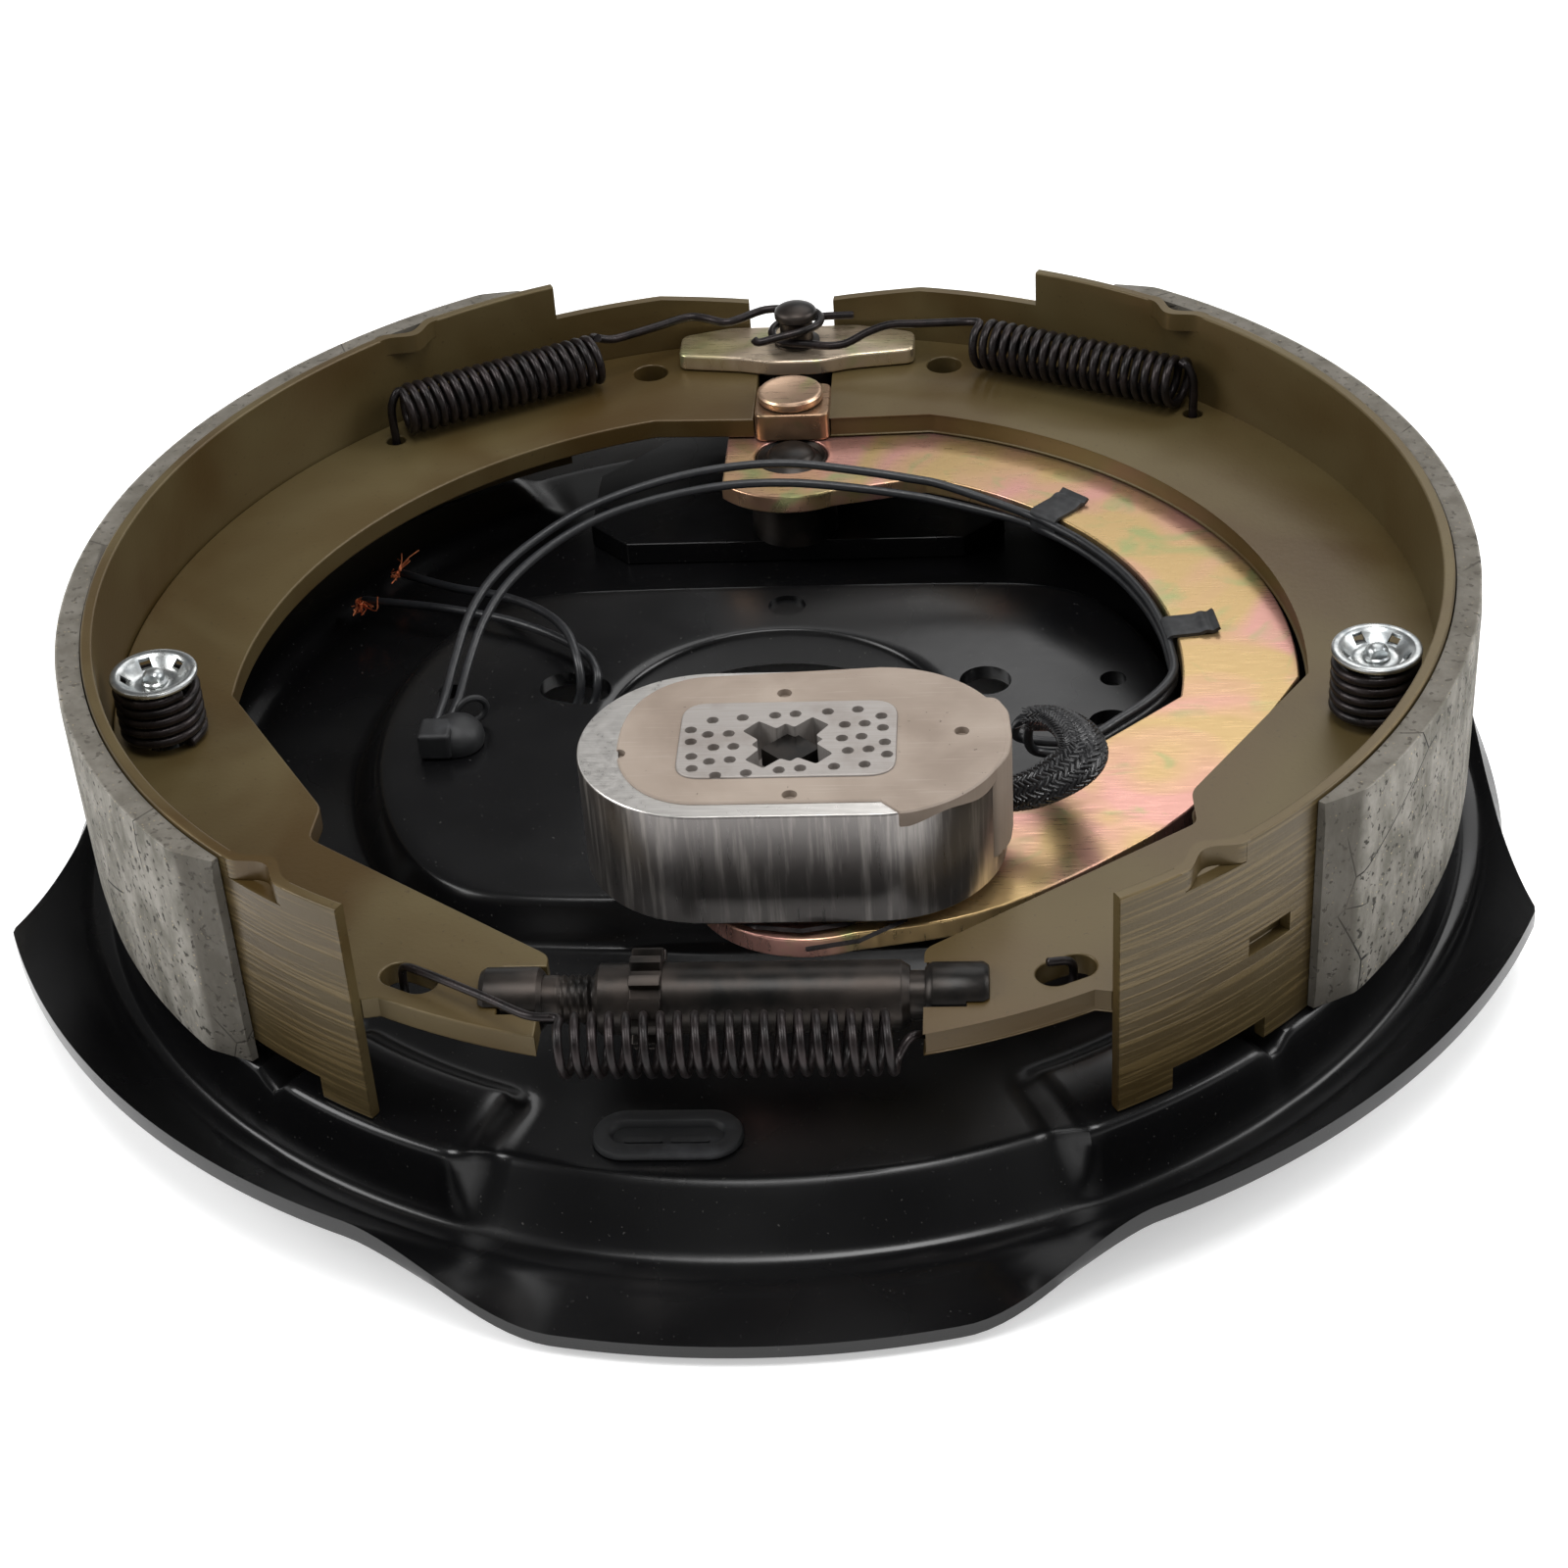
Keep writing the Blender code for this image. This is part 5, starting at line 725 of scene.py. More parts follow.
def nib(deg):
    """The strip above a lanced slit, bowed inward: r = middle - bow * cos^2 of its share of the half span."""
    turn = np.linspace(-NIB_HALF_DEG - 0.4, NIB_HALF_DEG + 0.4, 25)
    bow = 3.4 * mm * np.cos(np.clip(turn / NIB_HALF_DEG, -1, 1) * math.pi / 2) ** 2
    angle = np.radians(deg + turn)
    outer, inner = TABLE_OUTER - 0.05 * mm - bow, TABLE_INNER + 0.05 * mm - bow
    outside = np.stack([outer * np.cos(angle), outer * np.sin(angle)], -1)
    inside = np.stack([inner * np.cos(angle), inner * np.sin(angle)], -1)
    return np.concatenate([outside, inside[::-1]])


def mirrored(outline, side):
    """The same outline for the right shoe, or its mirror image for the left one."""
    outline = np.asarray(outline, float)
    return outline if side > 0 else outline[::-1] * np.array([-1.0, 1.0])


def web_outline(horn_deg):
    """Straight end, arc along the table, tail with the adjuster's notch and the round inner edge."""
    tail_x, tail_r, notch_x, notch_y, notch_half = 36.0 * mm, 141.5 * mm, 44.0 * mm, -123.0 * mm, 7.0 * mm
    back = ring((0, 0), TABLE_INNER - 0.3 * mm, 150, horn_deg, TABLE_END_DEG)
    tail = ring((0, 0), tail_r, 12, -61.7, -math.degrees(math.acos(tail_x / tail_r)))
    notch = [(tail_x, notch_y - notch_half), (notch_x, notch_y - notch_half), (notch_x, notch_y + notch_half),
             (tail_x, notch_y + notch_half)]
    waist = rounded([(tail_x, notch_y + notch_half), (tail_x, -112.5 * mm), (89.5 * mm, -73.3 * mm),
                     (89.0 * mm, -62.6 * mm), (116.1 * mm, -19.9 * mm)], 2.0 * mm)[1:-1]
    inner = ring((0, -10.6 * mm), 116.5 * mm, 90, -4.6, 73.0)
    return np.concatenate([[(9.6 * mm, back[0][1])], back, tail, notch, waist, inner, [(9.6 * mm, 100 * mm)]])


lacquer, lining_looks = shoe_lacquer(), friction_block()
table_low, table_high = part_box("right_table")[0][2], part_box("right_table")[1][2]
horn_low, horn_top = web_mid - HORN_HALF, web_mid + HORN_HALF
for name, side, horn_deg, lining_deg, coil_start, coil_end in (
        ("right", 1, 86.4, (-41.6, 57.1), (93.0 * mm, 100.0 * mm), (46.7 * mm, 123.4 * mm)),
        ("left", -1, 85.0, (-48.5, 62.0), (-93.0 * mm, 97.0 * mm), (-49.3 * mm, 121.0 * mm))):
    shoe = name + "_shoe"
    start, end = np.array(coil_start), np.array(coil_end)
    hook = start + (start - end) / np.linalg.norm(start - end) * 6.0 * mm
    holes = [mirrored(slot_outline((62.0 * mm, -119.0 * mm), 12.0 * mm, 7.0 * mm, 27.5), side),
             ring((side * 37.5 * mm, 126.6 * mm), 4.35 * mm), ring((side * HOLD_X, HOLD_Y), 5.5 * mm),
             ring(hook, 2.4 * mm, 24)]
    web = piece(name + "_shoe_web", lacquer, blank(mirrored(web_outline(horn_deg), side), web_low, web_high,
                                                   0.45 * mm, *holes))
    carve(web, prism(ring((0, ANCHOR_Y), 11.3 * mm, 96), web_low - 2 * mm, web_high + 2 * mm))
    place_piece(level_faces(web), "gold_lacquer", shoe, name + "_web")

    section = rounded([(TABLE_INNER, table_low), (TABLE_OUTER, table_low), (TABLE_OUTER, table_high),
                       (TABLE_INNER, table_high)], 0.5 * mm, 3, closed=True)
    table = piece(name + "_shoe_table", lacquer, carried_ring(section, np.linspace(TABLE_END_DEG, horn_deg, 260)))
    cut_in, cut_out = TABLE_INNER - 5 * mm, TABLE_OUTER + 5 * mm
    cuts = [prism(sector(cut_in, cut_out, HORN_FROM_DEG, horn_deg + 5), 0, horn_low),
            prism(sector(cut_in, cut_out, HORN_FROM_DEG, horn_deg + 5), horn_top, 100 * mm),
            prism(sector(cut_in, cut_out, *TAIL_CUT_DEG), 0, table_low + TAIL_CUT_HEIGHT)]
    slit = table_high - NIB_HEIGHT
    cuts += [prism(sector(cut_in, cut_out, deg - NIB_HALF_DEG, deg + NIB_HALF_DEG), slit, 100 * mm)
             for deg in NIB_DEG]
    if side > 0:
        cuts.append(prism(sector(cut_in, cut_out, *WEB_SLOT_DEG), web_mid - WEB_SLOT_HALF, web_mid + WEB_SLOT_HALF))
    carve(table, *cuts)
    # The horn's top falls towards its end. This cutter meets one of the others, so it cuts by itself.
    fall_from, fall_to = horn_deg - HORN_FALL_DEG, horn_deg + 1
    fall = np.array([polar(TABLE_OUTER + 3 * mm, fall_from), polar(TABLE_INNER - 3 * mm, fall_from),
                     polar(TABLE_INNER - 3 * mm, fall_to), polar(TABLE_OUTER + 3 * mm, fall_to)])
    fall_low = np.array([horn_top + 0.01 * mm, horn_top + 0.01 * mm, horn_top - HORN_FALL, horn_top - HORN_FALL])
    carve(table, stack([fall, fall], [fall_low, horn_top + 5 * mm]))
    carve(table, *[prism(nib(deg), slit + 0.15 * mm, table_high) for deg in NIB_DEG], operation="UNION")
    if side < 0:
        table.data.transform(Matrix.Scale(-1, 4, (1, 0, 0)))
        settle(table.data)
    place_piece(level_faces(table), "gold_lacquer", shoe, name + "_table")

    first, last = lining_deg
    degrees = np.concatenate([np.linspace(first, first + 4, 8), np.linspace(first + 4, last - 4, 160)[1:-1],
                              np.linspace(last - 4, last, 8)])
    chamfer = np.minimum(1, np.minimum(degrees - first, last - degrees) / LINING_CHAMFER_DEG)
    low, high = table_low + 0.8 * mm, table_high - 0.8 * mm
    inner_r, outer_r = TABLE_OUTER + 0.3 * mm, LINING_OUTER - LINING_CHAMFER * (1 - chamfer[:, None])
    width = np.linspace(0, 1, 12)[None, :]
    across = low + (high - low) * width
    worn = 0.35 * mm * (ease(np.abs(width - 0.5), 0.47, 0.5))
    outer_face = np.stack([np.broadcast_to(outer_r - worn, (len(degrees), 12)),
                           np.broadcast_to(across, (len(degrees), 12))], -1)
    inner_face = np.stack([np.full((len(degrees), 2), inner_r), np.tile([high, low], (len(degrees), 1))], -1)
    block = np.concatenate([outer_face, inner_face], 1)
    angle = np.radians(degrees)[:, None]
    grid = np.stack([side * block[..., 0] * np.cos(angle), block[..., 0] * np.sin(angle), block[..., 1]], -1)
    lining = piece(name + "_shoe_lining", lining_looks, skin(grid, caps=(0, -1)))
    place_piece(lining, "lining", shoe, name + "_lining")


# The hold-downs: on each side a nail through plate and web, a coil of spring wire on the web and a
# dished zinc cup that is pressed onto the coil and turned under the nail's flattened head.

def frames(path):
    """The direction along a path at each point and two directions across it. Each step takes the last
    direction across and removes the part of it that lies along the path."""
    along = np.gradient(path, axis=0)
    along /= np.linalg.norm(along, axis=1, keepdims=True)
    start = np.array([0.0, 0.0, 1.0]) if abs(along[0][2]) < 0.9 else np.array([0.0, 1.0, 0.0])
    across = [start - along[0] * (start @ along[0])]
    across[0] /= np.linalg.norm(across[0])
    for step in along[1:]:
        turned_on = across[-1] - step * (across[-1] @ step)
        across.append(turned_on / np.linalg.norm(turned_on))
    across = np.array(across)
    return along, across, np.cross(along, across)


def tube(path, radius, sides=10, blunt=0.25):
    """A round wire along a path, closed by a bevelled end at both sides."""
    path = np.asarray(path, float)
    along, across, other = frames(path)
    angle = np.linspace(0, 2 * math.pi, sides, endpoint=False)
    circle = across[:, None] * np.cos(angle)[:, None] + other[:, None] * np.sin(angle)[:, None]
    rows = path[:, None] + radius * circle
    ends = [path[k] + sign * along[k] * radius * blunt + radius * (1 - blunt) * circle[k] for k, sign in
            ((0, -1), (-1, 1))]
    return skin(np.concatenate([ends[0][None], rows, ends[1][None]]), caps=(0, -1))


def smooth_path(route, spacing, steps=6):
    """A Catmull-Rom curve through a route, with its end points mirrored, then evenly spaced points on it."""
    route = np.asarray(route, float)
    padded = np.vstack([2 * route[0] - route[1], route, 2 * route[-1] - route[-2]])
    t = np.linspace(0, 1, steps, endpoint=False)[:, None]
    spans = []
    for before, first, second, after in zip(padded, padded[1:], padded[2:], padded[3:]):
        spans.append(0.5 * (2 * first + (second - before) * t
                            + (2 * before - 5 * first + 4 * second - after) * t ** 2
                            + (3 * first - before - 3 * second + after) * t ** 3))
    curve = np.vstack(spans + [route[-1:]])
    length = np.concatenate([[0], np.cumsum(np.linalg.norm(np.diff(curve, axis=0), axis=1))])
    at = np.linspace(0, length[-1], max(4, round(length[-1] / spacing)) + 1)
    return np.stack([np.interp(at, length, curve[:, k]) for k in range(3)], -1)


def coil(start, end, radius, turns, per_turn=10, start_turn=0.25):
    """Points of a helix from one point to another: radius times cosine and sine round the line between."""
    start, end = np.asarray(start, float), np.asarray(end, float)
    line = (end - start) / np.linalg.norm(end - start)
    up = np.array([0.0, 0.0, 1.0]) if abs(line[2]) < 0.9 else np.array([0.0, 1.0, 0.0])
    first = np.cross(up, line)
    first /= np.linalg.norm(first)
    second = np.cross(line, first)
    t = np.linspace(0, 1, round(turns * per_turn) + 1)[:, None]
    angle = 2 * math.pi * (turns * t + start_turn)
    return start + (end - start) * t + radius * (np.cos(angle) * first + np.sin(angle) * second)


def spring_wire_steel():
    """Oil-tempered spring wire: brown-black scale with a soft drawn sheen along the wire."""
    made, tree, shader, place = material("oil_tempered_spring_wire", "#1d1919", 0.3, 0.6)
    cloud = add(tree, "TexNoise", {"Vector": place, "Scale": per(5), "Detail": 3.0}).outputs[0]
    tint = add(tree, "MapRange", {"Value": cloud, "From Min": 0.35, "From Max": 0.65}).outputs[0]
    colour = add(tree, "Mix", {0: tint, 6: linear("#171414"), 7: linear("#2b2424")}, data_type="RGBA").outputs[2]
    tree.links.new(colour, shader.inputs["Base Color"])
    grain = add(tree, "TexNoise", {"Vector": place, "Scale": per(0.5), "Detail": 2.0}).outputs[0]
    rough = add(tree, "MapRange", {"Value": grain, "From Min": 0.3, "From Max": 0.7, "To Min": 0.26, "To Max": 0.44})
    tree.links.new(rough.outputs[0], shader.inputs["Roughness"])
    return made


def bright_zinc_plate():
    """Clear-passivated zinc on pressed steel: silver with a blue cast, softly mottled, fine press lines."""
    made, tree, shader, place = material("clear_passivated_zinc", "#c6cacb", 0.3, 1.0)
    cloud = add(tree, "TexNoise", {"Vector": place, "Scale": per(3.5), "Detail": 4.0}).outputs[0]
    tint = add(tree, "MapRange", {"Value": cloud, "From Min": 0.35, "From Max": 0.65}).outputs[0]
    colour = add(tree, "Mix", {0: tint, 6: linear("#9da2a4"), 7: linear("#d5d7d5")}, data_type="RGBA").outputs[2]
    tree.links.new(colour, shader.inputs["Base Color"])
    rough = add(tree, "MapRange", {"Value": cloud, "From Min": 0.3, "From Max": 0.7, "To Min": 0.38, "To Max": 0.24})
    tree.links.new(rough.outputs[0], shader.inputs["Roughness"])
    dent = add(tree, "TexNoise", {"Vector": place, "Scale": per(2.6), "Detail": 2.0}).outputs[0]
    bump = add(tree, "Bump", {"Height": dent, "Distance": 0.12 * mm, "Strength": 0.5})
    tree.links.new(bump.outputs[0], shader.inputs["Normal"])
    return made


spring_steel, zinc = spring_wire_steel(), bright_zinc_plate()
HOLD_WIRE, HOLD_COIL_R, HOLD_TURNS = 2.3 * mm, 8.1 * mm, 5
WINDOWS, WINDOW_FROM_DEG = 5, 48.0
WINDOW = ((4.9, -1.2), (7.0, -1.2), (7.0, 1.2), (4.9, 1.2))
for name, side in (("right", 1), ("left", -1)):
    at = np.array([side * HOLD_X, HOLD_Y])
    low, high = (box[2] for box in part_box(name + "_hold_down_spring"))
    ends = [(*at, low + HOLD_WIRE / 2), (*at, high - HOLD_WIRE / 2)]
    turns = smooth_path(coil(*ends, HOLD_COIL_R, HOLD_TURNS, start_turn=0.1 * side), 0.8 * mm)
    place_piece(piece(name + "_hold_down_coil", spring_steel, tube(turns, HOLD_WIRE / 2, 14)), "dark_steel", "plate",
                name + "_hold_down_spring")

    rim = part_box(name + "_hold_down_cup")[1][2]
    seat_z, dish, bore = rim - 1.2 * mm, rim - 2.8 * mm, 2.55 * mm
    cup_rows = [(bore, dish + 0.3 * mm), (3.3 * mm, dish), (4.3 * mm, dish), (5.1 * mm, dish + 0.35 * mm),
                (6.8 * mm, rim - 0.8 * mm), (7.5 * mm, rim - 0.15 * mm), (8.0 * mm, rim), (8.8 * mm, rim),
                (9.15 * mm, rim - 0.2 * mm), (9.3 * mm, rim - 0.6 * mm), (9.15 * mm, seat_z + 0.1 * mm),
                (8.7 * mm, seat_z), (7.2 * mm, seat_z), (6.5 * mm, seat_z - 0.4 * mm), (5.2 * mm, dish - 0.9 * mm),
                (4.4 * mm, dish - 1.2 * mm), (bore, dish - 1.2 * mm)]
    cup = piece(name + "_hold_down_dish", zinc, turned(cup_rows, (*at, 0), segments=96, wrap=True))
    windows = []
    for index in range(WINDOWS):
        turn = math.radians(WINDOW_FROM_DEG + 360.0 / WINDOWS * index)
        out = np.array([math.cos(turn), math.sin(turn)])
        across = np.array([-out[1], out[0]])
        outline = [at + r * mm * out + w * mm * across for r, w in WINDOW]
        windows.append(prism(outline, dish + 0.5 * mm, rim - 0.4 * mm))
    place_piece(carve(cup, *windows), "bright_zinc", "plate", name + "_hold_down_cup")

    foot, head = (box[2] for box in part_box(name + "_hold_down_pin"))
    shoulder = head - 3.0 * mm
    nail_rows = [(0, head), (1.0 * mm, head - 0.1 * mm), (1.9 * mm, head - 0.55 * mm), (2.35 * mm, head - 1.3 * mm),
                 (2.4 * mm, shoulder + 0.9 * mm), (2.9 * mm, shoulder + 0.5 * mm), (2.9 * mm, shoulder),
                 (2.2 * mm, shoulder), (2.2 * mm, foot + 1.6 * mm), (3.4 * mm, foot + 1.5 * mm), (3.2 * mm, foot),
                 (0, foot)]
    nail = piece(name + "_hold_down_nail", zinc, turned(nail_rows, (*at, 0), segments=48))
    flats = [prism(slot_outline(at + np.array([0.3 * side, edge]) * 3.25 * mm, 9 * mm, 3.4 * mm, 12.0 * side),
                   shoulder + 0.8 * mm, head + 1 * mm) for edge in (-1, 1)]
    place_piece(carve(nail, *flats), "bright_zinc", "plate", name + "_hold_down_pin")


# The lever: an arm blanked from 4.5 mm sheet, a block riveted on it that spreads the shoes, and two
# clips of spring sheet that hold the leads to its inner edge. The arm, the block and its rivet are yellow passivated.

ARM_AXIS_Y, ARM_INNER, ARM_OUTER = -5.0 * mm, 90.0 * mm, 115.0 * mm
MAGNET_AT = (9.5 * mm, -75.0 * mm)


def arm_outline():
    """Head round the pivot, inner arc, waist, round tip under the magnet, back and outer arc."""
    head = np.array([(12, 118), (-9, 118), (-16.3, 106)]) * mm
    round_head = ring((0, PIVOT_Y), 21.0 * mm, 30, 219, 300)
    inner = ring((0, ARM_AXIS_Y), ARM_INNER, 90, 68.5, -9.0)
    waist = np.array([(68.5, -38.8), (54, -51), (36, -57)]) * mm
    tip = ring((12 * mm, -78 * mm), 24.0 * mm, 60, 60, 293)
    back = np.array([(45.9, -95.2), (65.2, -82.4), (88.7, -62.2)]) * mm
    outer = ring((0, ARM_AXIS_Y), ARM_OUTER, 90, -3.7, 80)
    soft_head = rounded(np.vstack([outer[-1:], head, round_head[:1]]), 2.5 * mm)[1:-1]
    soft_waist = rounded(np.vstack([inner[-1:], waist, tip[:1]]), 9 * mm)[1:-1]
    soft_back = rounded(np.vstack([tip[-1:], back, outer[:1]]), 12 * mm)[1:-1]
    return np.concatenate([soft_head, round_head, inner, soft_waist, tip, soft_back, outer])


CLIP_SHEET, CLIP_HALF = 0.9 * mm, 4.0


def clip_sheet(deg):
    """A strip of spring sheet folded in a C round the arm's inner edge, with a lifted lip on top: the
    folded line of (way in from the edge, height) gets half the sheet's thickness to each side."""
    lift = arm_high + CLIP_SHEET * 0.45
    sheet = [(-8.6, arm_low - 0.75 * mm), (1.2, arm_low - 0.75 * mm), (2.0, arm_low), (2.0, arm_high),
             (1.2, lift), (-5.2, lift), (-6.6, lift + 0.7 * mm), (-7.9, lift + 0.1 * mm), (-9.4, lift + 1.1 * mm)]
    line = rounded(np.array([(ARM_INNER - u * mm, z) for u, z in sheet]), 0.8 * mm, 4)
    step = np.gradient(line, axis=0)
    step /= np.linalg.norm(step, axis=1, keepdims=True)
    normal = np.stack([step[:, 1], -step[:, 0]], -1) * CLIP_SHEET / 2
    angle = math.radians(deg)
    out, across = np.array([math.cos(angle), math.sin(angle)]), np.array([-math.sin(angle), math.cos(angle)])
    rows = []
    for along in (-CLIP_HALF, 0.3 - CLIP_HALF, CLIP_HALF - 0.3, CLIP_HALF):
        grow = 1 - 0.12 * (abs(along) == CLIP_HALF)
        section = np.concatenate([line + normal * grow, (line - normal * grow)[::-1]])
        flat = section[:, :1] * out + along * mm * across + np.array([0, ARM_AXIS_Y])
        rows.append(np.hstack([flat, section[:, 1:]]))
    return skin(np.array(rows), caps=(0, -1))


passivate = yellow_passivate("yellow_passivated_zinc", "#bfa272", "#cb988c", "#93a26c")
block_passivate = yellow_passivate("gold_passivated_zinc", "#8a8358", "#93775f", "#75784f")
rivet_passivate = yellow_passivate("rivet_passivated_zinc", "#b9a27a", "#bd9f86", "#a9a274")
arm = piece("lever_arm_blank", passivate, blank(arm_outline(), arm_low, arm_high, 0.5 * mm,
                                                ring((0, PIVOT_Y), 9.0 * mm, 72), ring(MAGNET_AT, 4.3 * mm, 36)))
place_piece(level_faces(arm), "yellow_zinc", "lever", "lever_arm")

(block_x0, block_y0, block_low), (block_x1, block_y1, block_high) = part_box("cam_block")
block_plan = rounded([(block_x0, block_y0), (block_x1, block_y0), (block_x1, block_y1), (block_x0, block_y1)],
                     2.6 * mm, 6, closed=True)
block = piece("shoe_spreading_block", block_passivate, blank(block_plan, block_low, block_high, 0.6 * mm))
place_piece(level_faces(block), "yellow_zinc", "lever", "cam_block")

rivet_low, rivet_high = (box[2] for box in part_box("cam_rivet"))
rivet_rows = [(0, rivet_high - 0.15 * mm), (6.6 * mm, rivet_high - 0.15 * mm), (7.2 * mm, rivet_high),
              (7.7 * mm, rivet_high - 0.1 * mm), (8.1 * mm, rivet_high - 0.6 * mm), (8.1 * mm, block_high + 0.9 * mm),
              (7.8 * mm, block_high + 0.4 * mm), (4.0 * mm, block_high + 0.3 * mm), (4.0 * mm, rivet_low),
              (0, rivet_low)]
place_piece(piece("block_rivet", rivet_passivate, turned(rivet_rows, (-0.5 * mm, 106.5 * mm, 0), segments=96)),
            "yellow_zinc", "lever", "cam_rivet")


def blacked_clip():
    """Spring sheet with a dull black phosphate coat, worn a little grey at the folds."""
    made, tree, shader, place = material("black_phosphated_clip", "#1b1c1e", 0.6)
    worn = add(tree, "TexNoise", {"Vector": place, "Scale": per(2.2), "Detail": 4.0}).outputs[0]
    tint = add(tree, "MapRange", {"Value": worn, "From Min": 0.45, "From Max": 0.75}).outputs[0]
    colour = add(tree, "Mix", {0: tint, 6: linear("#18191b"), 7: linear("#2f3032")}, data_type="RGBA").outputs[2]
    tree.links.new(colour, shader.inputs["Base Color"])
    bump = add(tree, "Bump", {"Height": worn, "Distance": 0.05 * mm, "Strength": 0.4})
    tree.links.new(bump.outputs[0], shader.inputs["Normal"])
    return made


clip_looks = blacked_clip()
for name, deg in (("upper_clip", 46.0), ("lower_clip", 8.3)):
    place_piece(piece(name + "_sheet", clip_looks, clip_sheet(deg)), "rubber", "lever", name)


# The electromagnet: a drawn steel shell, its rim ground flat with the face, an iron core with a
# cross-shaped mouth and a coil, all potted in tan resin that has run over the rim on one side.

MAGNET_HALF_X, MAGNET_HALF_Y = 42.0 * mm, 25.15 * mm
shell_low, shell_top = (box[2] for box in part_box("magnet_shell"))
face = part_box("magnet_core")[1][2]


def stadium(inset=0.0, count=48):
    """The magnet's outline, a slot with round ends, inset all round."""
    return slot_outline(MAGNET_AT, 2 * (MAGNET_HALF_X - inset), 2 * (MAGNET_HALF_Y - inset), 0.0, count)


def shell_steel():
    """Drawn steel with dull zinc: dark grey, with light drawing streaks down the side, and a rim ground
    bright with the magnet's face."""
    made, tree, shader, place = material("drawn_steel_shell", "#8a8683", 0.3, 0.9)
    streak = add(tree, "Mapping", {"Vector": place, "Scale": (per(1.6), per(1.6), per(26))}).outputs[0]
    lines = add(tree, "TexNoise", {"Vector": streak, "Scale": 1.0, "Detail": 5.0, "Roughness": 0.6}).outputs[0]
    light = add(tree, "MapRange", {"Value": lines, "From Min": 0.5, "From Max": 0.72}).outputs[0]
    colour = add(tree, "Mix", {0: light, 6: linear("#7d7977"), 7: linear("#aaa5a0")}, data_type="RGBA").outputs[2]
    height_at = add(tree, "SeparateXYZ", {0: place}).outputs["Z"]
    ground = add(tree, "MapRange", {"Value": height_at, "From Min": shell_top - 0.25 * mm,
                                    "From Max": shell_top - 0.1 * mm}).outputs[0]
    brush = add(tree, "Mapping", {"Vector": place, "Rotation": (0, 0, 0.5), "Scale": (per(9), per(0.35), 1.0)})
    brushed = add(tree, "TexNoise", {"Vector": brush.outputs[0], "Scale": 1.0, "Detail": 4.0}).outputs[0]
    bright = add(tree, "Mix", {0: brushed, 6: linear("#a9a5a0"), 7: linear("#e2dfdb")}, data_type="RGBA").outputs[2]
    colour = add(tree, "Mix", {0: ground, 6: colour, 7: bright}, data_type="RGBA").outputs[2]
    tree.links.new(colour, shader.inputs["Base Color"])
    rough = add(tree, "MapRange", {"Value": lines, "From Min": 0.3, "From Max": 0.7, "To Min": 0.26, "To Max": 0.4})
    tree.links.new(rough.outputs[0], shader.inputs["Roughness"])
    bump = add(tree, "Bump", {"Height": lines, "Distance": 0.03 * mm, "Strength": 0.3})
    tree.links.new(bump.outputs[0], shader.inputs["Normal"])
    return made


def potting_resin():
    """Filled epoxy, ground with the face: pinkish tan, cloudy, with grinding haze and a few small voids."""
    made, tree, shader, place = material("filled_potting_resin", "#86786c", 0.6)
    cloud = add(tree, "TexNoise", {"Vector": place, "Scale": per(24), "Detail": 4.0, "Distortion": 0.5}).outputs[0]
    tint = add(tree, "MapRange", {"Value": cloud, "From Min": 0.35, "From Max": 0.65}).outputs[0]
    colour = add(tree, "Mix", {0: tint, 6: linear("#7b6d61"), 7: linear("#908377")}, data_type="RGBA").outputs[2]
    brush = add(tree, "Mapping", {"Vector": place, "Rotation": (0, 0, 0.5), "Scale": (per(12), per(0.5), 1.0)})
    haze = add(tree, "TexNoise", {"Vector": brush.outputs[0], "Scale": 1.0, "Detail": 3.0}).outputs[0]
    scratch = add(tree, "MapRange", {"Value": haze, "From Min": 0.58, "From Max": 0.74, "To Max": 0.35}).outputs[0]
    colour = add(tree, "Mix", {0: scratch, 6: colour, 7: linear("#9f958b")}, data_type="RGBA").outputs[2]
    speck = add(tree, "TexNoise", {"Vector": place, "Scale": per(1.3), "Detail": 2.0}).outputs[0]
    void = add(tree, "MapRange", {"Value": speck, "From Min": 0.73, "From Max": 0.77}).outputs[0]
    colour = add(tree, "Mix", {0: void, 6: colour, 7: linear("#4a3e34")}, data_type="RGBA").outputs[2]
    tree.links.new(colour, shader.inputs["Base Color"])
    depth = add(tree, "Math", {0: cloud, 1: void}, operation="SUBTRACT").outputs[0]
    bump = add(tree, "Bump", {"Height": depth, "Distance": 0.15 * mm, "Strength": 0.4})
    tree.links.new(bump.outputs[0], shader.inputs["Normal"])
    return made


def ground_iron():
    """Soft iron ground flat: grey with a brown cast, fine parallel grinding marks and light stains."""
    made, tree, shader, place = material("ground_soft_iron", "#9a948f", 0.5, 0.55)
    brush = add(tree, "Mapping", {"Vector": place, "Rotation": (0, 0, 0.35), "Scale": (per(10), per(0.3), 1.0)})
    marks = add(tree, "TexNoise", {"Vector": brush.outputs[0], "Scale": 1.0, "Detail": 4.0}).outputs[0]
    stain = add(tree, "TexNoise", {"Vector": place, "Scale": per(9), "Detail": 4.0}).outputs[0]
    colour = add(tree, "Mix", {0: marks, 6: linear("#89847f"), 7: linear("#ada7a3")}, data_type="RGBA").outputs[2]
    dull = add(tree, "MapRange", {"Value": stain, "From Min": 0.5, "From Max": 0.68, "To Max": 0.5}).outputs[0]
    colour = add(tree, "Mix", {0: dull, 6: colour, 7: linear("#7f756e")}, data_type="RGBA").outputs[2]
    tree.links.new(colour, shader.inputs["Base Color"])
    bump = add(tree, "Bump", {"Height": marks, "Distance": 0.03 * mm, "Strength": 0.4})
    tree.links.new(bump.outputs[0], shader.inputs["Normal"])
    return made


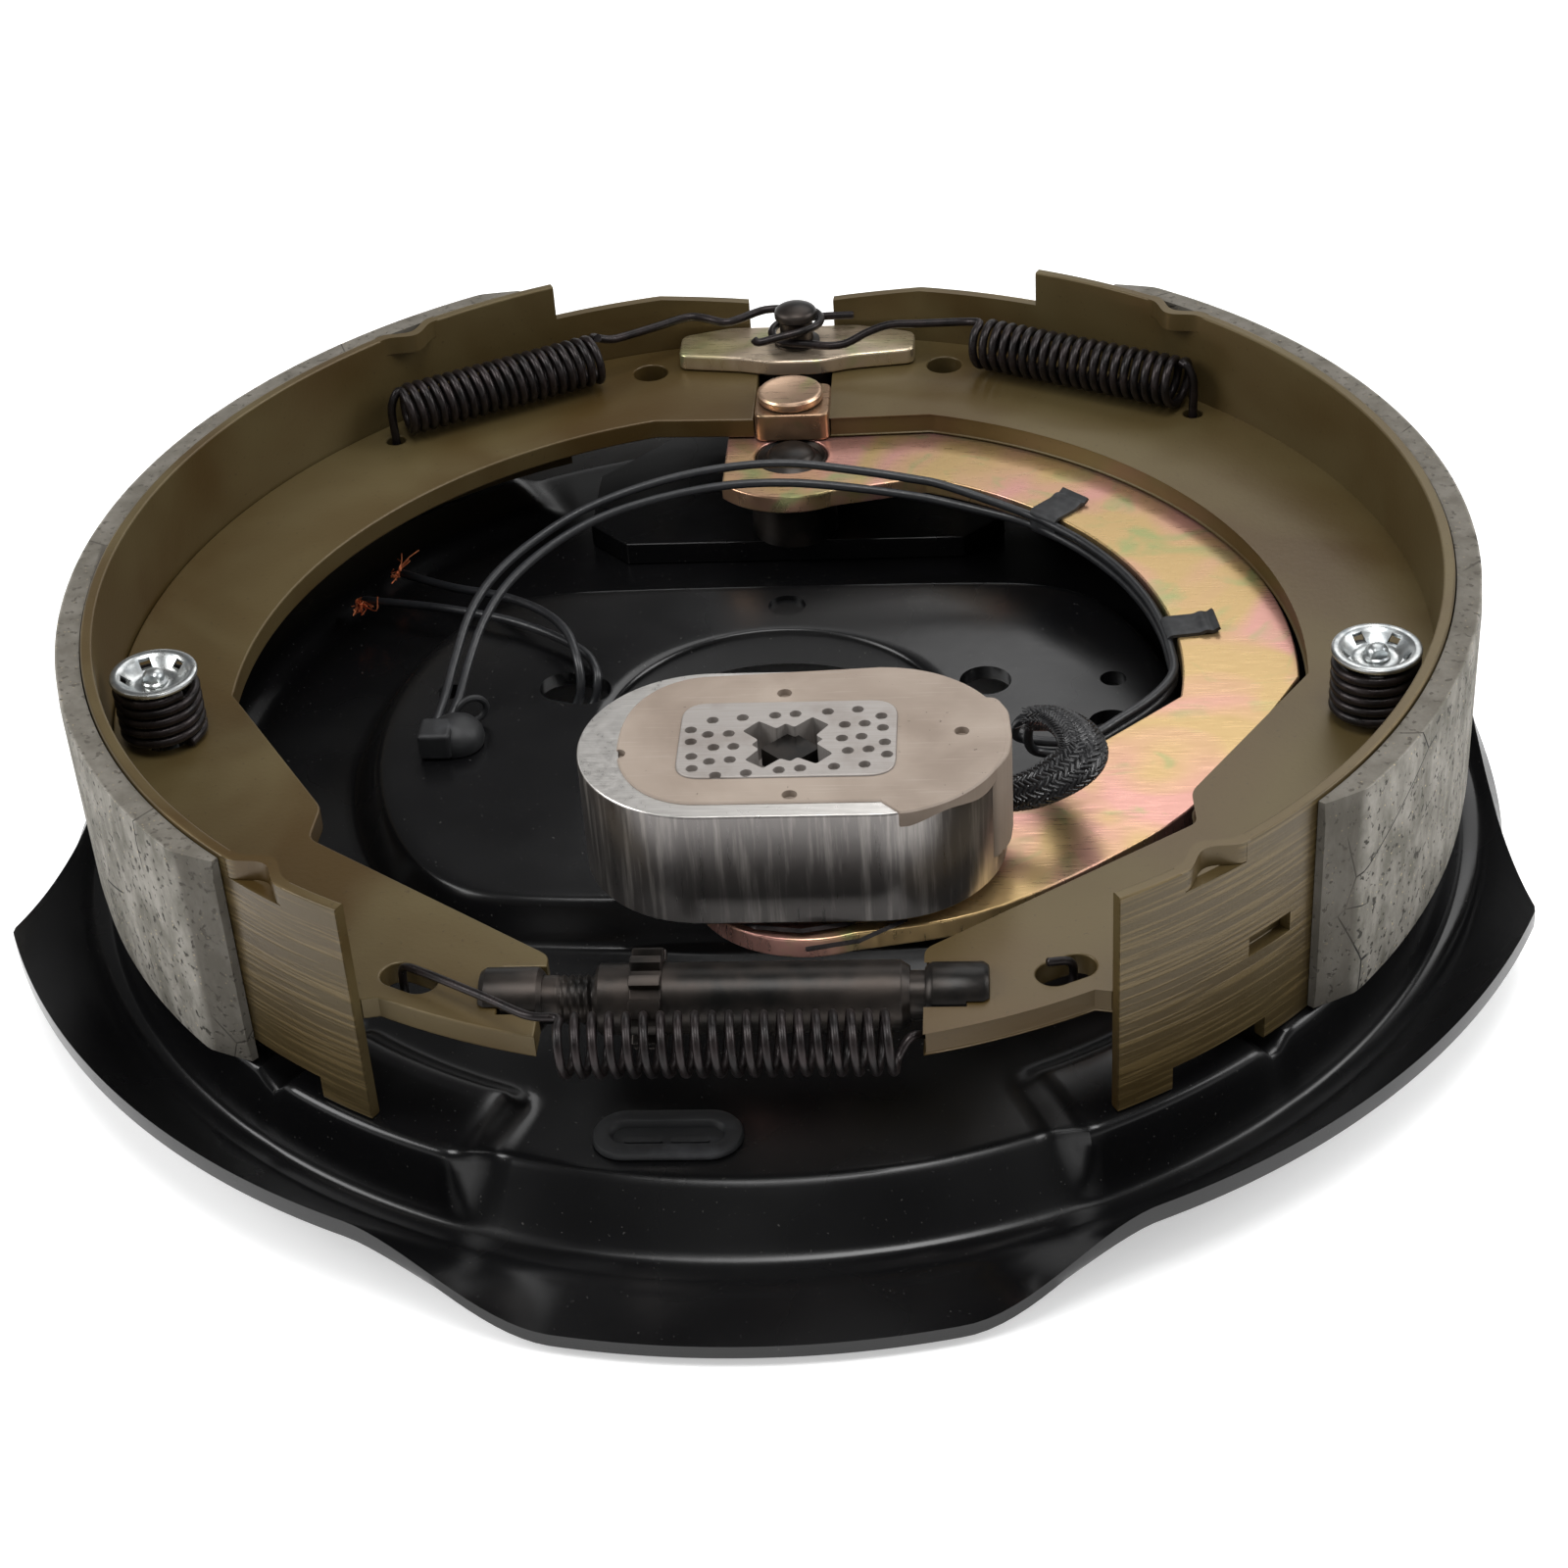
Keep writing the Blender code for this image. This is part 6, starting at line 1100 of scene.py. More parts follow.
shell_looks, resin_looks, iron = shell_steel(), potting_resin(), ground_iron()
stud_low, stud_top = (box[2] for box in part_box("magnet_stud"))
stud_profile = [(0, stud_top - 3 * mm), (4 * mm, stud_top - 3 * mm), (4 * mm, stud_low + 3 * mm),
                (6 * mm, stud_low + 3 * mm), (6 * mm, stud_low + 0.6 * mm), (5.4 * mm, stud_low), (0, stud_low)]
stud_end = prism(ring(MAGNET_AT, 5.8 * mm, 4), stud_top - 4 * mm, stud_top)
stud_body = turned(stud_profile, (*MAGNET_AT, 0), segments=48)
place_piece(piece("magnet_stud_square_end", oxide, stud_body, stud_end), "dark_steel", "lever", "magnet_stud")
spring_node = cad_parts["magnet_spring"]
spring_node.data.materials.clear()
spring_node.data.materials.append(spring_steel)

RIM_SHOULDER = 0.9 * mm
WALL = 1.2 * mm
LAND_LEFT, LAND_FRONT, LAND_BACK, SPILL = 8.0 * mm, 4.2 * mm, 1.7 * mm, 0.5 * mm


def face_inset():
    """How far the resin's edge lies inside the shell's, round the outline: a mix of the land's widths at
    the left, front and back by the outline's direction, going over to minus the spill at the right."""
    edge = stadium() - np.array(MAGNET_AT)
    middle = np.clip(edge[:, 0], -(MAGNET_HALF_X - MAGNET_HALF_Y), MAGNET_HALF_X - MAGNET_HALF_Y)
    out = np.stack([edge[:, 0] - middle, edge[:, 1]], -1) / MAGNET_HALF_Y
    land = (LAND_LEFT * np.clip(-out[:, 0], 0, 1) ** 2 + LAND_FRONT * np.clip(-out[:, 1], 0, 1) ** 2
            + LAND_BACK * np.clip(out[:, 1], 0, 1) ** 2)
    spilt = ease(edge[:, 0] + 0.3 * edge[:, 1], 11 * mm, 15 * mm)
    return out, land * (1 - spilt) - SPILL * spilt, spilt


def inset_face(inset):
    """The shell's outline moved in along its own directions, by a width for each point."""
    return stadium() - out_way * np.reshape(inset, (-1, 1))


out_way, resin_inset, spilt = face_inset()
under_edge = np.maximum(resin_inset + 0.3 * mm, WALL)
shell_rows = [stadium(), stadium(), stadium(0.15 * mm), stadium(0.35 * mm), inset_face(under_edge),
              inset_face(under_edge), stadium(WALL), stadium(WALL), stadium(0.4 * mm)]
shell_z = [shell_low + 0.5 * mm, shell_top - 0.5 * mm, shell_top - 0.15 * mm, shell_top, shell_top,
           shell_top - RIM_SHOULDER, shell_top - RIM_SHOULDER - 0.5 * mm, shell_low, shell_low]
shell = piece("magnet_shell_drawn", shell_looks, stack(shell_rows, shell_z, caps=(), wrap_rows=True))
gate = [(40, -84.3), (70, -84.3), (70, -60.7), (40, -60.7)]
carve(shell, prism(np.array(gate) * mm, shell_top - 22 * mm, shell_top - 2.2 * mm))
place_piece(shell, "bright_zinc", "magnet", "magnet_shell")

CORE_MIN, CORE_MAX, CORE_CORNER = (-12.4 * mm, -88.0 * mm), (30.4 * mm, -62.0 * mm), 5.5 * mm


def core_outline(grow):
    """The core's rectangle with round corners, grown by a clearance."""
    (x0, y0), (x1, y1) = (CORE_MIN[0] - grow, CORE_MIN[1] - grow), (CORE_MAX[0] + grow, CORE_MAX[1] + grow)
    return rounded([(x0, y0), (x1, y0), (x1, y1), (x0, y1)], CORE_CORNER + grow, 8, closed=True)


PIN_HOLES = ((-24.0, -78.8), (7.6, -58.5), (43.0, -73.1), (10.3, -93.6))
resin_low, resin_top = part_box("magnet_resin")[0][2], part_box("magnet_resin")[1][2]
full, tucked = stadium(WALL + 0.1 * mm), inset_face(under_edge + 0.1 * mm)
skirt = np.where(resin_inset < 0, -0.05 * mm, resin_inset)
drip = spilt * (2.4 + 0.8 * np.sin(np.arange(len(spilt)) * 0.55)) * mm
resin = piece("magnet_potting", resin_looks,
              stack([full, full, tucked, tucked, inset_face(skirt), inset_face(skirt), inset_face(resin_inset),
                     inset_face(resin_inset), inset_face(resin_inset + 0.35 * mm)],
                    [resin_low, shell_top - RIM_SHOULDER - 1.0 * mm, shell_top - RIM_SHOULDER - 0.6 * mm,
                     shell_top + 0.02 * mm, shell_top + 0.02 * mm, shell_top + 0.02 * mm - drip,
                     shell_top + 0.02 * mm - drip, resin_top - 0.3 * mm, resin_top]))
spill_x = MAGNET_AT[0] + MAGNET_HALF_X
lip_x1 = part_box("magnet_resin")[1][0]
lip = rounded([(spill_x - 13 * mm, -86 * mm), (lip_x1 - 3.4 * mm, -86.5 * mm), (lip_x1 - 0.6 * mm, -81 * mm),
               (lip_x1, -75 * mm), (lip_x1 - 0.6 * mm, -66 * mm), (lip_x1 - 3.0 * mm, -61 * mm),
               (spill_x - 13 * mm, -61 * mm)], 1.6 * mm, 5, closed=True)
carve(resin, blank(lip, shell_top - 21 * mm, resin_top - 0.05 * mm, 0.5 * mm), operation="UNION")
carve(resin, prism(core_outline(0.0), face - 18.2 * mm, face + 2 * mm),
      *[prism(ring(np.array(at) * mm, 1.5 * mm, 24), resin_top - 1.5 * mm, resin_top + 1 * mm) for at in PIN_HOLES])
place_piece(resin, "resin", "magnet", "magnet_resin")

core = piece("magnet_core_ground", iron, blank(core_outline(-0.05 * mm), face - 18.0 * mm, face, 0.35 * mm))
# The mouth is a cross with its arms to the corners and a small step between each two, in mm from the middle.
mouth = [(-9.4, 2.7), (-6.4, 6.1), (-2.8, 3.4), (-1.1, 5.1), (0.7, 3.8), (4.1, 7.2), (7.5, 4.4), (5.1, 0.8),
         (6.5, -0.6), (5.3, -2.1), (8.6, -5.6), (5.5, -9.0), (1.8, -6.7), (0.5, -8.0), (-1.5, -7.0),
         (-4.7, -10.2), (-8.4, -7.3), (-5.9, -3.7), (-7.4, -2.1), (-6.2, -0.5)]
holes = [(-15.6, 6.7), (-9.7, 7.4), (-3.3, 8.0), (0.7, 8.4), (7.1, 9.0), (13.0, 9.6), (17.7, 7.1), (-19.7, 3.4),
         (-16.2, 1.7), (-12.1, 1.9), (10.6, 4.3), (14.5, 4.6), (18.1, 3.0), (-19.4, -0.7), (-14.8, -2.8),
         (-10.9, -2.6), (10.2, -0.4), (14.0, 0.1), (18.6, -2.0), (-18.9, -5.8), (-15.3, -7.6), (-11.3, -7.1),
         (11.5, -4.7), (15.5, -4.3), (19.1, -6.2), (-18.5, -9.9), (-13.8, -12.3), (-7.9, -11.7), (-1.6, -10.9),
         (2.5, -10.4), (9.0, -10.0), (14.9, -9.5)]
middle = np.array(MAGNET_AT)
carve(core, prism((rounded(mouth, 0.5, 3, closed=True) * mm + middle)[::-1], face - 9 * mm, face + 1 * mm))
carve(core, *[prism(ring(np.array(at) * mm + middle, 1.2 * mm, 20), face - 1.4 * mm, face + 1 * mm) for at in holes])
place_piece(level_faces(core), "bright_zinc", "magnet", "magnet_core")


# The adjuster: a forked screw and a forked end cap in a long nut with a star wheel, all black
# oxided. The forks stand in the webs' notches, and the screw's rolled thread shows beside the nut.

ADJUST_Y, ADJUST_Z = -123.0 * mm, web_mid
PITCH = 1.5 * mm


def along_x(mesh):
    """Turn a piece modelled up the z axis so that it lies along the adjuster's axis: z becomes x."""
    mesh.transform(Matrix(((0, 0, 1, 0), (1, 0, 0, ADJUST_Y), (0, 1, 0, ADJUST_Z), (0, 0, 0, 1))))
    return mesh


def threaded_rod(start, end, thread_start, thread_end, radius, depth, sides=48):
    """A rod with a rolled thread: radius less the depth times a triangle wave of (length / pitch + turn)."""
    length = np.arange(start, end + 1e-9, PITCH / 10)[:, None]
    angle = np.linspace(0, 2 * math.pi, sides, endpoint=False)[None, :]
    phase = (length / PITCH + angle / (2 * math.pi)) % 1.0
    wave = 2 * np.abs(phase - 0.5)
    inside = ease(length, thread_start, thread_start + PITCH) * (1 - ease(length, thread_end - PITCH, thread_end))
    r = radius - depth * (1 - inside) * 0.2 - depth * inside * wave
    return skin(np.stack([r * np.cos(angle), r * np.sin(angle), np.broadcast_to(length, r.shape)], -1), caps=(0, -1))


THREAD_R, THREAD_DEPTH, THREAD_SHARP_DEG = 4.75 * mm, 0.55 * mm, 28.0
fork_slot_x, fork_end_x, neck_x, web_gap = 43.4 * mm, 47.8 * mm, 36.0 * mm, web_high - web_low + 0.8 * mm
fork_rows = [(0, neck_x - 0.2 * mm), (5.2 * mm, neck_x - 0.2 * mm), (6.1 * mm, neck_x + 0.7 * mm),
             (6.25 * mm, neck_x + 1.4 * mm), (6.25 * mm, fork_end_x - 1.2 * mm), (5.6 * mm, fork_end_x - 0.2 * mm),
             (5.0 * mm, fork_end_x), (0, fork_end_x)]
fork_slot = prism([(-9 * mm, -web_gap / 2), (9 * mm, -web_gap / 2), (9 * mm, web_gap / 2), (-9 * mm, web_gap / 2)],
                  fork_slot_x, fork_end_x + 1 * mm)
screw = piece("adjuster_screw_fork", oxide, turned(fork_rows, (0, 0, 0)))
carve(screw, fork_slot)
rod = threaded_rod(4.0 * mm, neck_x + 0.5 * mm, 17 * mm, 33.5 * mm, THREAD_R, THREAD_DEPTH)
carve(screw, rod, operation="UNION")
along_x(screw.data)
screw.data.transform(Matrix.Scale(-1, 4, (1, 0, 0)))
settle(screw.data, THREAD_SHARP_DEG)
place_piece(screw, "dark_steel", "screw", "adjuster_screw")

cap = piece("adjuster_end_fork", oxide, turned(fork_rows, (0, 0, 0)))
carve(cap, fork_slot)
plain_rod = turned([(0, 0.5 * mm), (4.2 * mm, 0.5 * mm), (4.7 * mm, 1 * mm), (4.7 * mm, neck_x + 0.4 * mm),
                    (0, neck_x + 0.4 * mm)], (0, 0, 0))
carve(cap, plain_rod, operation="UNION")
along_x(cap.data)
place_piece(cap, "dark_steel", "plate", "adjuster_end_cap")

sleeve_x0, sleeve_x1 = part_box("star_sleeve")[0][0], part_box("star_sleeve")[1][0]
bore = THREAD_R + 0.3 * mm
sleeve_rows = [(bore, sleeve_x0), (6.2 * mm, sleeve_x0), (6.75 * mm, sleeve_x0 + 0.6 * mm),
               (6.75 * mm, sleeve_x1 - 1.8 * mm), (6.4 * mm, sleeve_x1 - 1.3 * mm), (5.6 * mm, sleeve_x1),
               (bore, sleeve_x1)]
# The wheel's outline, tooth by tooth: each is five points of (degrees from the tooth's middle, radius in mm).
TEETH, TOOTH = 12, ((-8.6, 7.6), (-6.2, 9.5), (0, 9.62), (6.2, 9.5), (8.6, 7.6))
star_outline = [polar(radius * mm, 360 / TEETH * index + deg) for index in range(TEETH) for deg, radius in TOOTH]
star = blank(star_outline, -19.0 * mm, -13.0 * mm, 0.35 * mm, ring((0, 0), 6.7 * mm, 48))
star_sleeve = piece("star_wheel_nut", oxide, along_x(turned(sleeve_rows, (0, 0, 0), wrap=True)), along_x(star))
place_piece(level_faces(star_sleeve), "dark_steel", "star", "star_sleeve")


# The springs of the shoes and of the adjuster: close coils of oil-tempered wire. Each return spring
# has a hook down through its web and a long arm bent round the anchor pin's neck.

RETURN_WIRE, RETURN_COIL_R, RETURN_TURNS, RETURN_Z = 2.1 * mm, 5.45 * mm, 20, web_high + 7.5 * mm
HOOK_OUT, PIN_BEND_R = 6.0 * mm, 6.3 * mm


def round_pin(first, last, low, high, steps=9):
    """Points on an arc round the anchor pin's neck, whose height goes evenly from low to high."""
    turn = np.radians(np.linspace(first, last, steps))
    return np.stack([PIN_BEND_R * np.cos(turn), ANCHOR_Y + PIN_BEND_R * np.sin(turn), np.linspace(low, high, steps)],
                    -1)


right_arm = np.array([(43.6, 125.6, 58.9), (38.6, 126.4, 58.5), (31, 127, 58.1), (24.2, 127.6, 57.7),
                      (18.4, 126.8, 56.2), (13, 125.2, 54.1), (8.4, 125.0, 53.6), (3.5, 126.2, 53.6)]) * mm
right_end = np.array([(2.2, 139.5, 54.5), (7, 139.2, 54.9), (14.2, 138.6, 55.3)]) * mm
left_arm = np.array([(-49.6, 122.2, 59.0), (-46.4, 124.1, 57.6), (-42.6, 126.8, 57.2), (-35.5, 131.6, 57.1),
                     (-28.6, 136.1, 57.1), (-24.4, 136.2, 57.0), (-18.4, 133.8, 56.6), (-14.6, 135.4, 56.7),
                     (-8.2, 139.6, 57.0)]) * mm
left_end = np.array([(1.2, 126.4, 56.9), (-4.4, 124.8, 56.3), (-9.0, 123.6, 55.8), (-10.2, 123.9, 56.5)]) * mm
arms = {"right": ((93.0, 100.0), (46.7, 123.4),
                  [right_arm, round_pin(-120, -260, 53.6 * mm, 54.4 * mm), right_end]),
        "left": ((-93.0, 97.0), (-49.3, 121.0),
                 [left_arm, round_pin(95, -60, 57.2 * mm, 57.1 * mm), left_end])}
for name, (start, end, arm) in arms.items():
    start, end = np.array(start) * mm, np.array(end) * mm
    hole = start + (start - end) / np.linalg.norm(start - end) * HOOK_OUT
    outer_end, up = 0.5 * (start + hole), RETURN_Z + RETURN_COIL_R
    hook = [(*hole, web_low - 1.6 * mm), (*hole, web_high + 1 * mm), (*hole, RETURN_Z + 1 * mm),
            (*(0.5 * hole + 0.5 * outer_end), up - 0.8 * mm)]
    turns = coil((*outer_end, RETURN_Z), (*end, RETURN_Z), RETURN_COIL_R, RETURN_TURNS)
    line = smooth_path(np.vstack([hook, turns, *arm]), 0.75 * mm)
    place_piece(piece(name + "_return_coil_and_arm", spring_steel, tube(line, RETURN_WIRE / 2, 12)), "dark_steel",
                name + "_shoe", name + "_return_spring")

TENSION_WIRE, TENSION_TURNS, TENSION_HALF = 1.7 * mm, 20, 31.5 * mm
tension_at = (-140.5 * mm, web_mid + 3.4 * mm)
tension_turns = coil((-TENSION_HALF, *tension_at), (TENSION_HALF, *tension_at), 5.4 * mm, TENSION_TURNS,
                     start_turn=0.0)
left_hook = np.array([(-63.3, -118.3, 40.2), (-63.3, -118.3, 47.0), (-62.2, -119.2, 49.3), (-58.4, -121.9, 50.2),
                      (-46, -130.6, 51.4), (-36.6, -137.6, 52.4)]) * mm
right_hook = np.array([(33.4, -135.6, 44.6), (37.6, -132.2, 42.2), (46, -128.4, 39.7), (58, -121.6, 39.6),
                       (62.6, -118.6, 41.4), (63.4, -118.2, 45.0), (62.6, -118.6, 48.2), (58.6, -119.8, 49.0)]) * mm
line = smooth_path(np.vstack([left_hook, tension_turns[2:-2], right_hook]), 0.7 * mm)
place_piece(piece("adjuster_tension_coil", spring_steel, tube(line, TENSION_WIRE / 2, 12)), "dark_steel", "plate",
            "adjuster_spring")


# The leads' boot: moulded rubber pushed into the plate's wire hole, with a step that holds the two
# leads, a rounded nose beside it and a small pull ring.

boot_low, boot_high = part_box("lead_block")
boot_top, boot_seat = boot_high[2], PAN_TOP + 0.3 * mm
step_outline = rounded([(-79 * mm, -13.5 * mm), (-71.5 * mm, -13.5 * mm), (-71.5 * mm, -5.5 * mm),
                        (-79 * mm, -5.5 * mm)], 1.2 * mm, 4, closed=True)
nose_rows = [(0, boot_low[2]), (3.2 * mm, boot_low[2]), (3.6 * mm, boot_low[2] + 1 * mm),
             (3.6 * mm, boot_seat + 0.4 * mm), (6.0 * mm, boot_seat), (6.4 * mm, boot_seat + 1.6 * mm),
             (6.1 * mm, boot_seat + 3.4 * mm), (5.0 * mm, boot_seat + 5.0 * mm), (2.6 * mm, boot_top - 0.2 * mm),
             (0, boot_top + 0.2 * mm)]
nose_at = (-WIRE_HOLE[0] + 3.6 * mm, WIRE_HOLE[1] - 3.6 * mm, 0)
ring_turn = np.linspace(0, 2 * math.pi, 33)[:-1]
ring_line = np.stack([-68.6 * mm + 3.0 * mm * np.cos(ring_turn), 0.9 * mm + 1.4 * mm * np.cos(ring_turn),
                      boot_seat + 3.9 * mm + 3.0 * mm * np.sin(ring_turn)], -1)
along, across, other = frames(np.vstack([ring_line, ring_line[:2]]))
side_turn = np.linspace(0, 2 * math.pi, 10, endpoint=False)
ring_grid = (ring_line[:, None] + 0.8 * mm * (across[:32, None] * np.cos(side_turn)[:, None]
                                              + other[:32, None] * np.sin(side_turn)[:, None]))
boot = piece("lead_boot", rubber, blank(step_outline, boot_seat, boot_top, 1.0 * mm),
             turned(nose_rows, nose_at, segments=40), skin(ring_grid, wrap_rows=True))
place_piece(level_faces(boot), "rubber", "plate", "lead_block")


# The two leads: stranded copper in black plastic jackets. They leave the magnet inside a braided
# sleeve, lie along the lever's inner edge, cross to the boot and end free, stripped by hand.

LEAD_R = 1.05 * mm


def lead_jacket():
    """Soft PVC lead jacket: near-black grey, satin, faintly scuffed along its length."""
    made, tree, shader, place = material("soft_pvc_jacket", "#17181a", 0.34)
    cloud = add(tree, "TexNoise", {"Vector": place, "Scale": per(7), "Detail": 3.0}).outputs[0]
    scuff = add(tree, "TexNoise", {"Vector": place, "Scale": per(0.9), "Detail": 3.0}).outputs[0]
    colour = add(tree, "Mix", {0: cloud, 6: linear("#121315"), 7: linear("#202124")}, data_type="RGBA").outputs[2]
    tree.links.new(colour, shader.inputs["Base Color"])
    rough = add(tree, "MapRange", {"Value": scuff, "From Min": 0.3, "From Max": 0.7, "To Min": 0.3, "To Max": 0.5})
    tree.links.new(rough.outputs[0], shader.inputs["Roughness"])
    bump = add(tree, "Bump", {"Height": scuff, "Distance": 0.03 * mm, "Strength": 0.4})
    tree.links.new(bump.outputs[0], shader.inputs["Normal"])
    return made


def bare_copper():
    """Bare drawn copper wire: orange red, bright on the bends and dulled between the strands."""
    made, tree, shader, place = material("bare_copper_strand", "#d06a40", 0.4, 0.8)
    cloud = add(tree, "TexNoise", {"Vector": place, "Scale": per(1.6), "Detail": 3.0}).outputs[0]
    tint = add(tree, "MapRange", {"Value": cloud, "From Min": 0.35, "From Max": 0.65}).outputs[0]
    colour = add(tree, "Mix", {0: tint, 6: linear("#b9532f"), 7: linear("#f0986a")}, data_type="RGBA").outputs[2]
    tree.links.new(colour, shader.inputs["Base Color"])
    return made


def braid_fibre():
    """Braided monofilament: glossy black plastic, each strand a little different in sheen."""
    made, tree, shader, place = material("braided_black_nylon", "#101012", 0.28)
    cloud = add(tree, "TexNoise", {"Vector": place, "Scale": per(1.7), "Detail": 2.0}).outputs[0]
    colour = add(tree, "Mix", {0: cloud, 6: linear("#09090a"), 7: linear("#1f1f22")}, data_type="RGBA").outputs[2]
    tree.links.new(colour, shader.inputs["Base Color"])
    rough = add(tree, "MapRange", {"Value": cloud, "From Min": 0.3, "From Max": 0.7, "To Min": 0.2, "To Max": 0.42})
    tree.links.new(rough.outputs[0], shader.inputs["Roughness"])
    return made


jacket, copper, braid = lead_jacket(), bare_copper(), braid_fibre()
sleeve_route = np.array([(50.5, -67.0, 50.0), (53.5, -67.6, 50.7), (58.9, -68.0, 53.0), (65.0, -64.9, 55.2),
                         (66.9, -60.3, 56.0), (65.5, -53.2, 55.6), (61.8, -45.6, 53.4), (57.6, -42.0, 51.4)]) * mm
BRAID_STRANDS, PER_STRAND, BRAID_DEPTH, BENEATH = 18, 7, 0.7 * mm, 0.25
SLEEVE_LEAN = math.radians(35.0)


def sleeve_axes(path):
    """Directions across the sleeve, turned so that its broad face leans towards the front, and its half
    width, which swells by a sine of the length in the bend."""
    along, across, other = frames(path)
    face_way = across * math.cos(SLEEVE_LEAN) + other * math.sin(SLEEVE_LEAN)
    share = np.linspace(0, 1, len(path))[:, None]
    return face_way, np.cross(along, face_way), (3.5 + 1.7 * np.sin(math.pi * np.clip(share * 1.1, 0, 1))) * mm


def braided_tube(path, thick, wall):
    """A flattened tube with a 2-over-2 braid on it: two families of strands wind both ways, and each
    point stands out by the higher of two half-round strands, the one beneath cut down to a quarter. The
    tube is hollow from its mouth back over two thirds of its length."""
    across, other, wide = sleeve_axes(path)
    turn = np.linspace(0, 2 * math.pi, BRAID_STRANDS * PER_STRAND, endpoint=False)[None, :]
    length = np.concatenate([[0], np.cumsum(np.linalg.norm(np.diff(path, axis=0), axis=1))])[:, None]
    spacing = math.pi * (wide.mean() + thick) / BRAID_STRANDS
    both = turn / (2 * math.pi) * BRAID_STRANDS + np.array([1, -1])[:, None, None] * length / spacing
    round_top = np.sqrt(np.clip(1 - (2 * (both % 1.0) - 1) ** 2, 0, 1))
    first_over = (np.floor(both[0]) + np.floor(both[1])) % 4 < 2
    cut_down = np.where(np.stack([first_over, ~first_over]), 1.0, BENEATH)
    proud = (round_top * cut_down).max(axis=0) * BRAID_DEPTH

    def section(grow):
        return (path[:, None] + across[:, None] * (np.cos(turn) * (thick + grow))[..., None]
                + other[:, None] * (np.sin(turn) * (wide + grow))[..., None])

    outside, inside = section(proud - BRAID_DEPTH), section(np.full_like(proud, -wall))
    return skin(np.concatenate([outside, inside[:len(path) // 3:-1]]), caps=(0, -1))


sleeve_line = smooth_path(sleeve_route, 0.17 * mm, steps=40)
FRAYS, FRAY_R = 26, 0.16 * mm
frays = []
rng = np.random.default_rng(11)
sleeve_end, sleeve_dir = sleeve_line[-1], sleeve_line[-1] - sleeve_line[-8]
sleeve_dir /= np.linalg.norm(sleeve_dir)
rim_across, rim_other = (axis[-1] for axis in sleeve_axes(sleeve_line)[:2])
for index in range(FRAYS):
    turn = 2 * math.pi * (index + rng.uniform(-0.3, 0.3)) / FRAYS
    out = rim_across * math.cos(turn) * 0.6 + rim_other * math.sin(turn)
    root = (sleeve_end - sleeve_dir * 0.8 * mm + rim_across * 2.0 * mm * math.cos(turn)
            + rim_other * 3.2 * mm * math.sin(turn))
    reach = rng.uniform(1.0, 2.6) * mm
    lean = out * rng.uniform(0.1, 0.7) + rng.uniform(-0.25, 0.25, 3)
    frays.append(tube(np.array([root, root + sleeve_dir * reach * 0.5 + lean * reach * 0.2,
                                root + sleeve_dir * reach + lean * reach * 0.8]), FRAY_R, 5))
sleeve = piece("braided_lead_sleeve", braid, braided_tube(sleeve_line, 2.7 * mm, 0.9 * mm), *frays)
place_piece(sleeve, "braid", "magnet", "braided_sleeve")

LEAD_ROWS, LEAD_EDGE_R = (arm_low + 0.9 * mm, arm_low + 3.4 * mm), 88.05 * mm
lead_starts = ([(61.5, -45.3, 53.2), (58.6, -42.6, 51.6), (56.2, -40.0, 47.0), (57.6, -35.4, 38.6)],
               [(61.0, -44.6, 54.4), (57.4, -41.6, 52.0), (54.2, -37.6, 47.4), (54.4, -32.4, 40.0)])
lead_crossings = ([(38.4, 67.4, 40.3), (29.8, 68.6, 41.8), (15.8, 69.9, 43.6), (0.5, 70.2, 45.2), (-14.7, 67.4, 46.4),
                   (-30.7, 61.0, 46.8), (-44.0, 53.6, 46.0), (-55.0, 44.9, 43.5), (-63.2, 34.7, 40.5),
                   (-68.0, 25.1, 36.5), (-70.8, 15.2, 31.6), (-72.2, 5.0, 28.0), (-73.4, -2.4, 27.2),
                   (-74.2, -8.0, 27.0)],
                  [(38.4, 70.2, 43.2), (29.9, 71.6, 44.7), (15.9, 73.0, 46.7), (0.7, 73.7, 48.5), (-14.4, 70.8, 49.4),
                   (-30.3, 64.4, 49.5), (-46.1, 56.0, 47.8), (-58.2, 46.8, 44.5), (-66.5, 36.6, 41.5),
                   (-71.4, 26.8, 37.5), (-73.9, 15.8, 32.5), (-75.2, 5.7, 28.8), (-76.0, -2.0, 27.6),
                   (-76.6, -8.0, 27.2)])
for letter, row, first, crossing in zip("ab", LEAD_ROWS, lead_starts, lead_crossings):
    turn = np.radians([-2, 4, 10, 18, 27, 36, 44, 50])
    beside = np.stack([LEAD_EDGE_R * np.cos(turn), ARM_AXIS_Y + LEAD_EDGE_R * np.sin(turn), np.full(8, row)], -1)
    reach = np.array([(66.6, -33.8, row / mm), (76.4, -25.2, row / mm), (84.0, -16.4, row / mm)]) * mm
    line = smooth_path(np.vstack([np.array(first) * mm, reach, beside, np.array(crossing) * mm]), 1.0 * mm)
    lead = piece("magnet_lead_" + letter, jacket, tube(line, LEAD_R, 12))
    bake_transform(lead)
    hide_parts("arm_lead_" + letter, "plate_lead_" + letter)

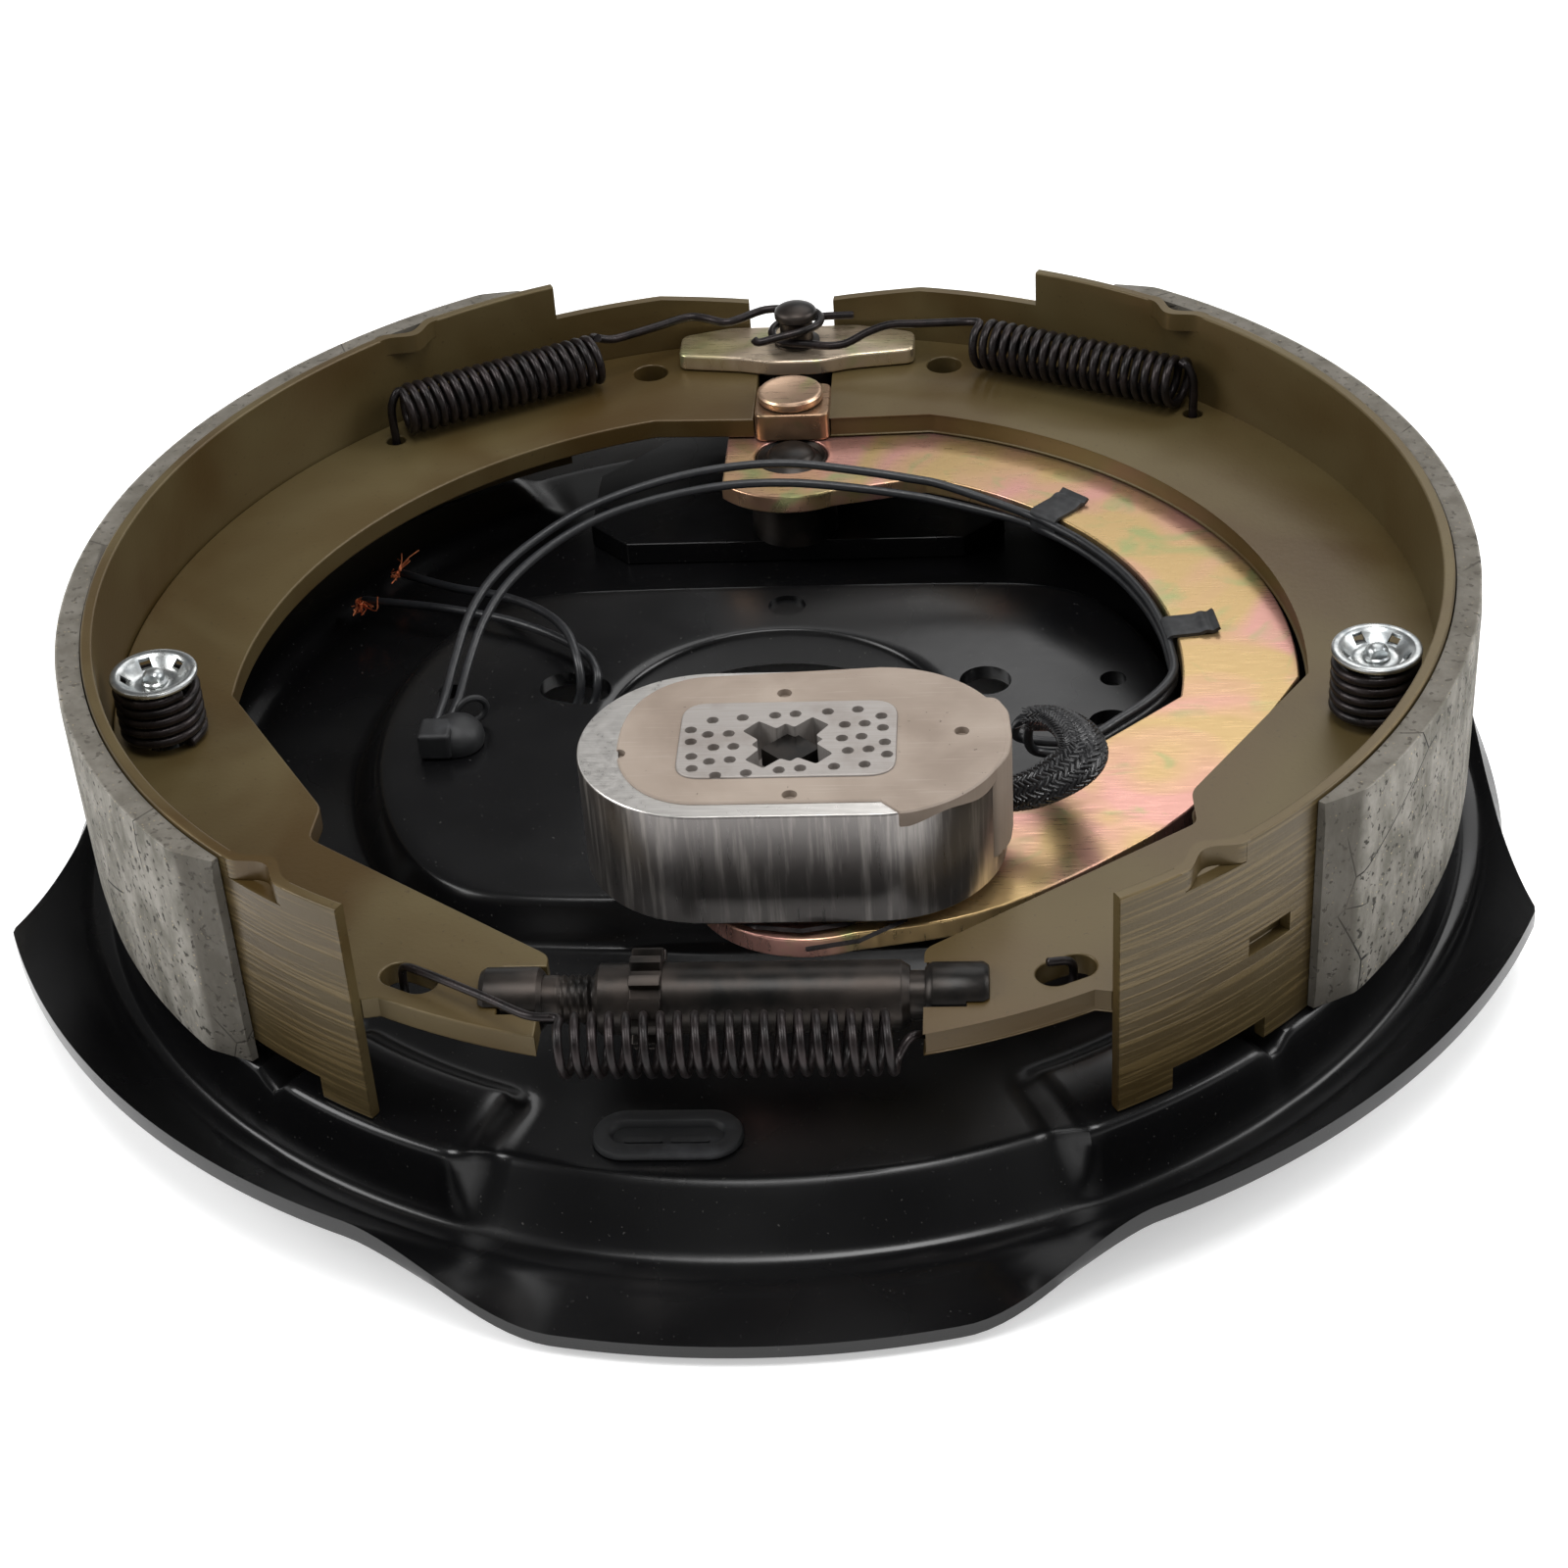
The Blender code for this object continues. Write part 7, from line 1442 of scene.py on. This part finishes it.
tail_routes = {
    "a": [(-75.6, -4.6, 15.2), (-73.5, -1.0, 13.0), (-64.0, 7.0, 12.6), (-53.0, 13.0, 14.0), (-47.2, 15.4, 19.0),
          (-45.9, 16.6, 24.0), (-46.8, 20.6, 28.4), (-50.0, 29.2, 30.2), (-57.4, 39.6, 29.8), (-68.6, 50.4, 27.4),
          (-82.6, 61.2, 23.6), (-96.5, 72.4, 21.0)],
    "b": [(-73.0, -4.6, 15.2), (-70.0, -2.0, 12.6), (-61.0, 3.5, 12.4), (-50.0, 11.0, 13.4), (-43.6, 15.6, 18.6),
          (-42.2, 17.6, 23.4), (-42.6, 20.2, 25.4), (-45.6, 26.0, 26.2), (-53.2, 33.2, 26.3), (-63.0, 39.6, 26.4),
          (-72.0, 43.6, 26.4), (-86.0, 51.4, 24.2), (-104.3, 60.3, 21.0)]}
STRANDS, STRAND_R, STRAND_FLOOR = 26, 0.16 * mm, 19.2 * mm
tuft_ways = {"a": [(-0.6, -0.5, 0.1), (0.1, 1.0, 0.35)], "b": [(-0.1, -1.0, 0.0), (0.45, -0.9, 0.1)]}
for letter, route in tail_routes.items():
    line = smooth_path(np.array(route) * mm, 0.9 * mm)
    tail = place_piece(piece("tail_lead_jacket_" + letter, jacket, tube(line, LEAD_R, 12)), "lead_jacket", "plate",
                       "tail_lead_" + letter)
    tip, onward = line[-1], line[-1] - line[-3]
    onward /= np.linalg.norm(onward)
    strands = []
    for index in range(STRANDS):
        way = np.array(tuft_ways[letter][index % 6 == 0])
        spread = rng.normal(0, 0.16, 3) * np.array([1, 1, 0.6])
        size = rng.uniform(0.6, 1.0) * (5.6 if letter == "b" else 3.4 if index % 6 else 6.0) * mm
        curl = rng.normal(0, 0.1, 3) * size
        root = tip + rng.uniform(-0.45, 0.45, 3) * mm
        bent = np.array([root - onward * 1.2 * mm, root + onward * 1.0 * mm,
                         root + onward * 1.4 * mm + way * size * 0.3,
                         root + (way + spread) * size * 0.65 + curl, root + (way + 1.4 * spread) * size - curl])
        bent[:, 2] = np.maximum(bent[:, 2], STRAND_FLOOR)
        strands.append(tube(smooth_path(bent, 0.5 * mm), STRAND_R, 6))
    tuft = place_piece(piece("copper_strands_" + letter, copper, *strands), "copper", "plate",
                       "tail_strands_" + letter)
